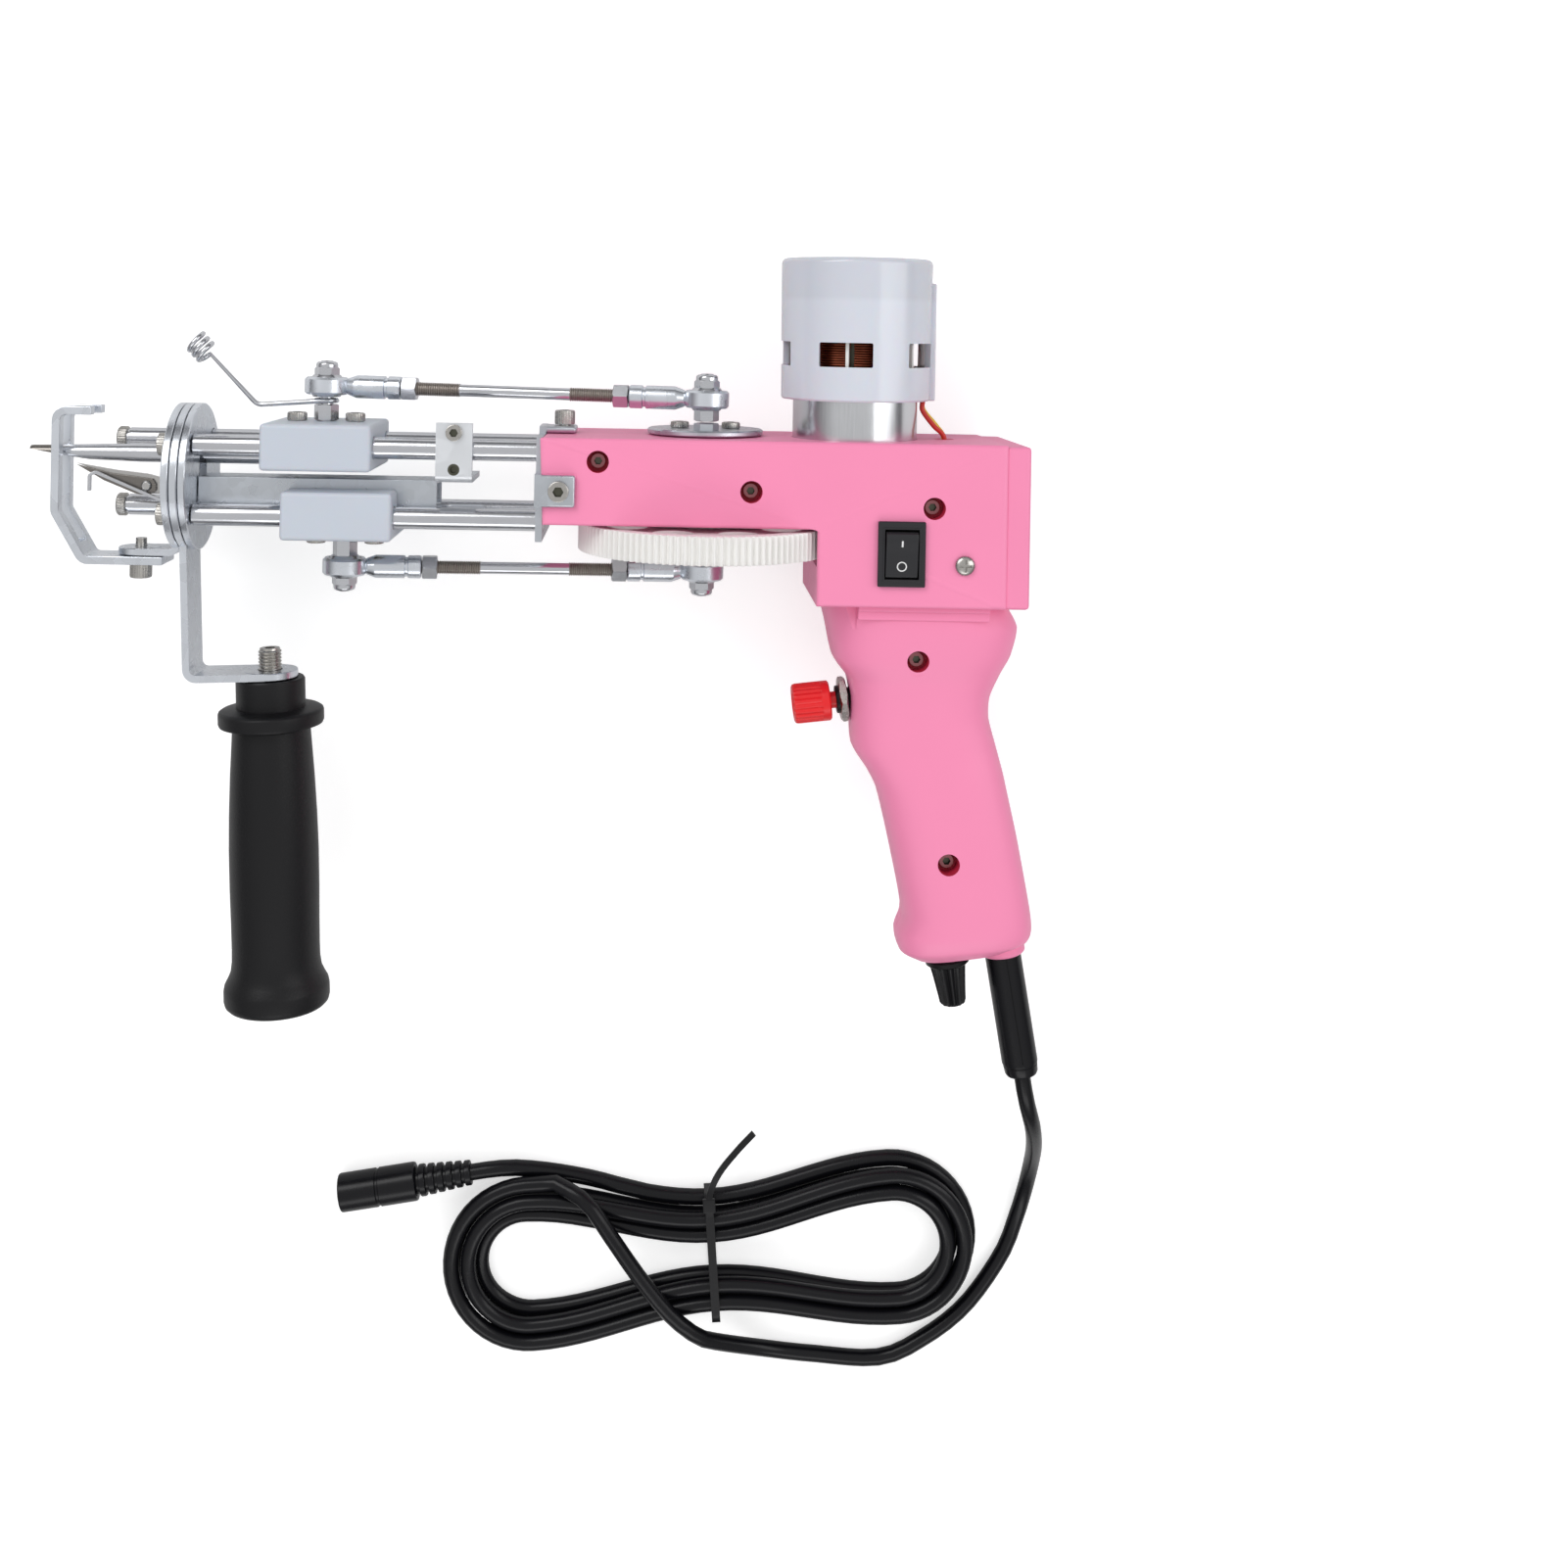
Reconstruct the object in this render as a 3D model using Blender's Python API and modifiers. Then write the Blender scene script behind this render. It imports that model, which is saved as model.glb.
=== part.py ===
# Handheld tufting machine with a hollow needle, scissors, two crank-driven slides and a direct-current lead.
#
# The machine lies on its side. +X runs from the needle to the rear cover, +Y from the grips to the motor
# and +Z up to the side that carries the rocker switch. Sizes are in metres. Inside the machine they are
# measured from the drive shaft's axis, at the joint face of the two housing halves.

import math

import bmesh
import bpy
import numpy as np
from mathutils import Euler, Matrix, Vector

# Clearances
seat_gap = 0.0003
sliding_gap = 0.0003
cut_overrun = 0.002
weld_distance = 0.00001

# Gear train
gear_module = 0.0008
gear_teeth = 112
pinion_teeth = 24
gear_width = 0.0100
gear_floor_gap = 0.0013
gear_hole_count = 8
gear_hole_radius = 0.0072
gear_hole_circle_radius = 0.0300
tooth_tip_half_share = 0.104
tooth_root_half_share = 0.365
addendum_share = 1.0
dedendum_share = 1.25
drive_shaft_radius = 0.0040
crank_radius = 0.0120

# Housing
housing_half_width = 0.0300
housing_wall = 0.0025
housing_top_y = 0.0135
barrel_floor_y = -0.0170
barrel_front_x = -0.0572
block_front_reach = 0.0154
block_back_reach = 0.0500
block_floor_y = -0.0438
housing_edge_radius = 0.0012
motor_web_thickness = 0.0030
gear_slot_margin = 0.0020
rear_cover_depth = 0.0085
rear_cover_inset = 0.0005
lead_hole_x = 0.0870
lead_hole_radius = 0.0038

# Housing screws, and the bosses that they join
boss_radius = 0.0050
recess_radius = 0.0039
recess_depth = 0.0075
housing_screw_radius = 0.0015
housing_screw_head_radius = 0.0031
housing_screw_head_height = 0.0024
housing_screw_bite = 0.0080
barrel_screw_front_x = -0.0381
barrel_screw_front_y = 0.0054
barrel_screw_middle_x = 0.0156
barrel_screw_middle_y = -0.0042
block_screw_x = 0.0795
block_screw_y = -0.0089
grip_screw_upper_x = 0.0759
grip_screw_upper_share = 0.1538
grip_screw_lower_x = 0.0886
grip_screw_lower_share = 0.7131
grip_screw_upper_face = 0.0223
grip_screw_lower_face = 0.0180
pan_screw_x = 0.0903
pan_screw_y = -0.0285
pan_screw_head_radius = 0.0035
pan_screw_head_height = 0.0021
pan_screw_length = 0.0100

# Rear grip: each row is (front down, front forward, back down, back forward, half thickness), as shares
# of grip_length, grip_reach and grip_half_thickness
grip_length = 0.1300
grip_reach = 0.0820
grip_half_thickness = 0.0180
grip_shares = (
    (-0.070, 0.018, -0.070, 0.800, 1.36),
    (0.008, 0.045, 0.006, 0.857, 1.36),
    (0.074, 0.071, 0.071, 0.910, 1.32),
    (0.168, 0.105, 0.148, 0.885, 1.22),
    (0.222, 0.167, 0.205, 0.838, 1.12),
    (0.272, 0.185, 0.265, 0.798, 1.06),
    (0.333, 0.187, 0.326, 0.794, 1.02),
    (0.417, 0.198, 0.403, 0.828, 1.00),
    (0.478, 0.261, 0.479, 0.862, 1.00),
    (0.545, 0.315, 0.541, 0.885, 1.00),
    (0.684, 0.371, 0.663, 0.930, 1.00),
    (0.872, 0.433, 0.847, 0.988, 1.00),
    (0.938, 0.406, 0.908, 1.000, 0.98),
    (0.981, 0.421, 0.940, 0.985, 0.90),
    (1.004, 0.489, 0.968, 0.902, 0.70),
)
grip_section_points = 9
grip_squareness = 3.2
grip_wall = 0.0028
trigger_relief_x = 0.0478
trigger_relief_y = -0.0440
trigger_relief_width = 0.0062
trigger_relief_length = 0.0150
trigger_relief_floor = 0.0203

# Shaft bearings
bearing_radius = 0.0080
bearing_width = 0.0050
saddle_half_length = 0.0120

# Crank disc and its fasteners
crank_disc_radius = 0.0210
crank_disc_thickness = 0.0020
crank_disc_lift = 0.0005
crank_nut_radius = 0.0045
crank_nut_height = 0.0026
disc_screw_circle_radius = 0.0093
disc_screw_head_radius = 0.0034
disc_screw_head_height = 0.0024
disc_screw_radius = 0.0020

# Rod ends, studs and connecting rods
ball_radius = 0.00635
ball_half_width = 0.0040
eye_radius = 0.0080
eye_half_thickness = 0.00315
eye_chamfer = 0.0008
stud_radius = 0.0025
stud_spacer_radius = 0.0045
stud_shank = 0.0055
lock_nut_radius = 0.0046
lock_nut_height = 0.0051
rod_end_neck_radius = 0.0031
rod_end_body_radius = 0.0042
rod_end_body_start = 0.0105
rod_end_length = 0.0278
rod_end_bore_depth = 0.0150
connecting_rod_radius = 0.0022
rod_thread_radius = 0.0025
rod_thread_length = 0.0200
jam_nut_radius = 0.0046
jam_nut_width = 0.0055
needle_rod_length = 0.1387
blade_rod_length = 0.1311
needle_ball_y = 0.0291
needle_crank_ball_y = 0.0271
blade_ball_y = -0.0365
blade_crank_ball_y = -0.0378

# Guide rods and front plates
guide_rod_radius = 0.0039
guide_spacing_z = 0.0150
guide_upper_y = 0.0078
guide_lower_y = -0.0170
post_length = 0.0265
post_ring_radius = 0.0043
post_ring_width = 0.0035
post_ring_chamfer = 0.0006
plate_radius = 0.0266
plate_thickness = 0.0026
plates_room = 0.0129
window_half_width = 0.0055
fold_inset = 0.0001
window_top_y = 0.0080
window_bottom_y = -0.0165
plate_screw_head_radius = 0.0041
plate_screw_head_height = 0.0034
plate_screw_radius = 0.0024

# Slides
slide_length = 0.0395
slide_half_width = 0.0225
slide_edge_radius = 0.0015
needle_slide_top_y = 0.0162
needle_slide_bottom_y = -0.0005
blade_slide_top_y = -0.0077
blade_slide_bottom_y = -0.0250
slide_screw_spacing = 0.0212
slide_screw_head_radius = 0.0036
slide_screw_head_height = 0.0032
slide_screw_radius = 0.0020
slide_screw_depth = 0.0050

# Guide channel between the slides, and its bracket on the rods
channel_front_gap = 0.0003
channel_back_inset = 0.0008
channel_top_y = -0.0040
channel_bottom_y = -0.0139
channel_half_width = 0.0080
channel_wall = 0.0016
channel_bracket_room = 0.0107
channel_bracket_width = 0.0130
channel_bracket_top_y = 0.0175
channel_bracket_thickness = 0.0020
channel_bracket_screw_radius = 0.0032
channel_bracket_screw_height = 0.0020
channel_bracket_screw_y = 0.0141
channel_bracket_hole_radius = 0.0021
channel_bracket_hole_y = 0.0010

# Rear bracket, between the guide rods and the housing
rear_bracket_thickness = 0.0024
rear_bracket_bottom_y = -0.0236
rear_bracket_half_width = 0.0245
rear_bracket_tab_width = 0.0114
rear_bracket_tab_length = 0.0115
rear_bracket_tab_y = -0.0049
rear_bracket_tab_seat_depth = 0.0001
rear_bracket_top_length = 0.0105
rear_bracket_top_half_width = 0.0085
bracket_screw_head_radius = 0.0037
bracket_screw_head_height = 0.0052
bracket_screw_radius = 0.0021
bracket_screw_depth = 0.0045
bracket_top_screw_inset = 0.0060
bracket_side_screw_inset = 0.0057

# Needle
needle_tip_reach = 0.0627
needle_y = 0.0035
needle_back_radius = 0.0034
needle_front_radius = 0.0021
needle_taper_length = 0.0400
needle_wall = 0.0007
needle_mouth_length = 0.0270
needle_holder_half_width = 0.0052
needle_holder_top_y = 0.0092
needle_holder_length = 0.0150
needle_holder_reach = 0.0010

# Yarn guide on the stud of the needle's slide
yarn_wire_radius = 0.0009
yarn_ring_room = 0.0027
yarn_ring_turn = math.radians(285)
yarn_bend_reach = 0.0244
yarn_bend_y = 0.0219
yarn_bend_radius = 0.0040
yarn_eyelet_reach = 0.0418
yarn_eyelet_y = 0.0400
yarn_eyelet_radius = 0.0038
yarn_eyelet_pitch = 0.0024
yarn_eyelet_turns = 3

# Scissors
scissor_pivot_reach = 0.0202
scissor_pivot_y = -0.0085
scissor_thickness = 0.0010
scissor_reach = 0.0260
scissor_heel_width = 0.0070
scissor_rivet_radius = 0.0020
scissor_rivet_height = 0.0006
scissor_grip = 0.0080
fixed_blade_shares = (
    (1.000, 1.130),
    (0.450, 0.800),
    (0.000, 0.620),
    (-0.250, 0.400),
    (-0.920, 0.300),
    (-0.920, -0.420),
    (0.000, -0.420),
    (0.120, -0.300),
    (0.500, 0.420),
)
moving_blade_shares = (
    (0.980, 1.050),
    (0.500, 0.620),
    (0.100, 0.440),
    (-0.080, 0.360),
    (-0.130, 0.100),
    (-0.130, -0.250),
    (-0.060, -0.420),
    (0.060, -0.470),
    (0.160, -0.400),
    (0.600, 0.250),
)
blade_bar_half_width = 0.0042
blade_bar_height = 0.0062
blade_bar_reach = 0.0037
hook_thickness = 0.0011
hook_width = 0.0018
hook_z = 0.0029
hook_grip = 0.0080
hook_start_y = -0.0153
hook_start_reach = 0.0097
hook_front_reach = 0.0382
hook_tip_y = -0.0036
hook_tip_reach = 0.0022
hook_tip_drop = 0.0068
hook_bend_radius = 0.0010

# Presser foot
foot_bar_thickness = 0.0030
foot_half_width = 0.0086
foot_gap_half_width = 0.0041
foot_front_reach = 0.0513
foot_hook_y = 0.0189
foot_hook_length = 0.0127
foot_bend_y = -0.0176
foot_sole_y = -0.0349
foot_sole_start_reach = 0.0411
foot_sole_end_reach = 0.0122
foot_bend_radius = 0.0035
foot_screw_reach = 0.0220
foot_screw_head_radius = 0.0040
foot_screw_head_height = 0.0053
foot_screw_radius = 0.0020
foot_screw_rise = 0.0036
carrier_tab_half_width = 0.0080

# Front handle and its bracket
handle_lean = math.radians(2.2)
handle_bracket_half_width = 0.0100
handle_bracket_thickness = 0.0028
handle_seat_setback = 0.0258
handle_seat_y = -0.0760
handle_foot_reach = 0.0283
handle_bracket_bend_radius = 0.0036
handle_stud_radius = 0.0042
handle_stud_rise = 0.0078
handle_length = 0.1190
handle_radius = 0.0158
handle_shares = (
    (0.000, 0.790),
    (0.088, 0.790),
    (0.094, 1.140),
    (0.104, 1.190),
    (0.135, 1.190),
    (0.152, 0.880),
    (0.300, 0.960),
    (0.520, 1.020),
    (0.740, 1.000),
    (0.860, 1.000),
    (0.905, 1.060),
    (0.935, 1.190),
    (0.975, 1.200),
    (0.995, 1.120),
    (1.000, 0.940),
    (1.000, 0.000),
)

# Motor
motor_can_radius = 0.0225
motor_can_depth = 0.0165
motor_can_rise = 0.0150
motor_can_wall = 0.0020
motor_rotor_radius = 0.0150
motor_rotor_room = 0.0015
motor_cap_radius = 0.0268
motor_cap_top_radius = 0.0274
motor_cap_height = 0.0510
motor_cap_wall = 0.0020
motor_cap_lap = 0.0010
motor_rib_half_width = 0.0050
motor_rib_depth = 0.0017
motor_rib_length = 0.0425
motor_window_width = 0.0190
motor_window_height = 0.0086
motor_window_rise = 0.0165
motor_window_count = 5
motor_window_turn = math.radians(-14)
stator_radius = 0.0215
stator_height = 0.0300
stator_slots = 9
stator_slot_shares = ((1.0, -0.38), (1.0, 0.38), (0.8, 0.44), (0.8, 0.56))
rotor_shaft_radius = 0.0025
motor_lead_radius = 0.0015
motor_lead_bend_radius = 0.0030

# Rocker switch
rocker_x = 0.0681
rocker_y = -0.0248
rocker_bezel_width = 0.0166
rocker_bezel_height = 0.0228
rocker_bezel_thickness = 0.0016
rocker_width = 0.0112
rocker_height = 0.0166
rocker_frame = 0.0008
rocker_depth = 0.0150
rocker_body_half_width = 0.0075
rocker_body_half_height = 0.0106
rocker_low_end = 0.0014
rocker_middle_rise = 0.0024
rocker_high_end = 0.0036

# Trigger button
trigger_x = 0.0404
trigger_down_share = 0.3031
trigger_drop_angle = math.radians(7)
trigger_cap_radius = 0.0072
trigger_cap_length = 0.0136
trigger_cap_edge = 0.0008
trigger_wall_reach = 0.0132
trigger_stem_radius = 0.0030
trigger_travel = 0.0018
trigger_bush_radius = 0.0050
trigger_bush_collar = 0.0015
trigger_thread_radius = 0.0042
trigger_nut_radius = 0.0085
trigger_nut_width = 0.0028
trigger_body_radius = 0.0058
trigger_body_length = 0.0120

# Speed control
speed_x = 0.0910
speed_down_share = 0.9915
speed_tilt = math.radians(9)
speed_knob_radius = 0.0065
speed_knob_tip_radius = 0.0046
speed_knob_length = 0.0150
speed_knob_flange_radius = 0.0079
speed_knob_flange_width = 0.0022
speed_knob_flutes = 12
speed_knob_flute_share = 0.12
speed_nut_radius = 0.0058
speed_nut_width = 0.0014
speed_bush_radius = 0.0034
speed_body_radius = 0.0080
speed_body_length = 0.0070
speed_shaft_radius = 0.0020
speed_knob_lift = 0.0004

# Cord outlet and strain relief
outlet_x = 0.1117
outlet_down_share = 0.9938
outlet_tilt = math.radians(10)
outlet_boss_radius = 0.0082
outlet_boss_rise = 0.0075
relief_radius = 0.0065
relief_length = 0.0450
relief_seat_depth = 0.0050
relief_tip_radius = 0.0058

# Cord
cord_radius = 0.0030
cord_rest_gap = 0.00005
hank_x = 0.0093
hank_drop = 0.1301
hank_turn = math.radians(4.5)
hank_half_length = 0.1045
hank_inner_fold_radius = 0.0180
hank_step = 0.00672
hank_layer_rise = 0.0066
hank_waist_draw = 0.0110
hank_turns = 94 / 24
hank_start_station = 3
hank_stations = 24
hank_tail_angle = math.radians(17)
tie_half_width = 0.0016
tie_thickness = 0.0009
tie_room = 0.0015
connector_x = -0.0842
connector_drop = 0.1013
connector_turn = math.radians(10)
connector_radius = 0.0070
connector_length = 0.0300
connector_relief_radius = 0.0058
connector_relief_length = 0.0210
connector_bore_radius = 0.0028
connector_bore_depth = 0.0100
connector_edge = 0.0008
connector_ribs = 4

# Places that the free cord passes, as (x, drop under the grip's end, height over the table)
lead_route = (
    (0.1222, 0.0562, 0.0442),
    (0.1255, 0.0662, 0.0380),
    (0.1286, 0.0782, 0.0265),
    (0.1303, 0.0902, 0.0145),
    (0.1300, 0.1032, 0.0063),
    (0.1273, 0.1162, 0.0033),
    (0.1216, 0.1315, 0.00305),
    (0.1080, 0.1512, 0.00305),
    (0.0920, 0.1642, 0.00305),
    (0.0748, 0.1721, 0.00305),
    (0.0486, 0.1711, 0.00305),
    (0.0304, 0.1686, 0.0045),
    (0.0097, 0.1612, 0.0133),
    (0.0024, 0.1567, 0.0168),
    (-0.0073, 0.1484, 0.0178),
    (-0.0184, 0.1353, 0.0178),
    (-0.0296, 0.1201, 0.0174),
    (-0.0386, 0.1083, 0.0162),
    (-0.0479, 0.1042, 0.0122),
)
tail_route = (
    (-0.0380, 0.1045, 0.00305),
    (-0.0540, 0.1016, 0.0039),
    (-0.0680, 0.0997, 0.0060),
)

# Places that follow from the sizes above
gear_pitch_radius = gear_module * gear_teeth / 2
pinion_pitch_radius = gear_module * pinion_teeth / 2
motor_x = gear_pitch_radius + pinion_pitch_radius
gear_tip_radius = gear_pitch_radius + gear_module * addendum_share
gear_top_y = barrel_floor_y - gear_floor_gap
gear_bottom_y = gear_top_y - gear_width
block_front_x = motor_x - block_front_reach
block_back_x = motor_x + block_back_reach
crank_disc_bottom_y = housing_top_y + crank_disc_lift
crank_disc_top_y = crank_disc_bottom_y + crank_disc_thickness
needle_ball_x = -math.sqrt(
    needle_rod_length**2 - crank_radius**2 - (needle_ball_y - needle_crank_ball_y) ** 2
)
blade_ball_x = -math.sqrt(
    blade_rod_length**2 - crank_radius**2 - (blade_ball_y - blade_crank_ball_y) ** 2
)
plate_y = (guide_upper_y + guide_lower_y) / 2
plates_back_x = needle_ball_x - slide_length / 2 - crank_radius - plates_room
channel_bracket_x = needle_ball_x + slide_length / 2 + crank_radius + channel_bracket_room
channel_back_x = channel_bracket_x - channel_back_inset
needle_tip_x = plates_back_x - needle_tip_reach
yarn_bend_x = needle_ball_x - yarn_bend_reach
yarn_eyelet_x = needle_ball_x - yarn_eyelet_reach
scissor_pivot_x = plates_back_x - scissor_pivot_reach
blade_bar_front_x = plates_back_x - blade_bar_reach
hook_start_x = plates_back_x - hook_start_reach
hook_tip_x = plates_back_x - hook_front_reach
foot_front_x = plates_back_x - foot_front_reach
foot_sole_start_x = plates_back_x - foot_sole_start_reach
foot_sole_end_x = plates_back_x - foot_sole_end_reach
foot_screw_x = plates_back_x - foot_screw_reach
handle_seat_x = plates_back_x + handle_seat_setback
grip_end_y = block_floor_y - grip_length
grip_screw_upper_y = block_floor_y - grip_length * grip_screw_upper_share
grip_screw_lower_y = block_floor_y - grip_length * grip_screw_lower_share
trigger_y = block_floor_y - grip_length * trigger_down_share
speed_y = block_floor_y - grip_length * speed_down_share
outlet_y = block_floor_y - grip_length * outlet_down_share
hank_y = grip_end_y - hank_drop
connector_y = grip_end_y - connector_drop
rear_plate_x = plates_back_x - plate_thickness / 2
bracket_plate_x = plates_back_x - plate_thickness - seat_gap - handle_bracket_thickness / 2
carrier_plate_x = bracket_plate_x - handle_bracket_thickness / 2 - seat_gap - plate_thickness / 2
handle_seat_place = (handle_seat_x, handle_seat_y)
handle_corner = (
    handle_seat_x - handle_foot_reach * math.cos(handle_lean),
    handle_seat_y - handle_foot_reach * math.sin(handle_lean),
)
carrier_tab_y = foot_sole_y + (foot_bar_thickness + plate_thickness) / 2 + seat_gap
guide_back_x = barrel_front_x - seat_gap
bracket_top_screw_x = barrel_front_x + bracket_top_screw_inset
bracket_side_screw_x = barrel_front_x + bracket_side_screw_inset
motor_can_bottom_y = housing_top_y - motor_can_depth
motor_can_top_y = housing_top_y + motor_can_rise
motor_web_top_y = motor_can_bottom_y - seat_gap
motor_web_bottom_y = motor_web_top_y - motor_web_thickness
table_z = -gear_tip_radius
cord_rest_z = table_z + cord_radius + cord_rest_gap
hank_radius = hank_inner_fold_radius + hank_step * hank_turns / 2
hank_lobe_x = hank_half_length - cord_radius - hank_radius
housing_screw_places = (
    (barrel_screw_front_x, barrel_screw_front_y, housing_half_width),
    (barrel_screw_middle_x, barrel_screw_middle_y, housing_half_width),
    (block_screw_x, block_screw_y, housing_half_width),
    (grip_screw_upper_x, grip_screw_upper_y, grip_screw_upper_face),
    (grip_screw_lower_x, grip_screw_lower_y, grip_screw_lower_face),
)

# How a shape that is made along Z is turned to lie along X, Y or Z
along = {
    "x": Euler((0, math.pi / 2, 0)).to_matrix().to_4x4(),
    "y": Euler((-math.pi / 2, 0, 0)).to_matrix().to_4x4(),
    "z": Matrix.Identity(4),
}
fine_steps = 28
small_steps = 14


def clear_scene():
    for obj in list(bpy.data.objects):
        bpy.data.objects.remove(obj, do_unlink=True)


clear_scene()
machine_parts = bpy.data.collections.new("tufting_machine")
cutting_tools = bpy.data.collections.new("cutters")
bpy.context.scene.collection.children.link(machine_parts)
bpy.context.scene.collection.children.link(cutting_tools)


def make_material(name, color, roughness, metallic=0.0):
    material = bpy.data.materials.new(name)
    material.use_nodes = True
    shader = material.node_tree.nodes["Principled BSDF"]
    shader.inputs["Base Color"].default_value = (*color, 1.0)
    shader.inputs["Roughness"].default_value = roughness
    shader.inputs["Metallic"].default_value = metallic
    return material


pink_plastic = make_material("pink_plastic", (0.94, 0.27, 0.47), 0.42)
black_plastic = make_material("black_plastic", (0.016, 0.016, 0.018), 0.38)
black_rubber = make_material("black_rubber", (0.020, 0.020, 0.022), 0.55)
white_nylon = make_material("white_nylon", (0.80, 0.80, 0.78), 0.40)
clear_nylon = make_material("milky_nylon", (0.66, 0.70, 0.76), 0.30)
zinc_plate = make_material("zinc_plate", (0.70, 0.72, 0.74), 0.28, 1.0)
steel = make_material("steel", (0.56, 0.57, 0.58), 0.22, 1.0)
dark_steel = make_material("dark_steel", (0.10, 0.095, 0.09), 0.35, 1.0)
red_plastic = make_material("red_plastic", (0.75, 0.012, 0.015), 0.35)
lead_red = make_material("lead_red", (0.62, 0.03, 0.02), 0.45)


def put(obj, material, carrier=None, cutter=False):
    """Gives an object its material, its place under a carrier and its collection."""
    obj.data.materials.clear()
    obj.data.materials.append(material)
    if cutter:
        cutting_tools.objects.link(obj)
        obj.display_type = "WIRE"
        obj.hide_render = True
    else:
        machine_parts.objects.link(obj)
    obj.parent = carrier or frame_body
    return obj


def make_carrier(name, location=(0, 0, 0), rotation=None, parent=None):
    """An empty on a joint's axis, or at a seat, that carries pieces."""
    empty = bpy.data.objects.new(name, None)
    empty.empty_display_size = guide_spacing_z
    machine_parts.objects.link(empty)
    empty.parent = parent
    empty.matrix_local = Matrix.Translation(Vector(location)) @ (
        rotation.to_4x4() if rotation else Matrix.Identity(4)
    )
    return empty


def turn_z(angle):
    return Matrix.Rotation(angle, 4, "Z")


def pointing(direction):
    """Turns +X to a direction."""
    return Vector((1, 0, 0)).rotation_difference(direction).to_matrix().to_4x4()


frame_body = make_carrier("machine_frame")
drive_axis = make_carrier("drive_axis", parent=frame_body)
motor_axis = make_carrier("motor_axis", (motor_x, 0, 0), parent=frame_body)
needle_carriage = make_carrier("needle_carriage", (needle_ball_x, 0, 0), parent=frame_body)
blade_carriage = make_carrier("blade_carriage", (blade_ball_x, 0, 0), parent=frame_body)
needle_rod_turn = pointing(Vector((-needle_ball_x, needle_crank_ball_y - needle_ball_y, crank_radius)))
needle_rod_pivot = make_carrier("needle_rod_pivot", (0, needle_ball_y, 0), needle_rod_turn, needle_carriage)
needle_crank_seat = make_carrier(
    "needle_crank_seat", (needle_rod_length, 0, 0), needle_rod_turn.inverted(), needle_rod_pivot
)
blade_rod_turn = pointing(Vector((-blade_ball_x, blade_crank_ball_y - blade_ball_y, -crank_radius)))
blade_rod_pivot = make_carrier("blade_rod_pivot", (0, blade_ball_y, 0), blade_rod_turn, blade_carriage)
blade_crank_seat = make_carrier(
    "blade_crank_seat", (blade_rod_length, 0, 0), blade_rod_turn.inverted(), blade_rod_pivot
)
scissor_pivot = make_carrier(
    "scissor_pivot", (scissor_pivot_x - blade_ball_x, scissor_pivot_y, 0), parent=blade_carriage
)
handle_axis = make_carrier(
    "handle_axis", (handle_seat_x, handle_seat_y, 0), turn_z(handle_lean), frame_body
)
rocker_pivot = make_carrier("rocker_pivot", (rocker_x, rocker_y, housing_half_width), parent=frame_body)
trigger_seat = make_carrier("trigger_seat", (trigger_x, trigger_y, 0), turn_z(trigger_drop_angle), frame_body)
trigger_axis = make_carrier("trigger_axis", (trigger_x, trigger_y, 0), turn_z(trigger_drop_angle), frame_body)
speed_seat = make_carrier("speed_seat", (speed_x, speed_y, 0), turn_z(speed_tilt), frame_body)
knob_axis = make_carrier("knob_axis", (speed_x, speed_y, 0), turn_z(speed_tilt), frame_body)
outlet_axis = make_carrier("outlet_axis", (outlet_x, outlet_y, 0), turn_z(outlet_tilt), frame_body)
connector_axis = make_carrier(
    "connector_axis", (connector_x, connector_y, table_z + connector_radius + cord_rest_gap),
    turn_z(math.pi + connector_turn), frame_body,
)
hank_matrix = Matrix.Translation((hank_x, hank_y, 0)) @ turn_z(hank_turn)
cord_names = ("cord_lead", "cord_hank", "cord_tail", "cord_tie", "dc_connector")


def mesh_object(name, bm, material, carrier=None, cutter=False, smooth=True):
    mesh = bpy.data.meshes.new(name)
    bm.to_mesh(mesh)
    bm.free()
    if smooth:
        mesh.shade_smooth()
        mesh.set_sharp_from_angle(angle=math.radians(35))
    return put(bpy.data.objects.new(name, mesh), material, carrier, cutter)


def box(name, low, high, material=pink_plastic, carrier=None, cutter=False, edge=0):
    """A box between two corners, with its edges rounded where edge is given."""
    low, high = Vector(low), Vector(high)
    bm = bmesh.new()
    size = Matrix.Diagonal((*(high - low), 1))
    bmesh.ops.create_cube(bm, size=1, matrix=Matrix.Translation((low + high) / 2) @ size)
    obj = mesh_object(name, bm, material, carrier, cutter)
    if edge:
        round_edges(obj, edge)
    return obj


def cylinder(name, radius, start, end, axis, place, material=steel, carrier=None, cutter=False,
             steps=small_steps, end_radius=None):
    """A round bar along one axis, from start to end on it, at the two other coordinates in place."""
    bm = bmesh.new()
    matrix = axis_matrix(axis, place, (start + end) / 2)
    bmesh.ops.create_cone(
        bm,
        cap_ends=True,
        segments=steps,
        radius1=radius,
        radius2=radius if end_radius is None else end_radius,
        depth=end - start,
        matrix=matrix,
    )
    return mesh_object(name, bm, material, carrier, cutter)


def axis_matrix(axis, place, middle):
    """Turns Z to the axis, at the two other coordinates in place and at middle along it."""
    a, b = place
    centre = {"x": (middle, a, b), "y": (a, middle, b), "z": (a, b, middle)}[axis]
    return Matrix.Translation(Vector(centre)) @ along[axis]


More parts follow.
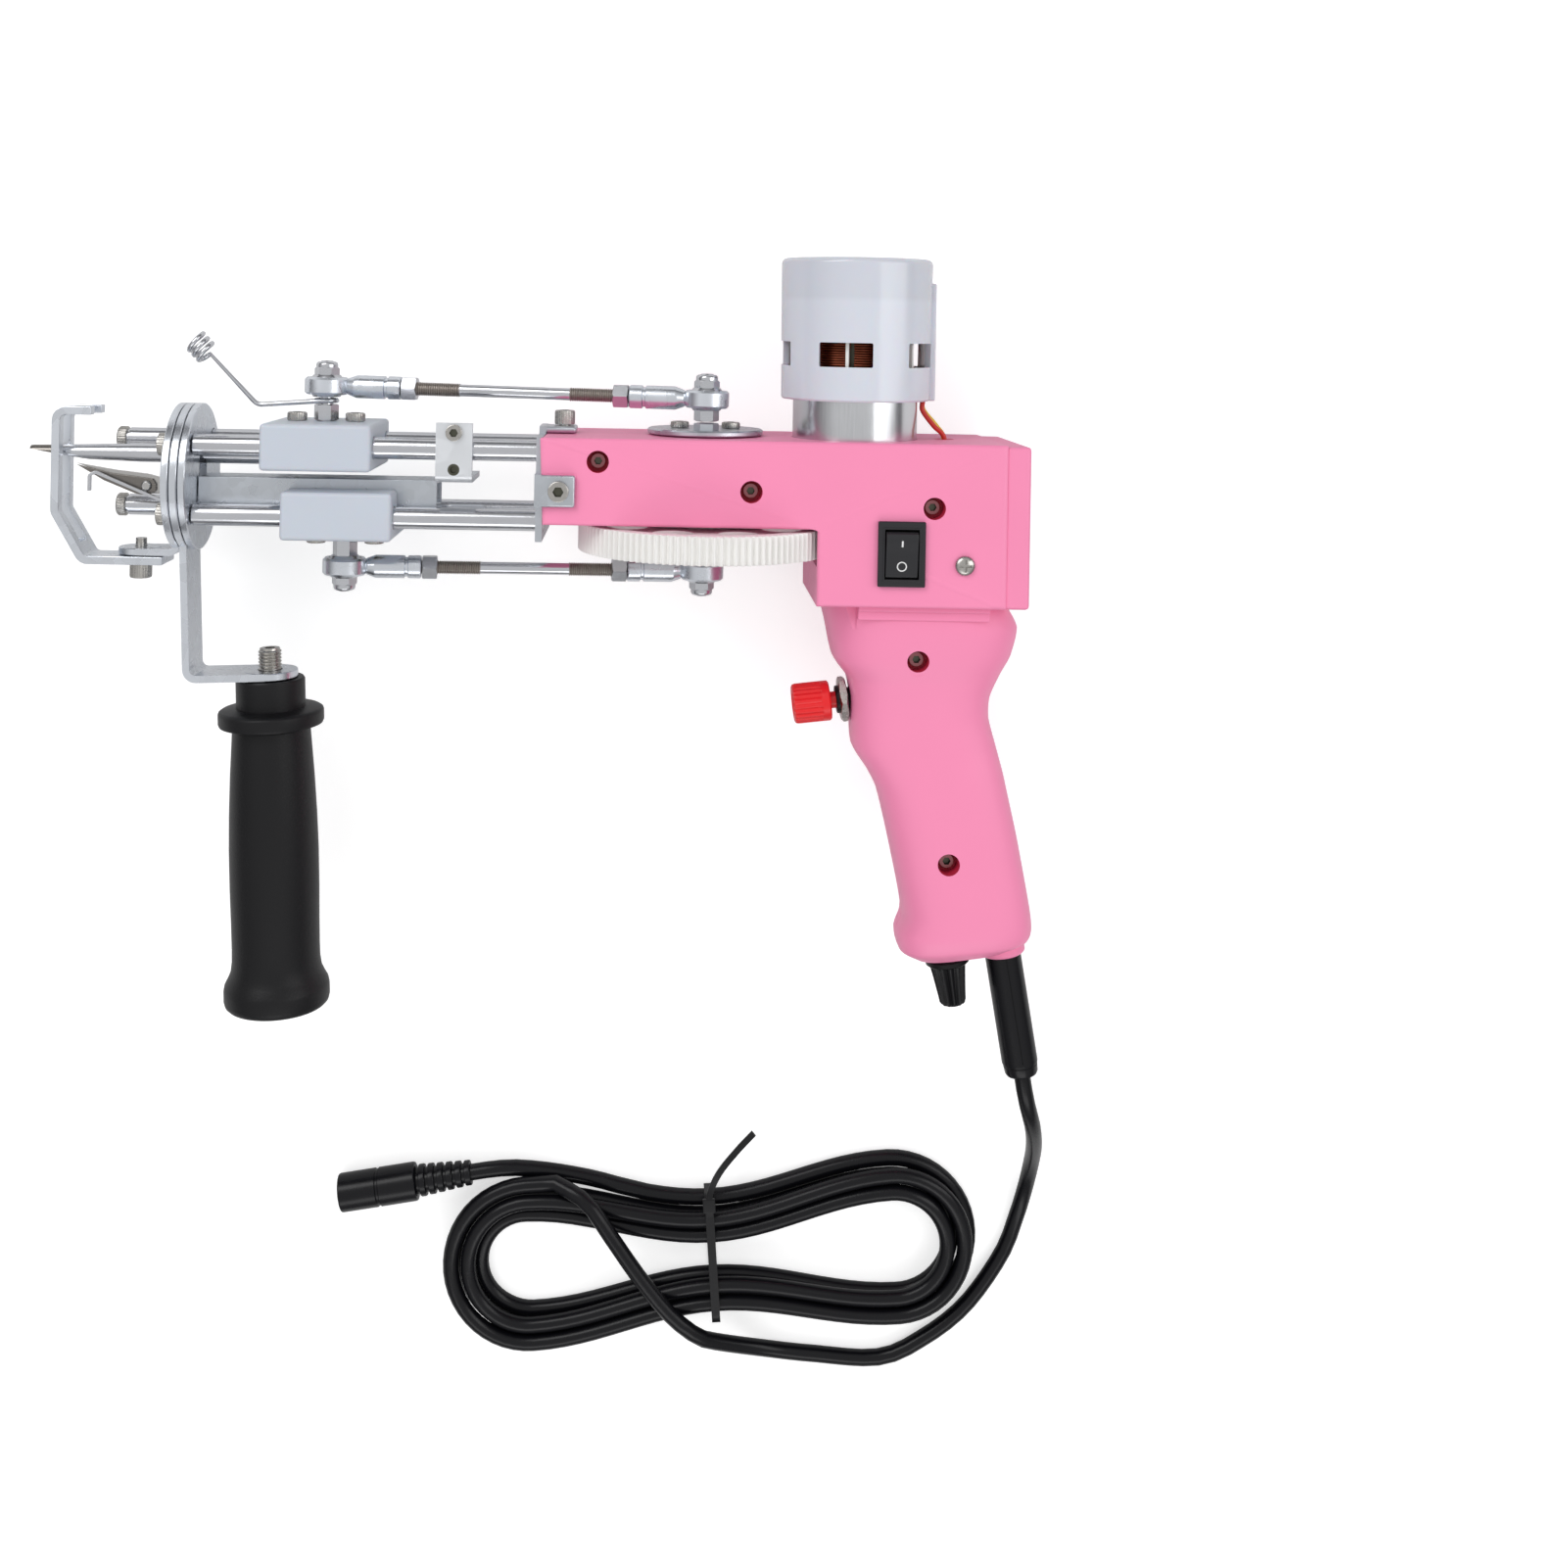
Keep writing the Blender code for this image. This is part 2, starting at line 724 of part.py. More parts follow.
def turned(name, profile, axis, place, material, carrier=None, cutter=False, steps=fine_steps,
           ring=False):
    """Spins a profile of (radius, distance along the axis). It runs down its outer side, top to bottom."""
    bm = bmesh.new()
    verts = [bm.verts.new((radius, 0, height)) for radius, height in profile]
    pairs = list(zip(verts, verts[1:]))
    if ring:
        pairs.append((verts[-1], verts[0]))
    for first, second in pairs:
        bm.edges.new((first, second))
    obj = mesh_object(name, bm, material, carrier, cutter, smooth=False)
    screw = obj.modifiers.new("Screw", "SCREW")
    screw.steps = steps
    screw.render_steps = steps
    screw.use_merge_vertices = True
    screw.merge_threshold = weld_distance
    screw.use_smooth_shade = True
    obj.matrix_local = axis_matrix(axis, place, 0)
    return obj


def weld(mesh):
    bm = bmesh.new()
    bm.from_mesh(mesh)
    bmesh.ops.remove_doubles(bm, verts=bm.verts, dist=weld_distance)
    bmesh.ops.recalc_face_normals(bm, faces=bm.faces)
    bm.to_mesh(mesh)
    bm.free()


def plate(name, outlines, thickness, axis, place, middle, material, carrier=None, cutter=False):
    """A flat outline, with a hole for each outline inside it, made as thick as a plate."""
    curve = bpy.data.curves.new(name + "_outline", "CURVE")
    curve.dimensions = "2D"
    curve.fill_mode = "BOTH"
    curve.extrude = thickness / 2
    for outline in outlines:
        spline = curve.splines.new("POLY")
        spline.points.add(len(outline) - 1)
        for point, (x, y) in zip(spline.points, outline):
            point.co = (x, y, 0, 1)
        spline.use_cyclic_u = True
    drawn = bpy.data.objects.new(name + "_outline", curve)
    cutting_tools.objects.link(drawn)
    graph = bpy.context.evaluated_depsgraph_get()
    mesh = bpy.data.meshes.new_from_object(drawn.evaluated_get(graph))
    bpy.data.objects.remove(drawn, do_unlink=True)
    weld(mesh)
    mesh.transform(axis_matrix(axis, place, middle))
    mesh.shade_smooth()
    mesh.set_sharp_from_angle(angle=math.radians(35))
    return put(bpy.data.objects.new(name, mesh), material, carrier, cutter)


def tube(name, points, radius, material, carrier=None, sides=2):
    """A round tube with closed ends along points."""
    curve = bpy.data.curves.new(name, "CURVE")
    curve.dimensions = "3D"
    curve.bevel_depth = radius
    curve.bevel_resolution = sides
    curve.use_fill_caps = True
    spline = curve.splines.new("POLY")
    spline.points.add(len(points) - 1)
    for point, place in zip(spline.points, points):
        point.co = (*place, 1)
    return put(bpy.data.objects.new(name, curve), material, carrier)


def round_edges(obj, width, steps=2):
    bevel = obj.modifiers.new("Bevel", "BEVEL")
    bevel.width = width
    bevel.segments = steps
    bevel.limit_method = "ANGLE"
    bevel.angle_limit = math.radians(40)


def boolean(obj, others, operation, solver):
    for other in others:
        modifier = obj.modifiers.new(other.name, "BOOLEAN")
        modifier.operation = operation
        modifier.solver = solver
        modifier.object = other
    return obj


def cut(obj, *cutters, solver="EXACT"):
    return boolean(obj, cutters, "DIFFERENCE", solver)


def fuse(obj, *others, solver="EXACT"):
    return boolean(obj, others, "UNION", solver)


def circle(radius, steps=fine_steps, centre=(0, 0), start=0.0, turn=2 * math.pi):
    """Points on a circle, or on an arc with both its ends."""
    count = steps if turn == 2 * math.pi else steps + 1
    return [
        (
            centre[0] + radius * math.cos(start + turn * i / steps),
            centre[1] + radius * math.sin(start + turn * i / steps),
        )
        for i in range(count)
    ]


def rounded_path(points, radius, steps=4):
    """The points of a path whose inner corners are arcs."""
    path = [Vector(points[0])]
    for before, corner, after in zip(points, points[1:], points[2:]):
        corner = Vector(corner)
        back = (Vector(before) - corner).normalized()
        on = (Vector(after) - corner).normalized()
        half = back.angle(on) / 2
        reach = radius / math.tan(half)
        centre = corner + (back + on).normalized() * (radius / math.sin(half))
        first, last = corner + back * reach - centre, corner + on * reach - centre
        sweep = first.angle_signed(last)
        for i in range(steps + 1):
            turn = -sweep * i / steps
            path.append(
                centre
                + Vector(
                    (
                        first.x * math.cos(turn) - first.y * math.sin(turn),
                        first.x * math.sin(turn) + first.y * math.cos(turn),
                    )
                )
            )
    path.append(Vector(points[-1]))
    return path


def strip_outline(points, thickness, bend_radius):
    """The edge view of a sheet strip: its middle line runs along points, with round bends."""
    path = rounded_path(points, bend_radius)
    sides = ([], [])
    for i, point in enumerate(path):
        before, after = path[max(i - 1, 0)], path[min(i + 1, len(path) - 1)]
        ahead = (after - before).normalized()
        across = Vector((-ahead.y, ahead.x)) * thickness / 2
        sides[0].append(tuple(point + across))
        sides[1].append(tuple(point - across))
    return sides[0] + sides[1][::-1]


def hexagon(name, radius, start, end, axis, place, material=steel, carrier=None, cutter=False):
    return cylinder(name, radius, start, end, axis, place, material, carrier, cutter, steps=6)


def socket_screw(name, head_radius, head_height, shank_radius, seat, length, axis, place, way, carrier=None,
                 cutter=False):
    """A cap screw with a hexagon socket. Its head starts at seat and rises along way (1 or -1)."""
    socket_radius = head_radius / 2
    floor = seat + way * head_height / 2
    top = seat + way * head_height
    end = seat - way * length
    profile = [
        (0, floor),
        (socket_radius, floor),
        (socket_radius, top),
        (head_radius, top),
        (head_radius, seat),
        (shank_radius, seat),
        (shank_radius, end),
        (0, end),
    ]
    if way < 0:
        profile = profile[::-1]
    return turned(name, profile, axis, place, steel, carrier, cutter, steps=10)


def gear_outline(teeth, turn):
    """Straight-sided teeth that leave a running clearance in mesh."""
    pitch_radius = gear_module * teeth / 2
    tip_radius = pitch_radius + gear_module * addendum_share
    root_radius = pitch_radius - gear_module * dedendum_share
    pitch_angle = 2 * math.pi / teeth
    corners = (
        (root_radius, -tooth_root_half_share),
        (tip_radius, -tooth_tip_half_share),
        (tip_radius, tooth_tip_half_share),
        (root_radius, tooth_root_half_share),
    )
    outline = []
    for tooth in range(teeth):
        for radius, share in corners:
            angle = turn + (tooth + share) * pitch_angle
            outline.append((radius * math.cos(angle), radius * math.sin(angle)))
    return outline


def grip_point(down_share, forward_share):
    """A point of the grip's side outline."""
    return Vector((block_front_x + forward_share * grip_reach, block_floor_y - down_share * grip_length))


def grip_form(name, side, inset, joint):
    """Half of the grip, as a loft of flattened half rings from a joint face outwards."""
    bm = bmesh.new()
    rings = []
    for front_down, front_share, back_down, back_share, thickness_share in grip_shares:
        front, back = grip_point(front_down, front_share), grip_point(back_down, back_share)
        middle, half = (front + back) / 2, (back - front) / 2
        half = half * (1 - inset / half.length)
        middle = middle + Vector((0, inset * max(0, (front_down + back_down) / 2) ** 6))
        depth = side * (grip_half_thickness * thickness_share - inset)
        ring = [(*(middle - half), joint)]
        for i in range(1, grip_section_points):
            angle = math.pi * (1 - i / grip_section_points)
            across = math.copysign(abs(math.cos(angle)) ** (2 / grip_squareness), math.cos(angle))
            ring.append((*(middle + half * across), depth * math.sin(angle) ** (2 / grip_squareness)))
        ring.append((*(middle + half), joint))
        rings.append([bm.verts.new(place) for place in ring])
    for lower, upper in zip(rings, rings[1:]):
        for i, vert in enumerate(lower):
            j = (i + 1) % len(lower)
            bm.faces.new((vert, lower[j], upper[j], upper[i]))
    bm.faces.new(rings[0])
    bm.faces.new(rings[-1])
    bmesh.ops.recalc_face_normals(bm, faces=bm.faces)
    return mesh_object(name, bm, pink_plastic, cutter=True)


def side_box(name, low, high, side, inner, outer, carrier=None):
    """A cutter between two (x, y) corners and two distances from the joint face on one side."""
    z_low, z_high = sorted((side * inner, side * outer))
    return box(name, (*low, z_low), (*high, z_high), carrier=carrier, cutter=True)


def side_cylinder(name, radius, x, y, side, inner, outer):
    z_low, z_high = sorted((side * inner, side * outer))
    return cylinder(name, radius, z_low, z_high, "z", (x, y), cutter=True)


def round_outer_rim(obj, side):
    """Rounds the edges of a housing half on its outer face."""
    bm = bmesh.new()
    bm.from_mesh(obj.data)
    bmesh.ops.dissolve_limit(bm, angle_limit=math.radians(1), verts=bm.verts, edges=bm.edges)
    outer = side * housing_half_width
    edges = [e for e in bm.edges if all(abs(v.co.z - outer) < weld_distance for v in e.verts)]
    bmesh.ops.bevel(bm, geom=edges, offset=housing_edge_radius, segments=2, profile=0.5, affect="EDGES")
    bm.to_mesh(obj.data)
    bm.free()


def housing_walls(name, side):
    """The barrel and the block over the grip, from the joint face to one side."""
    outline = [
        (barrel_front_x, housing_top_y),
        (barrel_front_x, barrel_floor_y),
        (block_front_x, barrel_floor_y),
        (block_front_x, block_floor_y),
        (block_back_x, block_floor_y),
        (block_back_x, housing_top_y),
    ]
    thickness = housing_half_width - seat_gap / 2
    middle = side * (housing_half_width + seat_gap / 2) / 2
    walls = plate(name, [outline], thickness, "z", (0, 0), middle, pink_plastic)
    round_outer_rim(walls, side)
    return walls


def housing_half(name, side):
    """One moulded half: walls, grip, bearing saddles, motor web, screw bosses and openings."""
    tag = name + "_"
    solver = "MANIFOLD"
    inner = housing_half_width - housing_wall
    top_inner_y = housing_top_y - housing_wall
    floor_inner_y = barrel_floor_y + housing_wall
    bearing_depth = bearing_width + seat_gap
    half = housing_walls(name, side)

    grip = grip_form(tag + "grip", side, 0, side * seat_gap / 2)
    cut(grip, side_box(
        tag + "cover_room", (block_back_x, block_floor_y - seat_gap),
        (block_back_x + grip_reach, housing_top_y), side, -cut_overrun, housing_half_width * 2,
    ))
    hollow_grip = grip_form(tag + "grip_hollow", side, grip_wall, -side * cut_overrun)
    cut(hollow_grip, side_box(
        tag + "cover_floor", (block_back_x - housing_wall, block_floor_y - grip_wall),
        (block_back_x + grip_reach, housing_top_y), side, -cut_overrun * 2, housing_half_width * 2,
    ))
    fuse(half, grip, solver=solver)

    hollows = [
        side_box(tag + "front_hollow", (barrel_front_x + housing_wall, floor_inner_y),
                 (-saddle_half_length, top_inner_y), side, -cut_overrun, inner),
        side_box(tag + "saddle_hollow", (-saddle_half_length - cut_overrun, floor_inner_y + bearing_depth),
                 (saddle_half_length + cut_overrun, top_inner_y - bearing_depth), side, -cut_overrun, inner),
        side_box(tag + "motor_hollow", (saddle_half_length, floor_inner_y),
                 (block_back_x + cut_overrun, top_inner_y), side, -cut_overrun, inner),
        side_box(tag + "block_hollow", (block_front_x + housing_wall, block_floor_y + housing_wall),
                 (block_back_x + cut_overrun, floor_inner_y + cut_overrun), side, -cut_overrun, inner),
        hollow_grip,
    ]
    cut(half, *hollows, solver=solver)

    web = side_box(
        tag + "web", (motor_x - motor_can_radius - housing_wall, motor_web_bottom_y),
        (motor_x + motor_can_radius + housing_wall, motor_web_top_y), side, seat_gap / 2,
        inner + housing_wall / 2,
    )
    bosses = [
        side_cylinder(f"{tag}boss_{i}", boss_radius, x, y, side, seat_gap / 2, face - housing_wall / 2)
        for i, (x, y, face) in enumerate(housing_screw_places)
    ]
    fuse(half, web, *bosses, solver=solver)

    openings = [
        cylinder(tag + "shaft_hole", drive_shaft_radius + housing_wall / 2, barrel_floor_y - cut_overrun,
                 housing_top_y + cut_overrun, "y", (0, 0), cutter=True),
        cylinder(tag + "bearing_seats", bearing_radius + seat_gap, floor_inner_y, top_inner_y, "y",
                 (0, 0), cutter=True, steps=fine_steps),
        cylinder(tag + "motor_hole", motor_can_radius + seat_gap, motor_web_top_y,
                 housing_top_y + cut_overrun, "y", (motor_x, 0), cutter=True, steps=fine_steps),
        cylinder(tag + "web_hole", pinion_pitch_radius, motor_web_bottom_y - cut_overrun,
                 motor_web_top_y + cut_overrun, "y", (motor_x, 0), cutter=True),
        side_box(tag + "gear_slot", (block_front_x - cut_overrun, gear_bottom_y - gear_slot_margin),
                 (block_front_x + housing_wall + cut_overrun, barrel_floor_y), side, -cut_overrun, inner),
        cylinder(tag + "lead_hole", lead_hole_radius, top_inner_y - cut_overrun,
                 housing_top_y + cut_overrun, "y", (lead_hole_x, 0), cutter=True),
        cylinder(tag + "trigger_hole", trigger_thread_radius + seat_gap, trigger_wall_reach - cut_overrun,
                 trigger_wall_reach + grip_wall * 3, "x", (0, 0), carrier=trigger_seat, cutter=True),
        cylinder(tag + "speed_hole", speed_bush_radius + seat_gap, -cut_overrun, grip_wall * 2, "y",
                 (0, 0), carrier=speed_seat, cutter=True),
        cylinder(tag + "outlet_hole", (relief_radius + outlet_boss_radius) / 2, -cut_overrun,
                 outlet_boss_rise + cut_overrun, "y", (0, 0), carrier=outlet_axis, cutter=True, steps=20),
        cylinder(tag + "top_screw_hole", bracket_screw_radius + seat_gap, top_inner_y - cut_overrun,
                 housing_top_y + cut_overrun, "y", (bracket_top_screw_x, 0), cutter=True),
        side_cylinder(tag + "side_screw_hole", bracket_screw_radius + seat_gap, bracket_side_screw_x,
                      rear_bracket_tab_y, side, inner - cut_overrun, housing_half_width + cut_overrun),
        side_box(tag + "tab_seat",
                 (barrel_front_x - cut_overrun, rear_bracket_tab_y - rear_bracket_tab_width / 2 - seat_gap),
                 (barrel_front_x + rear_bracket_tab_length + seat_gap,
                  rear_bracket_tab_y + rear_bracket_tab_width / 2 + seat_gap),
                 side, housing_half_width - rear_bracket_tab_seat_depth, housing_half_width + cut_overrun),
        side_box(tag + "trigger_relief", (trigger_relief_x, trigger_relief_y - trigger_relief_length),
                 (trigger_relief_x + trigger_relief_width, trigger_relief_y), side,
                 trigger_relief_floor, housing_half_width * 2),
    ]
    for i, (x, y, face) in enumerate(housing_screw_places):
        hole = housing_screw_radius + seat_gap
        if side > 0:
            openings.append(side_cylinder(f"{tag}recess_{i}", recess_radius, x, y, side,
                                          face - recess_depth, housing_half_width * 2))
        else:
            openings.append(side_cylinder(f"{tag}screw_hole_{i}", hole, x, y, side, -cut_overrun,
                                          housing_screw_bite + seat_gap))
    if side > 0:
        openings.append(box(
            tag + "rocker_opening",
            (rocker_x - rocker_body_half_width, rocker_y - rocker_body_half_height, inner - cut_overrun),
            (rocker_x + rocker_body_half_width, rocker_y + rocker_body_half_height,
             housing_half_width + cut_overrun), cutter=True,
        ))
    cut(half, *openings, solver=solver)
    seat, bore = relief_radius + seat_gap, cord_radius + seat_gap
    outlet_boss = turned(
        tag + "outlet_boss",
        [
            (outlet_boss_radius, outlet_boss_rise),
            (outlet_boss_radius, 0),
            (seat, 0),
            (seat, relief_seat_depth + seat_gap),
            (bore, relief_seat_depth + seat_gap),
            (bore, outlet_boss_rise),
        ],
        "y", (0, 0), pink_plastic, outlet_axis, cutter=True, steps=24, ring=True,
    )
    cut(outlet_boss, side_box(
        tag + "boss_joint", (-housing_top_y * 4, -grip_length), (housing_top_y * 4, grip_length),
        -side, -seat_gap / 2, housing_half_width, outlet_axis,
    ))
    fuse(half, outlet_boss, *(housing_screws() if side > 0 else ()), solver=solver)


def rear_cover():
    """The cap that closes the open back of the block."""
    front = block_back_x + seat_gap
    half_width = housing_half_width - rear_cover_inset
    cover = box(
        "rear_cover",
        (front, block_floor_y, -half_width),
        (front + rear_cover_depth, housing_top_y - rear_cover_inset, half_width),
        pink_plastic, edge=housing_edge_radius,
    )
    hollow = box(
        "rear_cover_hollow",
        (front - cut_overrun, block_floor_y + housing_wall, housing_wall - half_width),
        (front + rear_cover_depth - housing_wall, housing_top_y - rear_cover_inset - housing_wall,
         half_width - housing_wall),
        cutter=True,
    )
    cut(cover, hollow)


def housing_screws():
    """Four cap screws deep in their recesses and one pan head, sunk a little into the near half."""
    screws = []
    for i, (x, y, face) in enumerate(housing_screw_places):
        seat = face - recess_depth - seat_gap
        screws.append(socket_screw(
            f"housing_screw_{i}", housing_screw_head_radius, housing_screw_head_height,
            housing_screw_radius, seat, seat + housing_screw_bite, "z", (x, y), 1, cutter=True,
        ))
    seat = housing_half_width - seat_gap
    pan_head = [
        (0, seat + pan_screw_head_height),
        (pan_screw_head_radius / 2, seat + pan_screw_head_height),
        (pan_screw_head_radius, seat + pan_screw_head_height / 3),
        (pan_screw_head_radius, seat),
        (housing_screw_radius, seat),
        (housing_screw_radius, seat - pan_screw_length),
        (0, seat - pan_screw_length),
    ]
    screws.append(turned("pan_screw", pan_head, "z", (pan_screw_x, pan_screw_y), steel, cutter=True,
                         steps=small_steps))
    return screws


def shaft_bearings():
    bore = drive_shaft_radius + sliding_gap
    floor = barrel_floor_y + housing_wall + seat_gap / 2
    ceiling = housing_top_y - housing_wall - seat_gap / 2
    for name, low in (("bearing_lower", floor), ("bearing_upper", ceiling - bearing_width)):
        high = low + bearing_width
        ring = [(bearing_radius, high), (bearing_radius, low), (bore, low), (bore, high)]
        turned(name, ring, "y", (0, 0), steel, ring=True, steps=24)


def drive_train():
    """The big gear, its shaft, the crank disc on top and the motor's rotor with its pinion."""
    bore = circle(drive_shaft_radius + seat_gap, small_steps)
    holes = [
        circle(
            gear_hole_radius, small_steps,
            (gear_hole_circle_radius * math.cos(turn), gear_hole_circle_radius * math.sin(turn)),
        )
        for turn in (2 * math.pi * (i + 0.5) / gear_hole_count for i in range(gear_hole_count))
    ]
    plate(
        "drive_gear", [gear_outline(gear_teeth, 0), bore, *holes], gear_width, "y", (0, 0),
        (gear_top_y + gear_bottom_y) / 2, white_nylon, drive_axis,
    )
    cylinder("drive_shaft", drive_shaft_radius, gear_bottom_y + seat_gap, crank_disc_top_y, "y", (0, 0),
             steel, drive_axis, steps=24)
    disc = plate(
        "crank_disc", [circle(crank_disc_radius, 40), bore], crank_disc_thickness, "y", (0, 0),
        (crank_disc_bottom_y + crank_disc_top_y) / 2, zinc_plate, drive_axis,
    )
    seat = crank_disc_top_y - seat_gap
    fasteners = [
        socket_screw(f"disc_screw_{x:.4f}", disc_screw_head_radius, disc_screw_head_height,
                     disc_screw_radius, seat, crank_disc_thickness / 2, "y", (x, 0), 1, drive_axis, True)
        for x in (-disc_screw_circle_radius, disc_screw_circle_radius)
    ]
    fasteners.append(hexagon("crank_nut", crank_nut_radius, seat, crank_disc_top_y + crank_nut_height,
                             "y", (0, crank_radius), carrier=drive_axis, cutter=True))
    fuse(disc, *fasteners)

    pinion = plate(
        "motor_pinion", [gear_outline(pinion_teeth, math.pi / pinion_teeth)], gear_width, "y", (0, 0),
        (gear_top_y + gear_bottom_y) / 2, steel, motor_axis,
    )
    rotor_low = motor_can_bottom_y + motor_can_wall + motor_rotor_room
    rotor_high = motor_can_top_y - motor_rotor_room
    rotor = turned(
        "motor_rotor",
        [
            (0, rotor_high + motor_rotor_room),
            (rotor_shaft_radius, rotor_high + motor_rotor_room),
            (rotor_shaft_radius, rotor_high),
            (motor_rotor_radius, rotor_high),
            (motor_rotor_radius, rotor_low),
            (rotor_shaft_radius, rotor_low),
            (rotor_shaft_radius, gear_bottom_y + seat_gap),
            (0, gear_bottom_y + seat_gap),
        ],
        "y", (0, 0), dark_steel, motor_axis, cutter=True, steps=24,
    )
    fuse(pinion, rotor)


def motor_body():
    """The can in the housing, the wound stator on its rim and the windowed cap over both."""
    place = (motor_x, 0)
    can_bore = motor_can_radius - motor_can_wall
    turned(
        "motor_can",
        [
            (motor_can_radius, motor_can_top_y),
            (motor_can_radius, motor_can_bottom_y),
            (rotor_shaft_radius + motor_can_wall, motor_can_bottom_y),
            (rotor_shaft_radius + motor_can_wall, motor_can_bottom_y + motor_can_wall),
            (can_bore, motor_can_bottom_y + motor_can_wall),
            (can_bore, motor_can_top_y),
        ],
        "y", place, steel, ring=True,
    )
    stator_outline = []
    pitch = 2 * math.pi / stator_slots
    for slot in range(stator_slots):
        for radius, share in stator_slot_shares:
            angle = (slot + share) * pitch
            stator_outline.append((
                stator_radius * radius * math.cos(angle), stator_radius * radius * math.sin(angle),
            ))
    stator_low = motor_can_top_y + seat_gap
    plate(
        "motor_stator", [stator_outline, circle(rotor_shaft_radius + motor_can_wall, 12)], stator_height,
        "y", place, stator_low + stator_height / 2, dark_steel,
    )
    cap_low = motor_can_top_y - motor_cap_lap
    cap_high = cap_low + motor_cap_height
    edge = motor_cap_wall
    cap = turned(
        "motor_cap",
        [
            (0, cap_high),
            (motor_cap_top_radius - edge, cap_high),
            (motor_cap_top_radius - edge / 3, cap_high - edge / 3),
            (motor_cap_top_radius, cap_high - edge),
            (motor_cap_radius, cap_low),
            (motor_can_radius + seat_gap, cap_low),
            (motor_can_radius + seat_gap, motor_can_top_y),
            (motor_cap_radius - motor_cap_wall, motor_can_top_y + motor_cap_wall),
            (motor_cap_top_radius - motor_cap_wall, cap_high - motor_cap_wall),
            (0, cap_high - motor_cap_wall),
        ],
        "y", place, clear_nylon, steps=fine_steps,
    )
    rib = box(
        "motor_cap_rib",
        (motor_x + motor_cap_radius - motor_cap_wall, cap_low, -motor_rib_half_width),
        (motor_x + motor_cap_radius + motor_rib_depth, cap_low + motor_rib_length, motor_rib_half_width),
        cutter=True,
    )
    fuse(cap, rib)
    window_low = cap_low + motor_window_rise - motor_window_height / 2
    for i in range(motor_window_count):
        turn = motor_window_turn + 2 * math.pi * i / motor_window_count
        window = box(
            f"motor_window_{i}",
            (-motor_window_width / 2, window_low, motor_cap_radius - motor_cap_wall * 3),
            (motor_window_width / 2, window_low + motor_window_height, motor_cap_radius + motor_cap_wall * 2),
            cutter=True,
        )
        window.matrix_local = Matrix.Translation((motor_x, 0, 0)) @ Matrix.Rotation(turn, 4, "Y")
        cut(cap, window)

    start_x = motor_x + (motor_can_radius + motor_cap_radius) / 2
    start_y = cap_low - seat_gap
    drop = (start_y - housing_top_y) / 2
    path = rounded_path(
        [
            (start_x, start_y),
            (start_x, start_y - drop * 0.6),
            (lead_hole_x, housing_top_y + drop * 0.4),
            (lead_hole_x, housing_top_y - housing_wall * 3),
        ],
        motor_lead_bend_radius,
    )
    tube("motor_lead", [(*point, 0) for point in path], motor_lead_radius, lead_red)


def window_outline():
    return [
        (-window_half_width, window_bottom_y - plate_y),
        (window_half_width, window_bottom_y - plate_y),
        (window_half_width, window_top_y - plate_y),
        (-window_half_width, window_top_y - plate_y),
    ]


def front_plates():
    """Three round plates on the rods: the rear one, the handle's bracket and the presser foot's carrier."""
    holes = [window_outline()]
    for y in (guide_upper_y, guide_lower_y):
        holes.append(circle(plate_screw_radius + seat_gap, small_steps, (-guide_spacing_z, y - plate_y)))
        holes.append(circle(guide_rod_radius + sliding_gap, small_steps, (guide_spacing_z, y - plate_y)))
    rim = circle(plate_radius, fine_steps)
    place = (plate_y, 0)
    plate("rear_plate", [rim, *holes], plate_thickness, "x", place, rear_plate_x, zinc_plate)
    bracket = plate("handle_bracket", [rim, *holes], handle_bracket_thickness, "x", place,
                    bracket_plate_x, zinc_plate)
    carrier = plate("presser_carrier", [rim, *holes], plate_thickness, "x", place, carrier_plate_x,
                    zinc_plate)

    rim_y = plate_y - plate_radius
    neck_y = window_bottom_y - (window_bottom_y - rim_y) / 2
    strip = plate(
        "handle_strip",
        [strip_outline(
            [(bracket_plate_x, neck_y), (bracket_plate_x, rim_y), handle_corner, handle_seat_place],
            handle_bracket_thickness - fold_inset * 2, handle_bracket_bend_radius,
        )],
        handle_bracket_half_width * 2, "z", (0, 0), 0, zinc_plate, cutter=True,
    )
    half_thickness = handle_bracket_thickness / 2
    round_end = cylinder("handle_foot_end", handle_bracket_half_width, -half_thickness, half_thickness, "y",
                         (0, 0), carrier=handle_axis, cutter=True, steps=24)
    fuse(bracket, strip, round_end, solver="MANIFOLD")
    cut(bracket, cylinder("handle_stud_hole", handle_stud_radius + seat_gap, -cut_overrun * 2,
                          cut_overrun * 2, "y", (0, 0), carrier=handle_axis, cutter=True),
        solver="MANIFOLD")

    tab = plate(
        "carrier_tab",
        [strip_outline(
            [(carrier_plate_x, neck_y), (carrier_plate_x, carrier_tab_y), (foot_screw_x, carrier_tab_y)],
            plate_thickness - fold_inset * 2, plate_thickness,
        )],
        carrier_tab_half_width * 2, "z", (0, 0), 0, zinc_plate, cutter=True,
    )
    tab_end = cylinder("carrier_tab_end", carrier_tab_half_width, carrier_tab_y - plate_thickness / 2,
                       carrier_tab_y + plate_thickness / 2, "y", (foot_screw_x, 0), cutter=True, steps=24)
    fuse(carrier, tab, tab_end, solver="MANIFOLD")
    cut(carrier, cylinder("carrier_screw_hole", foot_screw_radius + seat_gap, carrier_tab_y - cut_overrun,
                          carrier_tab_y + cut_overrun, "y", (foot_screw_x, 0), cutter=True),
        solver="MANIFOLD")


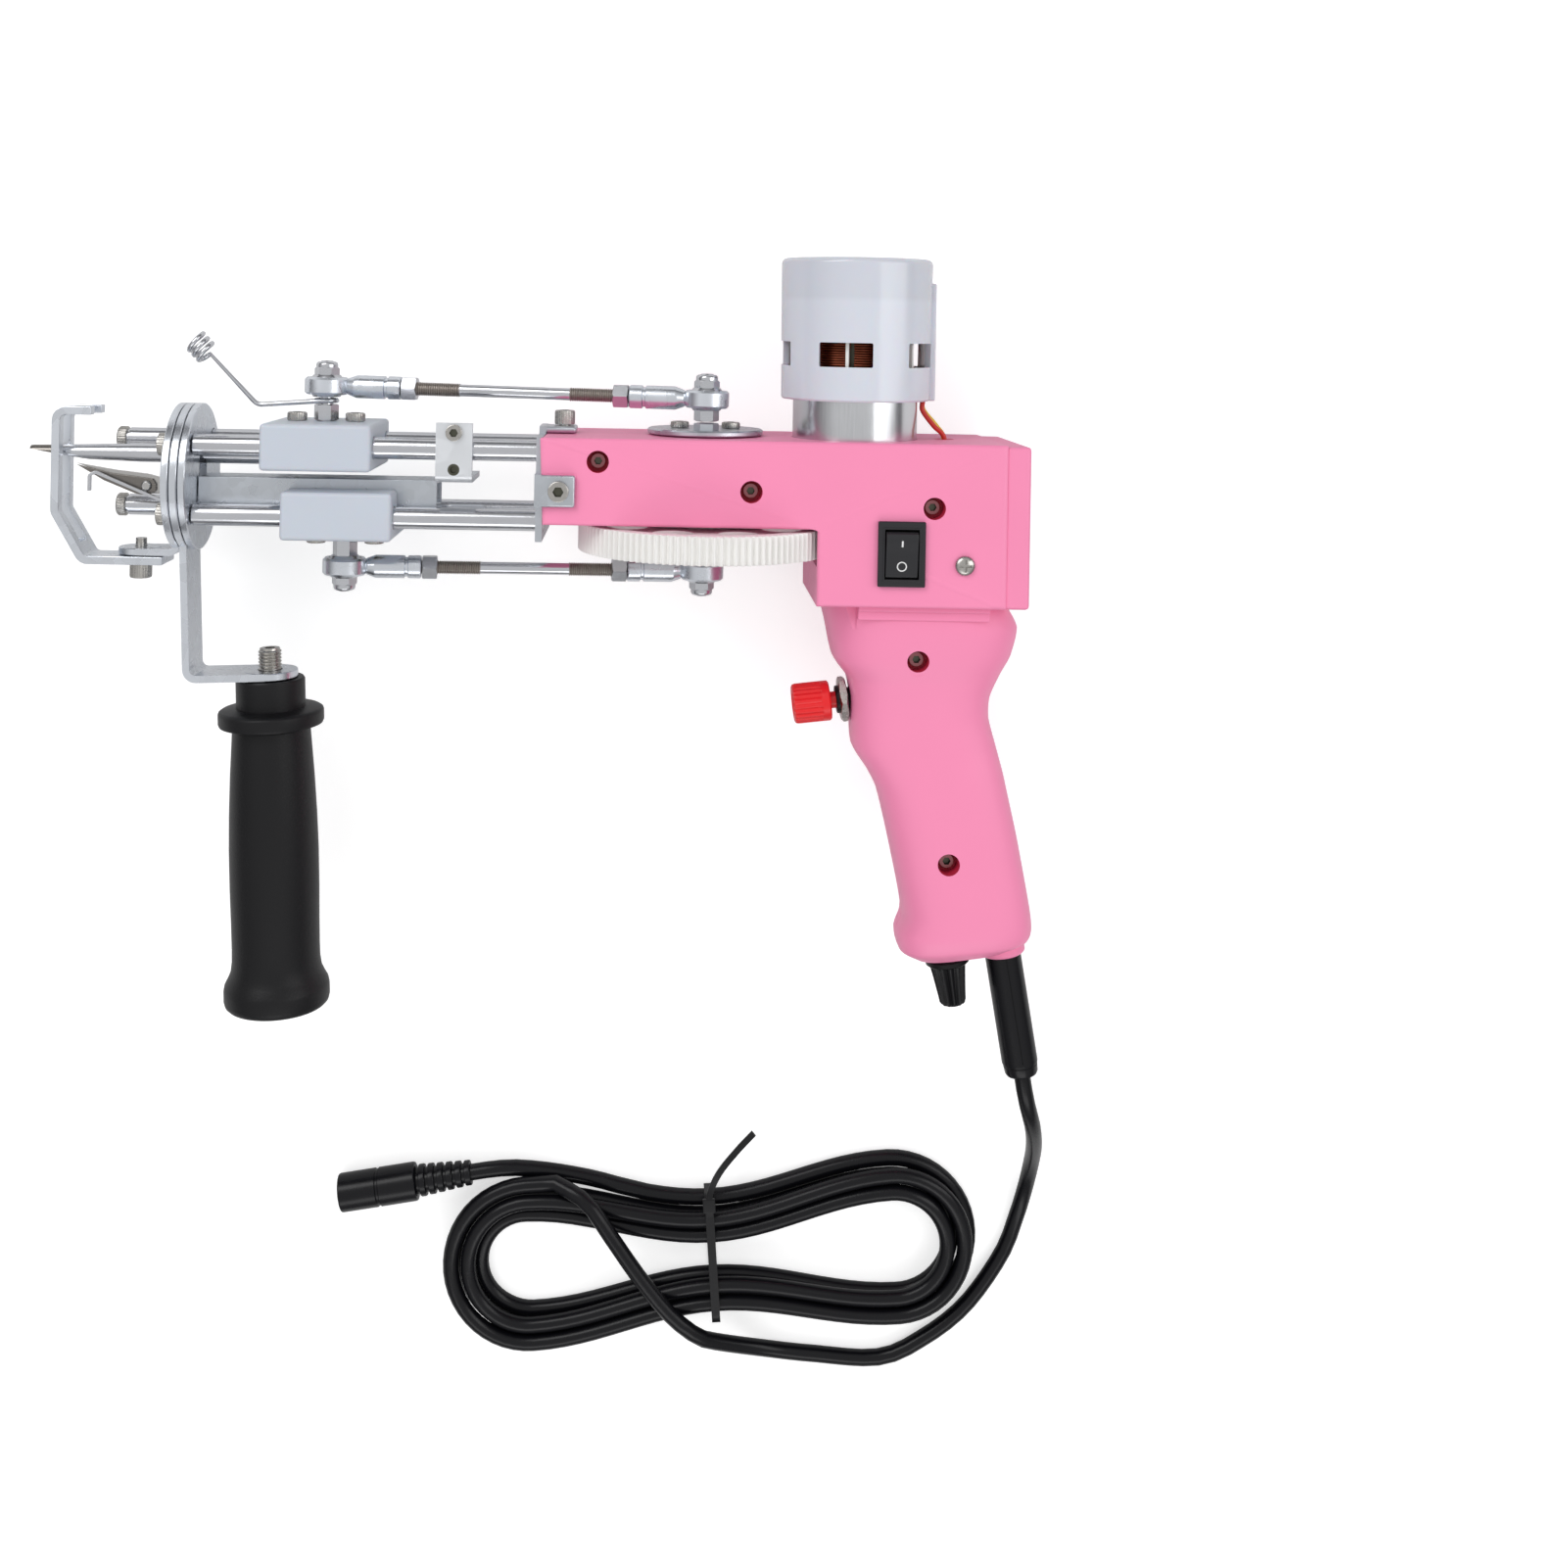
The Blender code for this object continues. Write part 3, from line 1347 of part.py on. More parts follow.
def plate_screws():
    """The two cap screws that hold the plates against the near guide rods."""
    seat = carrier_plate_x - plate_thickness / 2 - seat_gap
    length = plates_back_x - seat
    for level, y in (("upper", guide_upper_y), ("lower", guide_lower_y)):
        socket_screw("plate_screw_" + level, plate_screw_head_radius, plate_screw_head_height,
                     plate_screw_radius, seat, length, "x", (y, guide_spacing_z), -1)


def guide_rods():
    """Two near rods between the plates and the rear bracket, and two far ones that end in ringed posts."""
    near_front = plates_back_x + seat_gap
    post_front = carrier_plate_x - plate_thickness / 2 - post_length
    for level, y in (("upper", guide_upper_y), ("lower", guide_lower_y)):
        cylinder(f"guide_rod_{level}_near", guide_rod_radius, near_front, guide_back_x, "x",
                 (y, guide_spacing_z), steel, steps=small_steps)
        neck = guide_rod_radius - seat_gap * 2
        turned(
            f"guide_rod_{level}_far",
            [
                (0, guide_back_x),
                (guide_rod_radius, guide_back_x),
                (guide_rod_radius, post_front + post_ring_width * 1.3),
                (neck, post_front + post_ring_width * 1.3),
                (neck, post_front + post_ring_width),
                (post_ring_radius, post_front + post_ring_width),
                (post_ring_radius, post_front + post_ring_chamfer),
                (post_ring_radius - post_ring_chamfer, post_front),
                (0, post_front),
            ],
            "x", (y, -guide_spacing_z), steel, steps=small_steps,
        )


def rear_bracket():
    """The plate in front of the housing, folded back over it at the top and on both sides."""
    front = barrel_front_x - seat_gap - rear_bracket_thickness
    back = barrel_front_x - seat_gap
    reach = housing_half_width + seat_gap + rear_bracket_thickness
    top = housing_top_y + seat_gap + rear_bracket_thickness
    arm_low = rear_bracket_tab_y - rear_bracket_tab_width / 2
    arm_high = rear_bracket_tab_y + rear_bracket_tab_width / 2
    wide = rear_bracket_half_width
    narrow = rear_bracket_top_half_width
    right = [
        (wide, rear_bracket_bottom_y),
        (wide, arm_low),
        (reach, arm_low),
        (reach, arm_high),
        (wide, arm_high),
        (wide, housing_top_y),
        (narrow, housing_top_y),
        (narrow, top),
    ]
    outline = right + [(-x, y) for x, y in reversed(right)]
    holes = [
        circle(guide_rod_radius + seat_gap, small_steps, (z, y))
        for y in (guide_upper_y, guide_lower_y)
        for z in (-guide_spacing_z, guide_spacing_z)
    ]
    bracket = plate("rear_bracket", [outline, *holes], rear_bracket_thickness, "x", (0, 0),
                    (front + back) / 2, zinc_plate)
    folds = [
        box("rear_bracket_top", (front + fold_inset, top - rear_bracket_thickness, fold_inset - narrow),
            (barrel_front_x + rear_bracket_top_length, top - fold_inset, narrow - fold_inset), cutter=True)
    ]
    hole = cylinder("rear_bracket_top_hole", bracket_screw_radius + seat_gap, housing_top_y,
                    top + cut_overrun, "y", (bracket_top_screw_x, 0), cutter=True, steps=12)
    for side in (1, -1):
        tag = "near" if side > 0 else "far"
        folds.append(side_box(f"rear_bracket_{tag}", (front + fold_inset, arm_low + fold_inset),
                              (barrel_front_x + rear_bracket_tab_length, arm_high - fold_inset), side,
                              housing_half_width + seat_gap, reach - fold_inset))
    fuse(bracket, *folds, solver="MANIFOLD")
    cut(bracket, hole, solver="MANIFOLD")

    seat = reach - seat_gap
    length = bracket_screw_depth + rear_bracket_thickness
    socket_screw("bracket_screw", bracket_screw_head_radius, bracket_screw_head_height,
                 bracket_screw_radius, top + seat_gap, rear_bracket_thickness + housing_wall, "y",
                 (bracket_top_screw_x, 0), 1)
    side_screws = [
        socket_screw("bracket_screw_near", bracket_screw_head_radius, bracket_screw_head_height / 2,
                     bracket_screw_radius, seat, length, "z", (bracket_side_screw_x, rear_bracket_tab_y), 1,
                     cutter=True),
        socket_screw("bracket_screw_far", bracket_screw_head_radius, bracket_screw_head_height / 2,
                     bracket_screw_radius, -seat, length, "z", (bracket_side_screw_x, rear_bracket_tab_y),
                     -1, cutter=True),
    ]
    fuse(bracket, *side_screws, solver="MANIFOLD")


def guide_channel():
    """The channel that the blade bar slides in, and the angle that hangs it on the near upper rod."""
    channel = box(
        "guide_channel",
        (plates_back_x + channel_front_gap, channel_bottom_y, -channel_half_width),
        (channel_back_x, channel_top_y, channel_half_width), zinc_plate,
    )
    cut(channel, box(
        "guide_channel_hollow",
        (plates_back_x - cut_overrun, channel_bottom_y - cut_overrun, channel_wall - channel_half_width),
        (channel_back_x + cut_overrun, channel_top_y - channel_wall, channel_half_width - channel_wall),
        cutter=True,
    ))
    face_z = guide_spacing_z + guide_rod_radius + seat_gap + channel_bracket_thickness / 2
    flange_y = channel_top_y + seat_gap + channel_bracket_thickness / 2
    middle_x = channel_bracket_x + channel_bracket_width / 2
    angle = plate(
        "channel_bracket",
        [strip_outline(
            [(channel_half_width, flange_y), (-face_z, flange_y), (-face_z, channel_bracket_top_y)],
            channel_bracket_thickness, channel_bracket_thickness,
        )],
        channel_bracket_width, "x", (0, 0), middle_x, zinc_plate,
    )
    face = face_z + channel_bracket_thickness / 2
    hole_low = face - channel_bracket_thickness - cut_overrun
    cut(
        angle,
        cylinder("channel_bracket_hole", channel_bracket_hole_radius, hole_low, face + cut_overrun, "z",
                 (middle_x, channel_bracket_hole_y), cutter=True),
    )
    fuse(angle, socket_screw(
        "channel_screw", channel_bracket_screw_radius, channel_bracket_screw_height, housing_screw_radius,
        face - seat_gap, channel_bracket_thickness * 2, "z", (middle_x, channel_bracket_screw_y), 1,
        cutter=True,
    ))


def ball_stud(name, seat, ball_y, way, room, shank, place, carrier):
    """A ball between a hexagon spacer that stands on seat and a lock nut. Way is 1 up Y and -1 down it."""
    near, far = ball_y - way * ball_half_width, ball_y + way * ball_half_width
    nut_end = far + way * lock_nut_height
    face_radius = math.sqrt(ball_radius**2 - ball_half_width**2)
    profile = [
        (0, nut_end),
        (stud_radius, nut_end),
        (stud_radius, far),
        (face_radius, far),
        *[
            (math.sqrt(ball_radius**2 - (share * ball_half_width) ** 2), ball_y + way * share * ball_half_width)
            for share in (0.55, 0, -0.55)
        ],
        (face_radius, near),
        (stud_radius, near),
        (stud_radius, seat - way * shank),
        (0, seat - way * shank),
    ]
    if way < 0:
        profile = profile[::-1]
    stud = turned(name, profile, "y", place, steel, carrier, steps=small_steps)
    low, high = sorted((seat, near - way * room if room else near + way * seat_gap))
    spacer = hexagon(name + "_spacer", stud_spacer_radius, low, high, "y", place, carrier=carrier,
                     cutter=True)
    low, high = sorted((far - way * seat_gap, nut_end - way * seat_gap))
    nut = hexagon(name + "_nut", lock_nut_radius, low, high, "y", place, carrier=carrier, cutter=True)
    return fuse(stud, spacer, nut)


def rod_end(name, eye_x, way, carrier):
    """An eye with a round seat for the ball, and the threaded socket that takes the rod."""
    seat_radius = ball_radius + sliding_gap
    inner = [
        (math.sqrt(seat_radius**2 - (share * eye_half_thickness) ** 2), share * eye_half_thickness)
        for share in (-1, -0.4, 0.4, 1)
    ]
    rim = eye_radius - eye_chamfer
    eye_profile = [
        (rim, eye_half_thickness),
        (eye_radius, eye_half_thickness - eye_chamfer),
        (eye_radius, eye_chamfer - eye_half_thickness),
        (rim, -eye_half_thickness),
        *inner,
    ]
    eye = turned(name, eye_profile, "y", (eye_x, 0), zinc_plate, carrier, steps=20, ring=True)
    bore = rod_thread_radius + seat_gap
    floor = rod_end_length - rod_end_bore_depth
    start = (eye_radius + seat_radius) / 2
    profile = [
        (0, floor),
        (bore, floor),
        (bore, rod_end_length),
        (rod_end_body_radius, rod_end_length),
        (rod_end_body_radius, rod_end_body_start),
        (rod_end_neck_radius, eye_radius),
        (rod_end_neck_radius * 0.8, start),
        (0, start),
    ]
    profile = [(radius, eye_x + way * reach) for radius, reach in profile]
    if way < 0:
        profile = profile[::-1]
    socket = turned(name + "_socket", profile, "x", (0, 0), zinc_plate, carrier, cutter=True,
                    steps=12)
    return fuse(eye, socket)


def connecting_rod(name, length, carrier):
    """The rod between two rod ends, threaded at both ends, with its two jam nuts."""
    low = rod_end_length - rod_end_bore_depth + seat_gap
    high = length - low
    profile = [
        (0, high),
        (rod_thread_radius, high),
        (rod_thread_radius, high - rod_thread_length),
        (connecting_rod_radius, high - rod_thread_length),
        (connecting_rod_radius, low + rod_thread_length),
        (rod_thread_radius, low + rod_thread_length),
        (rod_thread_radius, low),
        (0, low),
    ]
    rod = turned(name, profile, "x", (0, 0), steel, carrier, steps=small_steps)
    nut_start = rod_end_length + seat_gap
    nuts = [
        hexagon(name + "_nut_front", jam_nut_radius, nut_start, nut_start + jam_nut_width, "x", (0, 0),
                carrier=carrier, cutter=True),
        hexagon(name + "_nut_back", jam_nut_radius, length - nut_start - jam_nut_width, length - nut_start,
                "x", (0, 0), carrier=carrier, cutter=True),
    ]
    return fuse(rod, *nuts)


def crank_linkage(prefix, length, pivot, crank_seat, seat, way):
    """One connecting rod with both ends, and the stud at its crank end."""
    rod_end(prefix + "_rod_end_front", 0, 1, pivot)
    rod_end(prefix + "_rod_end_crank", length, -1, pivot)
    connecting_rod(prefix + "_rod", length, pivot)
    ball_stud(prefix + "_crank_stud", seat, 0, way, 0, 0, (0, 0), crank_seat)


def slide_block(name, low_y, high_y, rod_y, carrier):
    """A nylon block bored for its two guide rods."""
    half = slide_length / 2
    block = box(name, (-half, low_y, -slide_half_width), (half, high_y, slide_half_width), clear_nylon,
                carrier, edge=slide_edge_radius)
    bores = [
        cylinder(f"{name}_bore_{z:.3f}", guide_rod_radius + sliding_gap, -half - cut_overrun,
                 half + cut_overrun, "x", (rod_y, z), carrier=carrier, cutter=True, steps=small_steps)
        for z in (-guide_spacing_z, guide_spacing_z)
    ]
    cut(block, *bores)
    return block


def slide_screws(name, block, face_y, way, carrier):
    """Two cap screws that stand on a face of a slide, sunk a little into it."""
    for x in (-slide_screw_spacing / 2, slide_screw_spacing / 2):
        fuse(block, socket_screw(
            f"{name}_{x:.4f}", slide_screw_head_radius, slide_screw_head_height, slide_screw_radius,
            face_y - way * seat_gap, slide_screw_depth, "y", (x, 0), way, carrier, True,
        ))


def stud_hole(name, block, face_y, way, carrier):
    low, high = sorted((face_y + way * cut_overrun, face_y - way * (stud_shank + seat_gap)))
    cut(block, cylinder(name, stud_radius + seat_gap, low, high, "y", (0, 0), carrier=carrier, cutter=True,
                        steps=12))


def needle_carriage_pieces():
    """The upper slide with its stud, the needle in its holder and the yarn guide."""
    carrier = needle_carriage
    block = slide_block("needle_slide", needle_slide_bottom_y, needle_slide_top_y, guide_upper_y, carrier)
    slide_screws("needle_slide_screws", block, needle_slide_top_y, 1, carrier)
    stud_hole("needle_stud_hole", block, needle_slide_top_y, 1, carrier)
    ball_stud("needle_slide_stud", needle_slide_top_y + seat_gap, needle_ball_y, 1, yarn_ring_room,
              stud_shank, (0, 0), carrier)

    front = -slide_length / 2 - needle_holder_reach
    end = front + needle_holder_length
    wide = needle_holder_half_width
    bore = needle_back_radius + seat_gap
    cut(block, box(
        "needle_holder_pocket",
        (front - cut_overrun, needle_slide_bottom_y - cut_overrun, -wide - seat_gap),
        (end + seat_gap, needle_holder_top_y + seat_gap, wide + seat_gap), carrier=carrier, cutter=True,
    ))
    holder = box("needle_holder", (front, needle_slide_bottom_y, -wide), (end, needle_holder_top_y, wide),
                 steel, carrier)
    cut(
        holder,
        cylinder("needle_holder_bore", bore, front - cut_overrun, end + cut_overrun, "x", (needle_y, 0),
                 carrier=carrier, cutter=True),
        box("needle_holder_throat", (front - cut_overrun, needle_slide_bottom_y - cut_overrun, -bore),
            (end + cut_overrun, needle_y, bore), carrier=carrier, cutter=True),
    )

    back = end - needle_holder_reach
    tip = needle_tip_x - needle_ball_x
    needle = turned(
        "needle",
        [
            (needle_back_radius, back),
            (needle_back_radius, tip + needle_taper_length),
            (needle_front_radius, tip),
            (needle_front_radius - needle_wall, tip),
            (needle_back_radius - needle_wall, tip + needle_taper_length),
            (needle_back_radius - needle_wall, back),
        ],
        "x", (needle_y, 0), steel, carrier, ring=True, steps=20,
    )
    under = needle_y - needle_back_radius * 2
    mouth = plate(
        "needle_mouth",
        [[
            (tip - cut_overrun, under),
            (tip + needle_mouth_length, under),
            (tip + needle_mouth_length, needle_y - needle_back_radius),
            (tip - cut_overrun, needle_y + needle_front_radius * 0.6),
        ]],
        needle_back_radius * 4, "z", (0, 0), 0, steel, carrier, cutter=True,
    )
    cut(needle, mouth)
    yarn_guide(carrier)


def yarn_guide(carrier):
    """A wire that loops round the stud, runs forward and up, and ends in an eyelet of three turns."""
    ring_y = needle_ball_y - ball_half_width - yarn_ring_room / 2
    ring_radius = stud_radius + sliding_gap + yarn_wire_radius
    points = []
    ring_steps = 8
    for i in range(ring_steps + 1):
        angle = yarn_ring_turn * (1 - i / ring_steps)
        points.append(Vector((ring_radius * math.sin(angle), ring_y, ring_radius * math.cos(angle))))
    bend = Vector((yarn_bend_x - needle_ball_x, yarn_bend_y, ring_radius))
    eyelet = Vector((yarn_eyelet_x - needle_ball_x, yarn_eyelet_y, ring_radius))
    path = rounded_path([points[-1].xy, bend.xy, eyelet.xy], yarn_bend_radius)
    points += [Vector((*place, ring_radius)) for place in path[1:]]
    ahead = (eyelet - bend).normalized()
    across = Vector((-ahead.y, ahead.x, 0))
    out = ahead.cross(across)
    steps = 8
    for i in range(1, steps * yarn_eyelet_turns + 1):
        angle = 2 * math.pi * i / steps
        points.append(
            eyelet
            + ahead * (yarn_eyelet_pitch * i / steps)
            + across * (yarn_eyelet_radius * math.sin(angle))
            + out * (yarn_eyelet_radius * (1 - math.cos(angle)))
        )
    tube("yarn_guide", points, yarn_wire_radius, steel, carrier, sides=1)


def blade_carriage_pieces():
    """The lower slide with its stud, the blade bar in the channel, the scissors and the loop hook."""
    carrier = blade_carriage
    block = slide_block("blade_slide", blade_slide_bottom_y, blade_slide_top_y, guide_lower_y, carrier)
    slide_screws("blade_slide_screws", block, blade_slide_bottom_y, -1, carrier)
    stud_hole("blade_stud_hole", block, blade_slide_bottom_y, -1, carrier)
    ball_stud("blade_slide_stud", blade_slide_bottom_y - seat_gap, blade_ball_y, -1, 0, stud_shank, (0, 0),
              carrier)

    bar_top = channel_top_y - channel_wall - sliding_gap
    bar_low = bar_top - blade_bar_height
    half = slide_length / 2
    wide = channel_half_width + sliding_gap
    tongue_top = bar_low - seat_gap
    groove = box("blade_slide_groove", (-half - cut_overrun, tongue_top, -wide),
                 (half + cut_overrun, blade_slide_top_y + cut_overrun, wide), carrier=carrier, cutter=True)
    cut(block, groove)
    for side in (1, -1):
        z_low, z_high = sorted((side * blade_bar_half_width, side * wide))
        cut(block, box(
            f"blade_slide_slot_{side}",
            (-half - cut_overrun, channel_bottom_y - sliding_gap, z_low),
            (half + cut_overrun, tongue_top + cut_overrun, z_high), carrier=carrier, cutter=True,
        ))
    front = blade_bar_front_x - blade_ball_x
    bar = box("blade_bar", (front, bar_low, -blade_bar_half_width), (half, bar_top, blade_bar_half_width),
              steel, carrier)
    slot_half = scissor_thickness + seat_gap * 1.5
    cut(bar, box("blade_bar_slot", (front - cut_overrun, bar_low - cut_overrun, -slot_half),
                 (front + scissor_grip + seat_gap, bar_top + cut_overrun, seat_gap),
                 carrier=carrier, cutter=True))

    fixed_z = -(scissor_thickness + seat_gap) / 2
    place = (scissor_pivot_x - blade_ball_x, scissor_pivot_y)
    fixed = plate("fixed_blade", [blade_outline(fixed_blade_shares)], scissor_thickness, "z", place,
                  fixed_z, dark_steel, carrier)
    head = scissor_thickness + seat_gap * 1.5
    pin = turned(
        "scissor_rivet",
        [
            (0, head + scissor_rivet_height),
            (scissor_rivet_radius * 0.7, head + scissor_rivet_height),
            (scissor_rivet_radius, head),
            (scissor_rivet_radius / 2, head),
            (scissor_rivet_radius / 2, fixed_z),
            (0, fixed_z),
        ],
        "z", place, steel, carrier, cutter=True, steps=12,
    )
    fuse(fixed, pin)
    plate("moving_blade",
          [blade_outline(moving_blade_shares), circle(scissor_rivet_radius / 2 + sliding_gap, 12)],
          scissor_thickness, "z", (0, 0), -fixed_z, dark_steel, scissor_pivot)

    strip_y = bar_low - seat_gap - hook_thickness / 2
    back_x = front + hook_grip
    hook_front = hook_tip_x - blade_ball_x
    plate(
        "loop_hook",
        [strip_outline(
            [
                (back_x, strip_y),
                (front, strip_y),
                (hook_start_x - blade_ball_x, hook_start_y),
                (hook_front, hook_tip_y),
                (hook_front - hook_tip_reach, hook_tip_y - hook_tip_reach / 2),
                (hook_front - hook_tip_reach, hook_tip_y - hook_tip_drop),
            ],
            hook_thickness, hook_bend_radius,
        )],
        hook_width, "z", (0, 0), hook_z, zinc_plate, carrier,
    )


def blade_outline(shares):
    """A scissor blade round its pivot, from (forward, up) shares of its reach and heel width."""
    return [(-forward * scissor_reach, up * scissor_heel_width) for forward, up in shares]


def presser_foot():
    """A folded bar with a slot for the needle, hooked at the top and screwed under its carrier."""
    foot = plate(
        "presser_foot",
        [strip_outline(
            [
                (foot_front_x + foot_hook_length, foot_hook_y),
                (foot_front_x, foot_hook_y),
                (foot_front_x, foot_bend_y),
                (foot_sole_start_x, foot_sole_y),
                (foot_sole_end_x, foot_sole_y),
            ],
            foot_bar_thickness, foot_bend_radius,
        )],
        foot_half_width * 2, "z", (0, 0), 0, zinc_plate,
    )
    slot = box(
        "presser_foot_slot",
        (foot_front_x - foot_bar_thickness, foot_sole_y + foot_bar_thickness * 2, -foot_gap_half_width),
        (foot_front_x + foot_hook_length * 2, foot_hook_y + foot_bar_thickness, foot_gap_half_width),
        cutter=True,
    )
    hole = cylinder("presser_foot_hole", foot_screw_radius + seat_gap, foot_sole_y - foot_bar_thickness,
                    foot_sole_y + foot_bar_thickness, "y", (foot_screw_x, 0), cutter=True, steps=12)
    cut(foot, slot, hole)
    seat = foot_sole_y - foot_bar_thickness / 2 - seat_gap
    socket_screw("presser_screw", foot_screw_head_radius, foot_screw_head_height, foot_screw_radius, seat,
                 foot_bar_thickness + plate_thickness + foot_screw_rise, "y", (foot_screw_x, 0), -1)


def front_handle():
    """The side handle, turned with its threaded stud on the lean of its bracket."""
    top = -handle_bracket_thickness / 2 - seat_gap
    stud_top = handle_bracket_thickness / 2 + handle_stud_rise
    profile = [(0, stud_top), (handle_stud_radius, stud_top), (handle_stud_radius, top)]
    profile += [
        (handle_radius * radius_share, top - handle_length * down_share)
        for down_share, radius_share in handle_shares
    ]
    turned("front_handle", profile, "y", (0, 0), black_rubber, handle_axis, steps=22)


def rocker_switch():
    """The bezel with its body in the housing, and the rocker that tips in it."""
    gap = rocker_frame
    low_z = housing_half_width + seat_gap
    high_z = low_z + rocker_bezel_thickness
    half_w, half_h = rocker_bezel_width / 2, rocker_bezel_height / 2
    body_w, body_h = rocker_body_half_width - seat_gap, rocker_body_half_height - seat_gap
    bezel = box("rocker_bezel", (rocker_x - half_w, rocker_y - half_h, low_z),
                (rocker_x + half_w, rocker_y + half_h, high_z), black_plastic, edge=rocker_frame / 2)
    body = box("rocker_body", (rocker_x - body_w, rocker_y - body_h, housing_half_width - rocker_depth),
               (rocker_x + body_w, rocker_y + body_h, low_z + rocker_bezel_thickness / 2), cutter=True)
    well_w, well_h = rocker_width / 2 + gap / 2, rocker_height / 2 + gap / 2
    well = box("rocker_well", (rocker_x - well_w, rocker_y - well_h, housing_half_width - rocker_depth / 2),
               (rocker_x + well_w, rocker_y + well_h, high_z + cut_overrun), cutter=True)
    fuse(bezel, body)
    cut(bezel, well)
    half = rocker_height / 2
    depth = rocker_depth / 4
    outline = [
        (-half * 0.98, rocker_low_end),
        (-half * 0.98, -depth * 0.2),
        (0, -depth),
        (half * 0.94, -depth * 0.2),
        (half * 0.94, rocker_high_end * 0.6),
        (half * 0.66, rocker_high_end),
        (0, rocker_middle_rise),
    ]
    rocker = plate("rocker", [[(y, z) for y, z in outline]], rocker_width, "z", (0, 0), 0,
                   black_plastic, rocker_pivot)
    rocker.data.transform(Matrix(((0, 0, 1, 0), (1, 0, 0, 0), (0, 1, 0, 0), (0, 0, 0, 1))))


def trigger_button():
    """A push button on the grip's front: cap and stem slide in a threaded bush with its nut."""
    cap_back = trigger_cap_length / 2
    edge = trigger_cap_edge
    turned(
        "trigger_button",
        [
            (0, cap_back + trigger_travel * 2 + trigger_bush_collar),
            (trigger_stem_radius, cap_back + trigger_travel * 2 + trigger_bush_collar),
            (trigger_stem_radius, cap_back),
            (trigger_cap_radius - edge, cap_back),
            (trigger_cap_radius, cap_back - edge),
            (trigger_cap_radius, edge - cap_back),
            (trigger_cap_radius - edge, -cap_back),
            (0, -cap_back),
        ],
        "x", (0, 0), red_plastic, trigger_axis, steps=20,
    )
    bush_start = cap_back + trigger_travel + seat_gap
    nut_back = trigger_wall_reach - seat_gap
    bore = trigger_stem_radius + sliding_gap
    body_start = trigger_wall_reach + grip_wall * 1.6
    bore_end = body_start + trigger_travel
    bush = turned(
        "trigger_bush",
        [
            (0, bore_end),
            (bore, bore_end),
            (bore, bush_start),
            (trigger_bush_radius, bush_start),
            (trigger_bush_radius, bush_start + trigger_bush_collar),
            (trigger_thread_radius, bush_start + trigger_bush_collar),
            (trigger_thread_radius, body_start),
            (trigger_body_radius, body_start),
            (trigger_body_radius, body_start + trigger_body_length),
            (0, body_start + trigger_body_length),
        ][::-1],
        "x", (0, 0), black_plastic, trigger_seat, steps=20,
    )
    nut = hexagon("trigger_nut", trigger_nut_radius, nut_back - trigger_nut_width, nut_back, "x", (0, 0),
                  carrier=trigger_seat, cutter=True)
    cut(nut, cylinder("trigger_nut_bore", trigger_thread_radius - seat_gap,
                      nut_back - trigger_nut_width - cut_overrun, nut_back + cut_overrun, "x", (0, 0),
                      carrier=trigger_seat, cutter=True))
    fuse(bush, nut)


def speed_control():
    """A potentiometer inside the end of the grip, with its nut outside and a fluted knob on its shaft."""
    body_low = grip_wall + seat_gap
    shaft_bore = speed_shaft_radius + sliding_gap
    nut_low = -seat_gap - speed_nut_width
    bush_low = nut_low - seat_gap
    control = turned(
        "speed_control",
        [
            (0, body_low + speed_body_length),
            (speed_body_radius, body_low + speed_body_length),
            (speed_body_radius, body_low),
            (speed_bush_radius, body_low),
            (speed_bush_radius, bush_low),
            (shaft_bore, bush_low),
            (shaft_bore, body_low + speed_body_length / 2),
            (0, body_low + speed_body_length / 2),
        ],
        "y", (0, 0), steel, speed_seat, steps=20,
    )
    nut = hexagon("speed_nut", speed_nut_radius, nut_low, -seat_gap, "y", (0, 0), carrier=speed_seat,
                  cutter=True)
    cut(nut, cylinder("speed_nut_bore", speed_bush_radius - seat_gap, nut_low - cut_overrun, cut_overrun,
                      "y", (0, 0), carrier=speed_seat, cutter=True))
    fuse(control, nut)

    knob_top = bush_low - speed_knob_lift
    flange_low = knob_top - speed_knob_flange_width
    knob_low = flange_low - speed_knob_length
    bm = bmesh.new()
    matrix = axis_matrix("y", (0, 0), (flange_low + knob_low) / 2)
    bmesh.ops.create_cone(
        bm, cap_ends=True, segments=speed_knob_flutes * 2, radius1=speed_knob_tip_radius,
        radius2=speed_knob_radius, depth=speed_knob_length + seat_gap, matrix=matrix,
    )
    for vert in bm.verts:
        turn = math.atan2(vert.co.z, vert.co.x) / math.pi * speed_knob_flutes
        if round(turn) % 2:
            vert.co.x *= 1 - speed_knob_flute_share
            vert.co.z *= 1 - speed_knob_flute_share
    knob = mesh_object("speed_knob", bm, black_plastic, knob_axis, smooth=False)
    flange = turned(
        "speed_knob_flange",
        [
            (0, body_low + speed_body_length / 4),
            (speed_shaft_radius, body_low + speed_body_length / 4),
            (speed_shaft_radius, knob_top),
            (speed_knob_flange_radius, knob_top),
            (speed_knob_flange_radius, flange_low),
            (0, flange_low),
        ],
        "y", (0, 0), black_plastic, knob_axis, cutter=True, steps=24,
    )
    fuse(knob, flange)


def strain_relief():
    """The sleeve that holds the cord where it leaves the grip."""
    edge = relief_radius - relief_tip_radius
    turned(
        "strain_relief",
        [
            (0, relief_seat_depth),
            (relief_radius, relief_seat_depth),
            (relief_radius, edge - relief_length),
            (relief_tip_radius, -relief_length),
            (0, -relief_length),
        ],
        "y", (0, 0), black_rubber, outlet_axis, steps=24,
    )


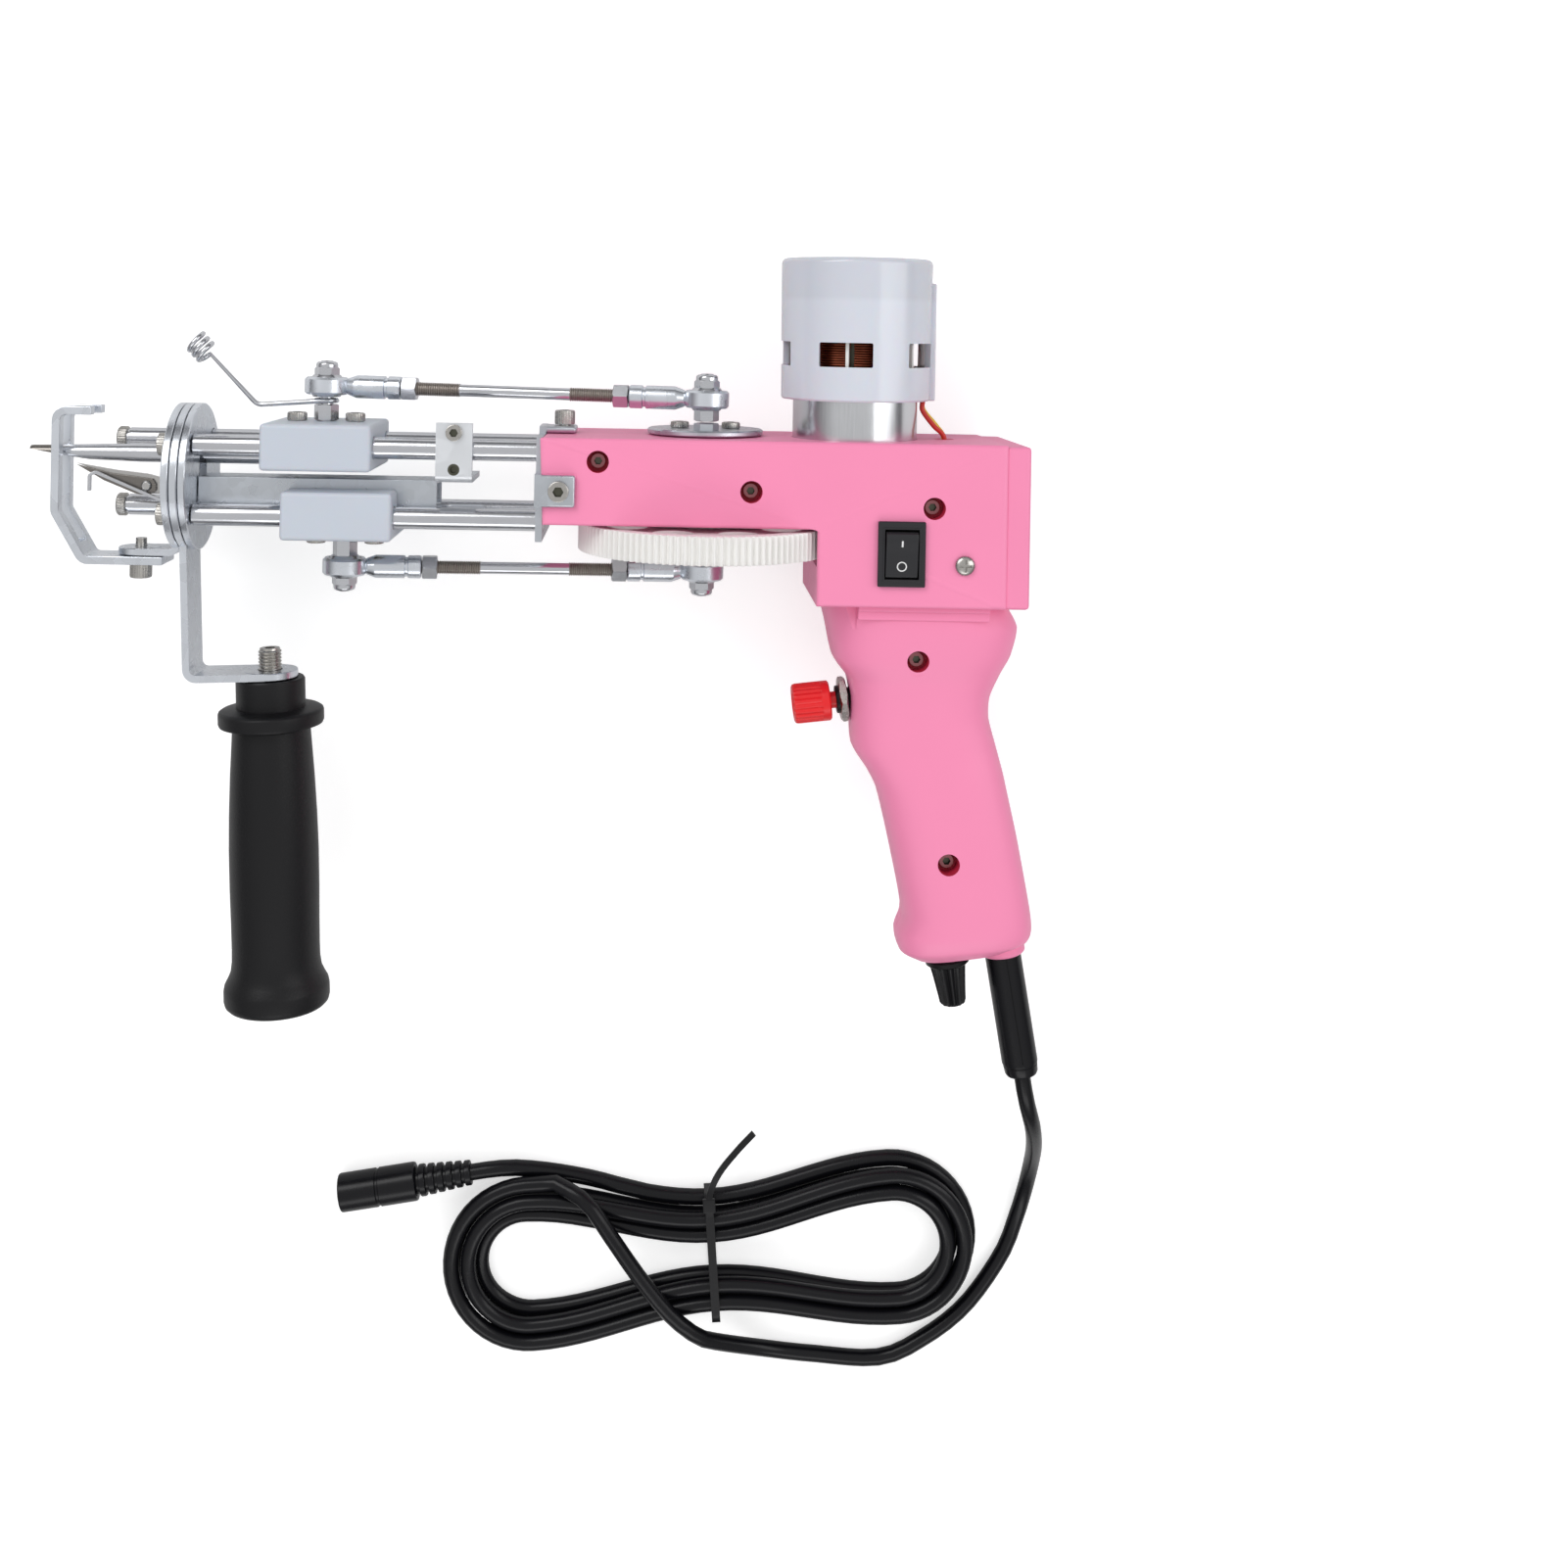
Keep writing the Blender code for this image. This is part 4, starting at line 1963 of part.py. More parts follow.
def smooth_route(places, spacing):
    """Points at even steps along a curve through places that bends as a laid cord does."""
    places = [np.array(place) for place in places]
    padded = [2 * places[0] - places[1], *places, 2 * places[-1] - places[-2]]
    dense = []
    for a, b, c, d in zip(padded, padded[1:], padded[2:], padded[3:]):
        for t in np.linspace(0, 1, 20, endpoint=False):
            dense.append(
                0.5 * (2 * b + (c - a) * t + (2 * a - 5 * b + 4 * c - d) * t**2
                       + (3 * b - a - 3 * c + d) * t**3)
            )
    dense.append(places[-1])
    dense = np.array(dense)
    along = np.concatenate([[0], np.cumsum(np.linalg.norm(np.diff(dense, axis=0), axis=1))])
    count = max(2, round(along[-1] / spacing))
    at = np.linspace(0, along[-1], count + 1)
    return np.stack([np.interp(at, along, dense[:, k]) for k in range(3)], axis=1)


def hank_place(turn):
    """The middle of the hank's cord after so many turns: it spirals in on top, steps down and spirals out."""
    station = (hank_start_station + turn * hank_stations) % hank_stations
    inset = hank_step * min(turn, hank_turns - turn)
    radius = hank_radius - inset
    run = hank_stations / 4
    lobe = hank_lobe_x
    draw_share = 0.0
    if station <= run / 2 or station >= hank_stations - run / 2:
        steps = station if station <= run / 2 else station - hank_stations
        x = -lobe * steps / (run / 2)
        draw_share = (1 + math.cos(math.pi * x / lobe)) / 2
        y = radius - hank_waist_draw * draw_share
    elif station < run * 1.5:
        angle = math.pi / 2 + math.pi * (station - run / 2) / run
        x, y = -lobe + radius * math.cos(angle), radius * math.sin(angle)
    elif station <= run * 2.5:
        x = lobe * ((station - run * 1.5) / (run / 2) - 1)
        draw_share = (1 + math.cos(math.pi * x / lobe)) / 2
        y = hank_waist_draw * draw_share - radius
    else:
        angle = -math.pi / 2 + math.pi * (station - run * 2.5) / run
        x, y = lobe + radius * math.cos(angle), radius * math.sin(angle)
    fall = min(1, max(0, (turn - hank_turns / 2) * 2 + 0.5))
    z = cord_rest_z + hank_layer_rise * (1 - fall) + tie_room * draw_share
    return Vector((x, y, z))


def hank_points():
    """The hank's middle line in the machine's frame, with straight ends one cord diameter long."""
    count = round(hank_turns * hank_stations)
    line = [hank_place(hank_turns * i / count) for i in range(count + 1)]
    diameter = cord_radius * 2
    first = Vector((diameter, 0, 0))
    last = Vector((-diameter * math.cos(hank_tail_angle), diameter * math.sin(hank_tail_angle), 0))
    line = [line[0] + first, *line, line[-1] + last]
    return [hank_matrix @ place for place in line]


def least_gap(line, diameter):
    """The least gap of a wound tube to itself, measured between points along its middle line."""
    corners = np.array([tuple(place) for place in line])
    lengths = np.concatenate([[0], np.cumsum(np.linalg.norm(np.diff(corners, axis=0), axis=1))])
    along = np.linspace(0, lengths[-1], round(lengths[-1] / (diameter / 3)))
    points = np.stack([np.interp(along, lengths, corners[:, k]) for k in range(3)], axis=1)
    distance = np.linalg.norm(points[:, None] - points[None], axis=2)
    apart = np.abs(along[:, None] - along[None]) > diameter * 4
    return distance[apart].min() - diameter


def power_cord():
    """The lead's free stretch, its hank with the tie, the tail and the connector at its end."""
    hank = hank_points()
    outlet_matrix = outlet_axis.matrix_local
    start = outlet_matrix @ Vector((0, -relief_length - seat_gap, 0))
    second = outlet_matrix @ Vector((0, -relief_length - cord_radius * 2, 0))
    into_hank = (hank[1] - hank[0]).normalized()
    lead_end = hank[0] - into_hank * seat_gap
    lead_before = hank[0] - into_hank * cord_radius * 2
    route = [second, *[Vector((x, grip_end_y - drop, z + table_z)) for x, drop, z in lead_route], lead_before]
    lead = [start, *smooth_route([tuple(place) for place in route], cord_radius * 5), lead_end]
    tube("cord_lead", [tuple(place) for place in lead], cord_radius, black_rubber)
    tube("cord_hank", [tuple(place) for place in hank], cord_radius, black_rubber, sides=1)

    out_of_hank = (hank[-1] - hank[-2]).normalized()
    tail_start = hank[-1] + out_of_hank * seat_gap
    tail_after = hank[-1] + out_of_hank * cord_radius * 2
    connector_matrix = connector_axis.matrix_local
    tail_end = connector_matrix @ Vector((-seat_gap, 0, 0))
    tail_before = connector_matrix @ Vector((-cord_radius * 2, 0, 0))
    route = [tail_after, *[Vector((x, grip_end_y - drop, z + table_z)) for x, drop, z in tail_route], tail_before]
    tail = [tail_start, *smooth_route([tuple(place) for place in route], cord_radius * 4), tail_end]
    tube("cord_tail", [tuple(place) for place in tail], cord_radius, black_rubber)
    print(f"least gap of the hank to itself: {least_gap(hank, cord_radius * 2) * 1000:.2f} mm")

    half_y = hank_radius - hank_waist_draw + cord_radius + seat_gap * 2
    high_z = cord_rest_z + hank_layer_rise + tie_room + cord_radius + seat_gap * 2
    low_z = table_z + cord_rest_gap
    inner_low = low_z + tie_thickness
    corner = cord_radius + seat_gap * 2
    inner = rounded_rectangle(half_y, inner_low, high_z, corner)
    outer = rounded_rectangle(half_y + tie_thickness, low_z, high_z + tie_thickness, corner + tie_thickness)
    tie = plate("cord_tie", [outer, inner], tie_half_width * 2, "x", (0, 0), 0, black_plastic)
    turn = Matrix(((1, 0, 0, 0), (0, 0, -1, 0), (0, 1, 0, 0), (0, 0, 0, 1)))
    tie.data.transform(hank_matrix @ turn)

    end = connector_relief_length + connector_length
    profile = [
        (0, end - connector_bore_depth),
        (connector_bore_radius, end - connector_bore_depth),
        (connector_bore_radius, end),
        (connector_radius - connector_edge, end),
        (connector_radius, end - connector_edge),
        (connector_radius, connector_relief_length + connector_edge),
        (connector_radius - connector_edge, connector_relief_length),
    ]
    width = connector_relief_length / connector_ribs
    for rib in range(connector_ribs):
        top = connector_relief_length - rib * width
        radius = connector_relief_radius * (1 - 0.25 * rib / connector_ribs)
        profile += [
            (radius * 0.82, top),
            (radius * 0.82, top - width * 0.3),
            (radius, top - width * 0.3),
            (radius, top - width),
        ]
    turned("dc_connector", [*profile, (0, 0)], "x", (0, 0), black_rubber, connector_axis, steps=small_steps)


def rounded_rectangle(half_width, low, high, radius, steps=3):
    """The corners of a rectangle between two heights, each rounded."""
    points = []
    for x, y, start in (
        (half_width - radius, high - radius, 0),
        (radius - half_width, high - radius, math.pi / 2),
        (radius - half_width, low + radius, math.pi),
        (half_width - radius, low + radius, math.pi * 1.5),
    ):
        points += circle(radius, steps, (x, y), start, math.pi / 2)
    return points


def stand_on_origin():
    """Sets the machine, without its cord, over the origin at the middle of its box."""
    bpy.context.view_layer.update()
    graph = bpy.context.evaluated_depsgraph_get()
    low, high = Vector((math.inf,) * 3), Vector((-math.inf,) * 3)
    for obj in machine_parts.objects:
        if obj.type == "EMPTY" or obj.name in cord_names:
            continue
        evaluated = obj.evaluated_get(graph)
        mesh = evaluated.to_mesh()
        for vert in mesh.vertices:
            place = evaluated.matrix_world @ vert.co
            low = Vector(map(min, low, place))
            high = Vector(map(max, high, place))
        evaluated.to_mesh_clear()
    middle = (low + high) / 2
    frame_body.location = (-middle.x, -middle.y, -low.z)
    bpy.context.view_layer.update()


housing_half("housing_near", 1)
housing_half("housing_far", -1)
rear_cover()
shaft_bearings()
drive_train()
motor_body()
front_plates()
guide_rods()
plate_screws()
rear_bracket()
guide_channel()
presser_foot()
needle_carriage_pieces()
blade_carriage_pieces()
crank_linkage("needle", needle_rod_length, needle_rod_pivot, needle_crank_seat,
              crank_disc_top_y + crank_nut_height + seat_gap * 2 - needle_crank_ball_y, 1)
crank_linkage("blade", blade_rod_length, blade_rod_pivot, blade_crank_seat,
              gear_bottom_y - seat_gap - blade_crank_ball_y, -1)
front_handle()
rocker_switch()
trigger_button()
speed_control()
strain_relief()
power_cord()
stand_on_origin()
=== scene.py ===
import bpy
import bmesh
import math
import numpy as np
from mathutils import Euler, Matrix, Vector
from mathutils.geometry import tessellate_polygon


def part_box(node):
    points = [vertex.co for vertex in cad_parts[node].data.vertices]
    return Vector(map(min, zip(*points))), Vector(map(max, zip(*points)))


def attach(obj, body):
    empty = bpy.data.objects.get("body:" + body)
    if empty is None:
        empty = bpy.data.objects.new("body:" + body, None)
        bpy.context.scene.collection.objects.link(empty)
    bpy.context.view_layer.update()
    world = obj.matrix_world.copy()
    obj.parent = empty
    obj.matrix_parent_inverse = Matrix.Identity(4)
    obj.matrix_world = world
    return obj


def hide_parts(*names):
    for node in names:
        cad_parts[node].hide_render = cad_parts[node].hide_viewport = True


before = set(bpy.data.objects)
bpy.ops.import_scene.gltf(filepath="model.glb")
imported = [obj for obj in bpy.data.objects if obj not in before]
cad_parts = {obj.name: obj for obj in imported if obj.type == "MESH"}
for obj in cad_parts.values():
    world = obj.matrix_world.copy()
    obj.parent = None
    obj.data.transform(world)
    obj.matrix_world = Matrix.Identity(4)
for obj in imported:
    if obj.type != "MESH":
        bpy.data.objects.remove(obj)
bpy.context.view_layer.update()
gearLow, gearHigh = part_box("drive_gear")
gearTopY, gearBottomY = -0.0183, -0.0283
shaftCentre = Vector(((gearLow.x + gearHigh.x) / 2, gearHigh.y - gearTopY, (gearLow.z + gearHigh.z) / 2))
home = Matrix.Translation(shaftCentre)  # every size below is measured from the middle of the drive shaft
tableZ = -shaftCentre.z
gap = 0.0003  # between a piece and its neighbour
past = 0.002  # how far a cutter reaches beyond what it cuts
still = Matrix.Identity(4)


# forms
def axisPlace(axis, place=(0, 0)):
    # a seat whose own Z runs along the machine's X or Y, through the given place
    a, b = place
    centre, turn = ((0, a, b), (0, math.pi / 2, 0)) if axis == "x" else ((a, 0, b), (-math.pi / 2, 0, 0))
    return Matrix.Translation(centre) @ Euler(turn).to_matrix().to_4x4()


def turnZ(angle):
    return Matrix.Rotation(angle, 4, "Z")


def seatAt(x, y, z=0.0, turn=0.0):
    return Matrix.Translation((x, y, z)) @ turnZ(turn)


def outward(bm):
    bmesh.ops.recalc_face_normals(bm, faces=bm.faces)
    return bm


def skinned(bm, rows, ring=False, caps=False):
    # faces from each row of corners to the next, in a ring from the last row to the first as well
    for lower, upper in zip(rows, rows[1:] + (rows[:1] if ring else [])):
        for i in range(len(lower)):
            j = (i + 1) % len(lower)
            corners = dict.fromkeys((lower[i], lower[j], upper[j], upper[i]))
            if len(corners) > 2:
                bm.faces.new(list(corners))
    if caps:
        bm.faces.new(rows[0])
        bm.faces.new(rows[-1])
    return outward(bm)


def lathe(profile, matrix=still, steps=56, ring=False, grooves=0, depth=0.0, flat=0.5):
    # rows of the profile are (radius, height), on a grooved form also the share of the grooves' depth
    bm = bmesh.new()
    rows = []
    for radius, height, *share in profile:
        if radius < 1e-7:
            rows.append([bm.verts.new(matrix @ Vector((0, 0, height)))] * steps)
            continue
        row = []
        for i in range(steps):
            turn = 2 * math.pi * i / steps
            reach = radius
            if share:
                reach -= depth * share[0] * (1 - (0.5 + 0.5 * math.cos(grooves * turn)) ** flat)
            row.append(bm.verts.new(matrix @ Vector((reach * math.cos(turn), reach * math.sin(turn), height))))
        rows.append(row)
    return skinned(bm, rows, ring)


def slab(outline, low, high, matrix=still):
    bm = bmesh.new()
    bottom = [bm.verts.new(matrix @ Vector((x, y, low))) for x, y in outline]
    top = [bm.verts.new(matrix @ Vector((x, y, high))) for x, y in outline]
    for a, b, c in tessellate_polygon([[Vector((x, y, 0)) for x, y in outline]]):
        bm.faces.new((bottom[a], bottom[b], bottom[c]))
        bm.faces.new((top[c], top[b], top[a]))
    for i in range(len(outline)):
        j = (i + 1) % len(outline)
        bm.faces.new((bottom[i], bottom[j], top[j], top[i]))
    bmesh.ops.dissolve_limit(bm, angle_limit=0.002, verts=bm.verts, edges=bm.edges)
    return outward(bm)


def block(low, high, matrix=still):
    bm = bmesh.new()
    size = Vector(high) - Vector(low)
    middle = (Vector(high) + Vector(low)) / 2
    bmesh.ops.create_cube(bm, size=1, matrix=matrix @ Matrix.Translation(middle) @ Matrix.Diagonal((*size, 1)))
    return bm


def rod(radius, start, end, matrix=still, steps=40, edge=0.0, bore=0.0):
    rim = [(radius, start), (radius, end)]
    if edge:
        rim = [(radius - edge, start), (radius, start + edge), (radius, end - edge), (radius - edge, end)]
    return lathe([(bore, start), *rim, (bore, end)], matrix, steps, ring=bore > 0)


def hexagon(radius, start, end, matrix=still):
    return rod(radius, *sorted((start, end)), matrix, 6, radius * 0.07)


def softened(bm, width, segments=2, angle=35):
    edges = [e for e in bm.edges if len(e.link_faces) == 2 and e.calc_face_angle(0) > math.radians(angle)]
    if edges:
        bmesh.ops.bevel(bm, geom=edges, offset=width, segments=segments, profile=0.5, affect="EDGES",
                        clamp_overlap=True)
    return bm


def joined(*parts):
    whole = bmesh.new()
    for part in parts:
        mesh = bpy.data.meshes.new("part")
        part.to_mesh(mesh)
        whole.from_mesh(mesh)
        bpy.data.meshes.remove(mesh)
        part.free()
    return whole


def asObject(name, bm):
    mesh = bpy.data.meshes.new(name)
    bm.to_mesh(mesh)
    bm.free()
    obj = bpy.data.objects.new(name, mesh)
    bpy.context.scene.collection.objects.link(obj)
    return obj


def plainMesh(obj):
    bpy.context.view_layer.update()
    evaluated = obj.evaluated_get(bpy.context.evaluated_depsgraph_get())
    return bpy.data.meshes.new_from_object(evaluated, depsgraph=bpy.context.evaluated_depsgraph_get())


def shaped(base, operation, *others):
    target = asObject("target", base)
    tools = [asObject("tool", other) for other in others]
    for tool in tools:
        modifier = target.modifiers.new("shape", "BOOLEAN")
        modifier.operation = operation
        modifier.solver = "MANIFOLD"
        modifier.object = tool
    mesh = plainMesh(target)
    result = bmesh.new()
    result.from_mesh(mesh)
    for obj in (target, *tools):
        data = obj.data
        bpy.data.objects.remove(obj)
        bpy.data.meshes.remove(data)
    bmesh.ops.remove_doubles(result, verts=result.verts, dist=1e-6)
    bmesh.ops.dissolve_limit(result, angle_limit=0.004, verts=result.verts, edges=result.edges)
    return result


def less(base, *others):
    return shaped(base, "DIFFERENCE", *others)


def plus(base, *others):
    return shaped(base, "UNION", *others)


def copyOf(node, width=0, angle=35):
    bm = bmesh.new()
    bm.from_mesh(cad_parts[node].data)
    bmesh.ops.remove_doubles(bm, verts=bm.verts, dist=2e-6)
    bmesh.ops.dissolve_limit(bm, angle_limit=0.004, verts=bm.verts, edges=bm.edges)
    bmesh.ops.transform(bm, matrix=home.inverted(), verts=bm.verts)
    return softened(bm, width, angle=angle) if width else bm


def roundCurve(name, points, radius, sides):
    curve = bpy.data.curves.new(name, "CURVE")
    curve.dimensions = "3D"
    curve.bevel_depth = radius
    curve.bevel_resolution = sides
    curve.use_fill_caps = True
    spline = curve.splines.new("POLY")
    spline.points.add(len(points) - 1)
    for point, spot in zip(spline.points, points):
        point.co = (*spot, 1)
    obj = bpy.data.objects.new(name, curve)
    bpy.context.scene.collection.objects.link(obj)
    return obj


def wire(points, radius, sides):
    obj = roundCurve("wire", points, radius, sides)
    mesh = plainMesh(obj)
    bpy.data.objects.remove(obj)
    bm = bmesh.new()
    bm.from_mesh(mesh)
    bmesh.ops.remove_doubles(bm, verts=bm.verts, dist=1e-7)
    return outward(bm)


def splined(rows, parts, bend=1.0):
    # a smooth run through the rows, nearer to the straight one where bend is under 1
    rows = [np.array(tuple(row)) for row in rows]
    padded = [2 * rows[0] - rows[1], *rows, 2 * rows[-1] - rows[-2]]
    out = []
    for a, b, c, d in zip(padded, padded[1:], padded[2:], padded[3:]):
        for t in np.linspace(0, 1, parts, endpoint=False):
            smooth = 0.5 * (2 * b + (c - a) * t + (2 * a - 5 * b + 4 * c - d) * t**2
                            + (3 * b - a - 3 * c + d) * t**3)
            out.append(bend * smooth + (1 - bend) * (b + (c - b) * t))
    return [*out, rows[-1]]


def smoothLine(places, spacing):
    dense = np.array(splined(places, 16))
    along = np.concatenate([[0], np.cumsum(np.linalg.norm(np.diff(dense, axis=0), axis=1))])
    count = max(2, round(along[-1] / spacing))
    at = np.linspace(0, along[-1], count + 1)
    return np.stack([np.interp(at, along, dense[:, k]) for k in range(3)], axis=1)


def threads(radius, depth, start, end, pitch):
    # a run of thread crests for a lathe profile, from start to end
    count = max(1, round(abs(end - start) / pitch))
    step = (end - start) / count
    run = []
    for i in range(count):
        run += [(radius - depth, start + step * i), (radius, start + step * (i + 0.35)),
                (radius, start + step * (i + 0.55)), (radius - depth, start + step * (i + 0.9))]
    return run


# Geometry Nodes that repeat one shape
def repeaterTree(onRing):
    tree = bpy.data.node_groups.new("ringOfShapes" if onRing else "shapesOnPoints", "GeometryNodeTree")
    entries = {"Points": "NodeSocketGeometry", "Shape": "NodeSocketObject", "Finish": "NodeSocketMaterial"}
    if onRing:
        del entries["Points"]
        entries.update({"Count": "NodeSocketInt", "Radius": "NodeSocketFloat"})
    for name, kind in entries.items():
        tree.interface.new_socket(name, in_out="INPUT", socket_type=kind)
    tree.interface.new_socket("Geometry", in_out="OUTPUT", socket_type="NodeSocketGeometry")
    new, link = tree.nodes.new, tree.links.new
    start, end = new("NodeGroupInput"), new("NodeGroupOutput")
    place, info = new("GeometryNodeInstanceOnPoints"), new("GeometryNodeObjectInfo")
    realise, paint = new("GeometryNodeRealizeInstances"), new("GeometryNodeSetMaterial")
    turn = new("FunctionNodeEulerToRotation")
    if onRing:
        ring, index = new("GeometryNodeMeshCircle"), new("GeometryNodeInputIndex")
        share, angle, spin = new("ShaderNodeMath"), new("ShaderNodeMath"), new("ShaderNodeCombineXYZ")
        share.operation, angle.operation = "DIVIDE", "MULTIPLY"
        angle.inputs[1].default_value = 2 * math.pi
        link(start.outputs["Count"], ring.inputs["Vertices"])
        link(start.outputs["Radius"], ring.inputs["Radius"])
        link(index.outputs[0], share.inputs[0])
        link(start.outputs["Count"], share.inputs[1])
        link(share.outputs[0], angle.inputs[0])
        link(angle.outputs[0], spin.inputs["Z"])
        link(spin.outputs[0], turn.inputs[0])
        link(ring.outputs["Mesh"], place.inputs["Points"])
    else:
        facing = new("GeometryNodeInputNamedAttribute")
        facing.data_type = "FLOAT_VECTOR"
        facing.inputs["Name"].default_value = "facing"
        link(facing.outputs["Attribute"], turn.inputs[0])
        link(start.outputs["Points"], place.inputs["Points"])
    link(turn.outputs[0], place.inputs["Rotation"])
    link(start.outputs["Shape"], info.inputs["Object"])
    link(info.outputs["Geometry"], place.inputs["Instance"])
    link(place.outputs[0], realise.inputs[0])
    link(realise.outputs[0], paint.inputs["Geometry"])
    link(start.outputs["Finish"], paint.inputs["Material"])
    link(paint.outputs[0], end.inputs[0])
    return tree


ringTree = repeaterTree(True)
pointsTree = repeaterTree(False)


def runTree(tree, base, **values):
    modifier = base.modifiers.new("repeat", "NODES")
    modifier.node_group = tree
    for item in tree.interface.items_tree:
        if item.in_out == "INPUT" and item.name in values:
            modifier[item.identifier] = values[item.name]
    mesh = plainMesh(base)
    bm = bmesh.new()
    bm.from_mesh(mesh)
    bpy.data.objects.remove(base)
    return bm


def ringOf(shape, count, radius, matrix, finish):
    pattern = asObject("pattern", shape)
    bm = runTree(ringTree, asObject("ring", bmesh.new()), Shape=pattern, Finish=finish.material,
                 Count=count, Radius=radius)
    bpy.data.objects.remove(pattern)
    bmesh.ops.transform(bm, matrix=matrix, verts=bm.verts)
    return bm


def onPoints(shape, matrices, finish):
    pattern = asObject("pattern", shape)
    points = bmesh.new()
    layer = points.verts.layers.float_vector.new("facing")
    for matrix in matrices:
        vert = points.verts.new(matrix.translation)
        vert[layer] = Vector(matrix.to_euler())
    bm = runTree(pointsTree, asObject("points", points), Shape=pattern, Finish=finish.material)
    bpy.data.objects.remove(pattern)
    return bm


# finishes
class Socket:
    def __init__(self, tree, out):
        self.tree, self.out = tree, out

    def maths(self, operation, other):
        node = self.tree.nodes.new("ShaderNodeMath")
        node.operation = operation
        for entry, value in zip(node.inputs, (self, other)):
            if isinstance(value, Socket):
                self.tree.links.new(value.out, entry)
            else:
                entry.default_value = value
        return Socket(self.tree, node.outputs[0])

    def __add__(self, other):
        return self.maths("ADD", other)

    def __sub__(self, other):
        return self.maths("SUBTRACT", other)

    def __mul__(self, other):
        return self.maths("MULTIPLY", other)


class Finish:
    def __init__(self, name, slot, colour, roughness, **fixed):
        self.material = bpy.data.materials.new(name)
        self.material.use_nodes = True
        self.tree = self.material.node_tree
        self.shader = self.tree.nodes["Principled BSDF"]
        self.slot = slot
        self.colour = colour
        self.shader.inputs["Base Color"].default_value = (*colour, 1)
        self.shader.inputs["Roughness"].default_value = roughness
        for key, value in fixed.items():
            self.shader.inputs[key.replace("_", " ")].default_value = value

    def node(self, kind, settings=None, values=None, out=0):
        node = self.tree.nodes.new(kind)
        for key, value in (settings or {}).items():
            setattr(node, key, value)
        for key, value in (values or {}).items():
            if isinstance(value, Socket):
                self.tree.links.new(value.out, node.inputs[key])
            else:
                node.inputs[key].default_value = value
        return Socket(self.tree, node.outputs[out])

    def places(self, scale=(1, 1, 1)):
        spot = self.node("ShaderNodeTexCoord", out=3)
        return self.node("ShaderNodeMapping", values={"Vector": spot, "Scale": scale})

    def noise(self, scale, detail, stretch=(1, 1, 1)):
        return self.node("ShaderNodeTexNoise", values={
            "Vector": self.places(stretch), "Scale": scale, "Detail": detail, "Roughness": 0.5})

    def tint(self, mask, dark, light):
        mix = self.node("ShaderNodeMix", {"data_type": "RGBA"}, {
            0: mask, 6: (*[c * dark for c in self.colour], 1),
            7: (*[min(1, c * light) for c in self.colour], 1)}, out=2)
        self.tree.links.new(mix.out, self.shader.inputs["Base Color"])

    def rough(self, value):
        self.tree.links.new(value.out, self.shader.inputs["Roughness"])

    def relief(self, height, distance):
        bump = self.node("ShaderNodeBump", values={"Height": height, "Distance": distance, "Strength": 1.0})
        self.tree.links.new(bump.out, self.shader.inputs["Normal"])


def moulded(name, slot, colour, roughness, grain=0.00002, scale=2200, spread=0.05, **fixed):
    finish = Finish(name, slot, colour, roughness, **fixed)
    cloud = finish.noise(28, 3)
    fine = finish.noise(scale, 2)
    finish.tint(cloud, 1 - spread, 1 + spread)
    finish.rough(cloud * 0.12 + (roughness - 0.08) + fine * 0.04)
    finish.relief(fine, grain)
    return finish


def plated(name, slot, colour, roughness, spangle=180, spread=0.14, **fixed):
    finish = Finish(name, slot, colour, roughness, Metallic=1.0, **fixed)
    cell = finish.node("ShaderNodeTexVoronoi", values={"Vector": finish.places(), "Scale": spangle}, out=1)
    grey = finish.node("ShaderNodeSeparateColor", values={"Color": cell})
    cloud = finish.noise(60, 4)
    finish.tint(grey * 0.45 + cloud * 0.55, 1 - spread, 1 + spread)
    finish.rough(grey * 0.10 + cloud * 0.18 + (roughness - 0.14))
    finish.relief(finish.noise(1500, 2), 0.000015)
    return finish


def drawn(name, slot, colour, roughness, axis=0, spread=0.10, **fixed):
    # metal with fine lines along one axis
    finish = Finish(name, slot, colour, roughness, Metallic=1.0, **fixed)
    stretch = [1, 1, 1]
    stretch[axis] = 0.03
    lines = finish.noise(2600, 3, tuple(stretch))
    cloud = finish.noise(45, 3)
    finish.tint(cloud * 0.6 + lines * 0.4, 1 - spread, 1 + spread)
    finish.rough(lines * 0.10 + cloud * 0.12 + (roughness - 0.11))
    finish.relief(lines, 0.00001)
    return finish


pink = moulded("pinkPlastic", "pink_plastic", (0.945, 0.275, 0.478), 0.42, grain=0.000012, spread=0.025)
# a slightly darker copy of the housing pink for the rear cover, which is the same plastic: painted shade
pinkShadedCover = moulded("pinkPlasticCoverShaded", "pink_plastic", (0.930, 0.265, 0.465), 0.45, grain=0.000012, spread=0.03)
# the housing pink darkened for the screw recesses' walls and floors: painted shade
pinkRecessShade = moulded("pinkRecessShade", "pink_plastic", (0.62, 0.030, 0.085), 0.50, grain=0.000012, spread=0.03)
blackPlastic = moulded("blackPlastic", "black_plastic", (0.006, 0.006, 0.007), 0.34, grain=0.00003,
                       Specular_IOR_Level=0.25)
switchBlack = moulded("switchPlastic", "black_plastic", (0.021, 0.021, 0.024), 0.30, grain=0.00001,
                      Specular_IOR_Level=0.35)
gripRubber = moulded("gripRubber", "black_rubber", (0.007, 0.007, 0.008), 0.42, grain=0.00006, scale=1500,
                     Specular_IOR_Level=0.25)
cordRubber = moulded("cordJacket", "black_rubber", (0.004, 0.004, 0.0055), 0.26, grain=0.00001, scale=900,
                     Specular_IOR_Level=0.25)
gearNylon = moulded("gearNylon", "white_nylon", (0.92, 0.91, 0.89), 0.45, grain=0.00001, spread=0.02)
slideNylon = moulded("slideNylon", "milky_nylon", (0.565, 0.61, 0.685), 0.38, grain=0.00002, spread=0.03,
                     Subsurface_Weight=0.15, Subsurface_Scale=0.004)
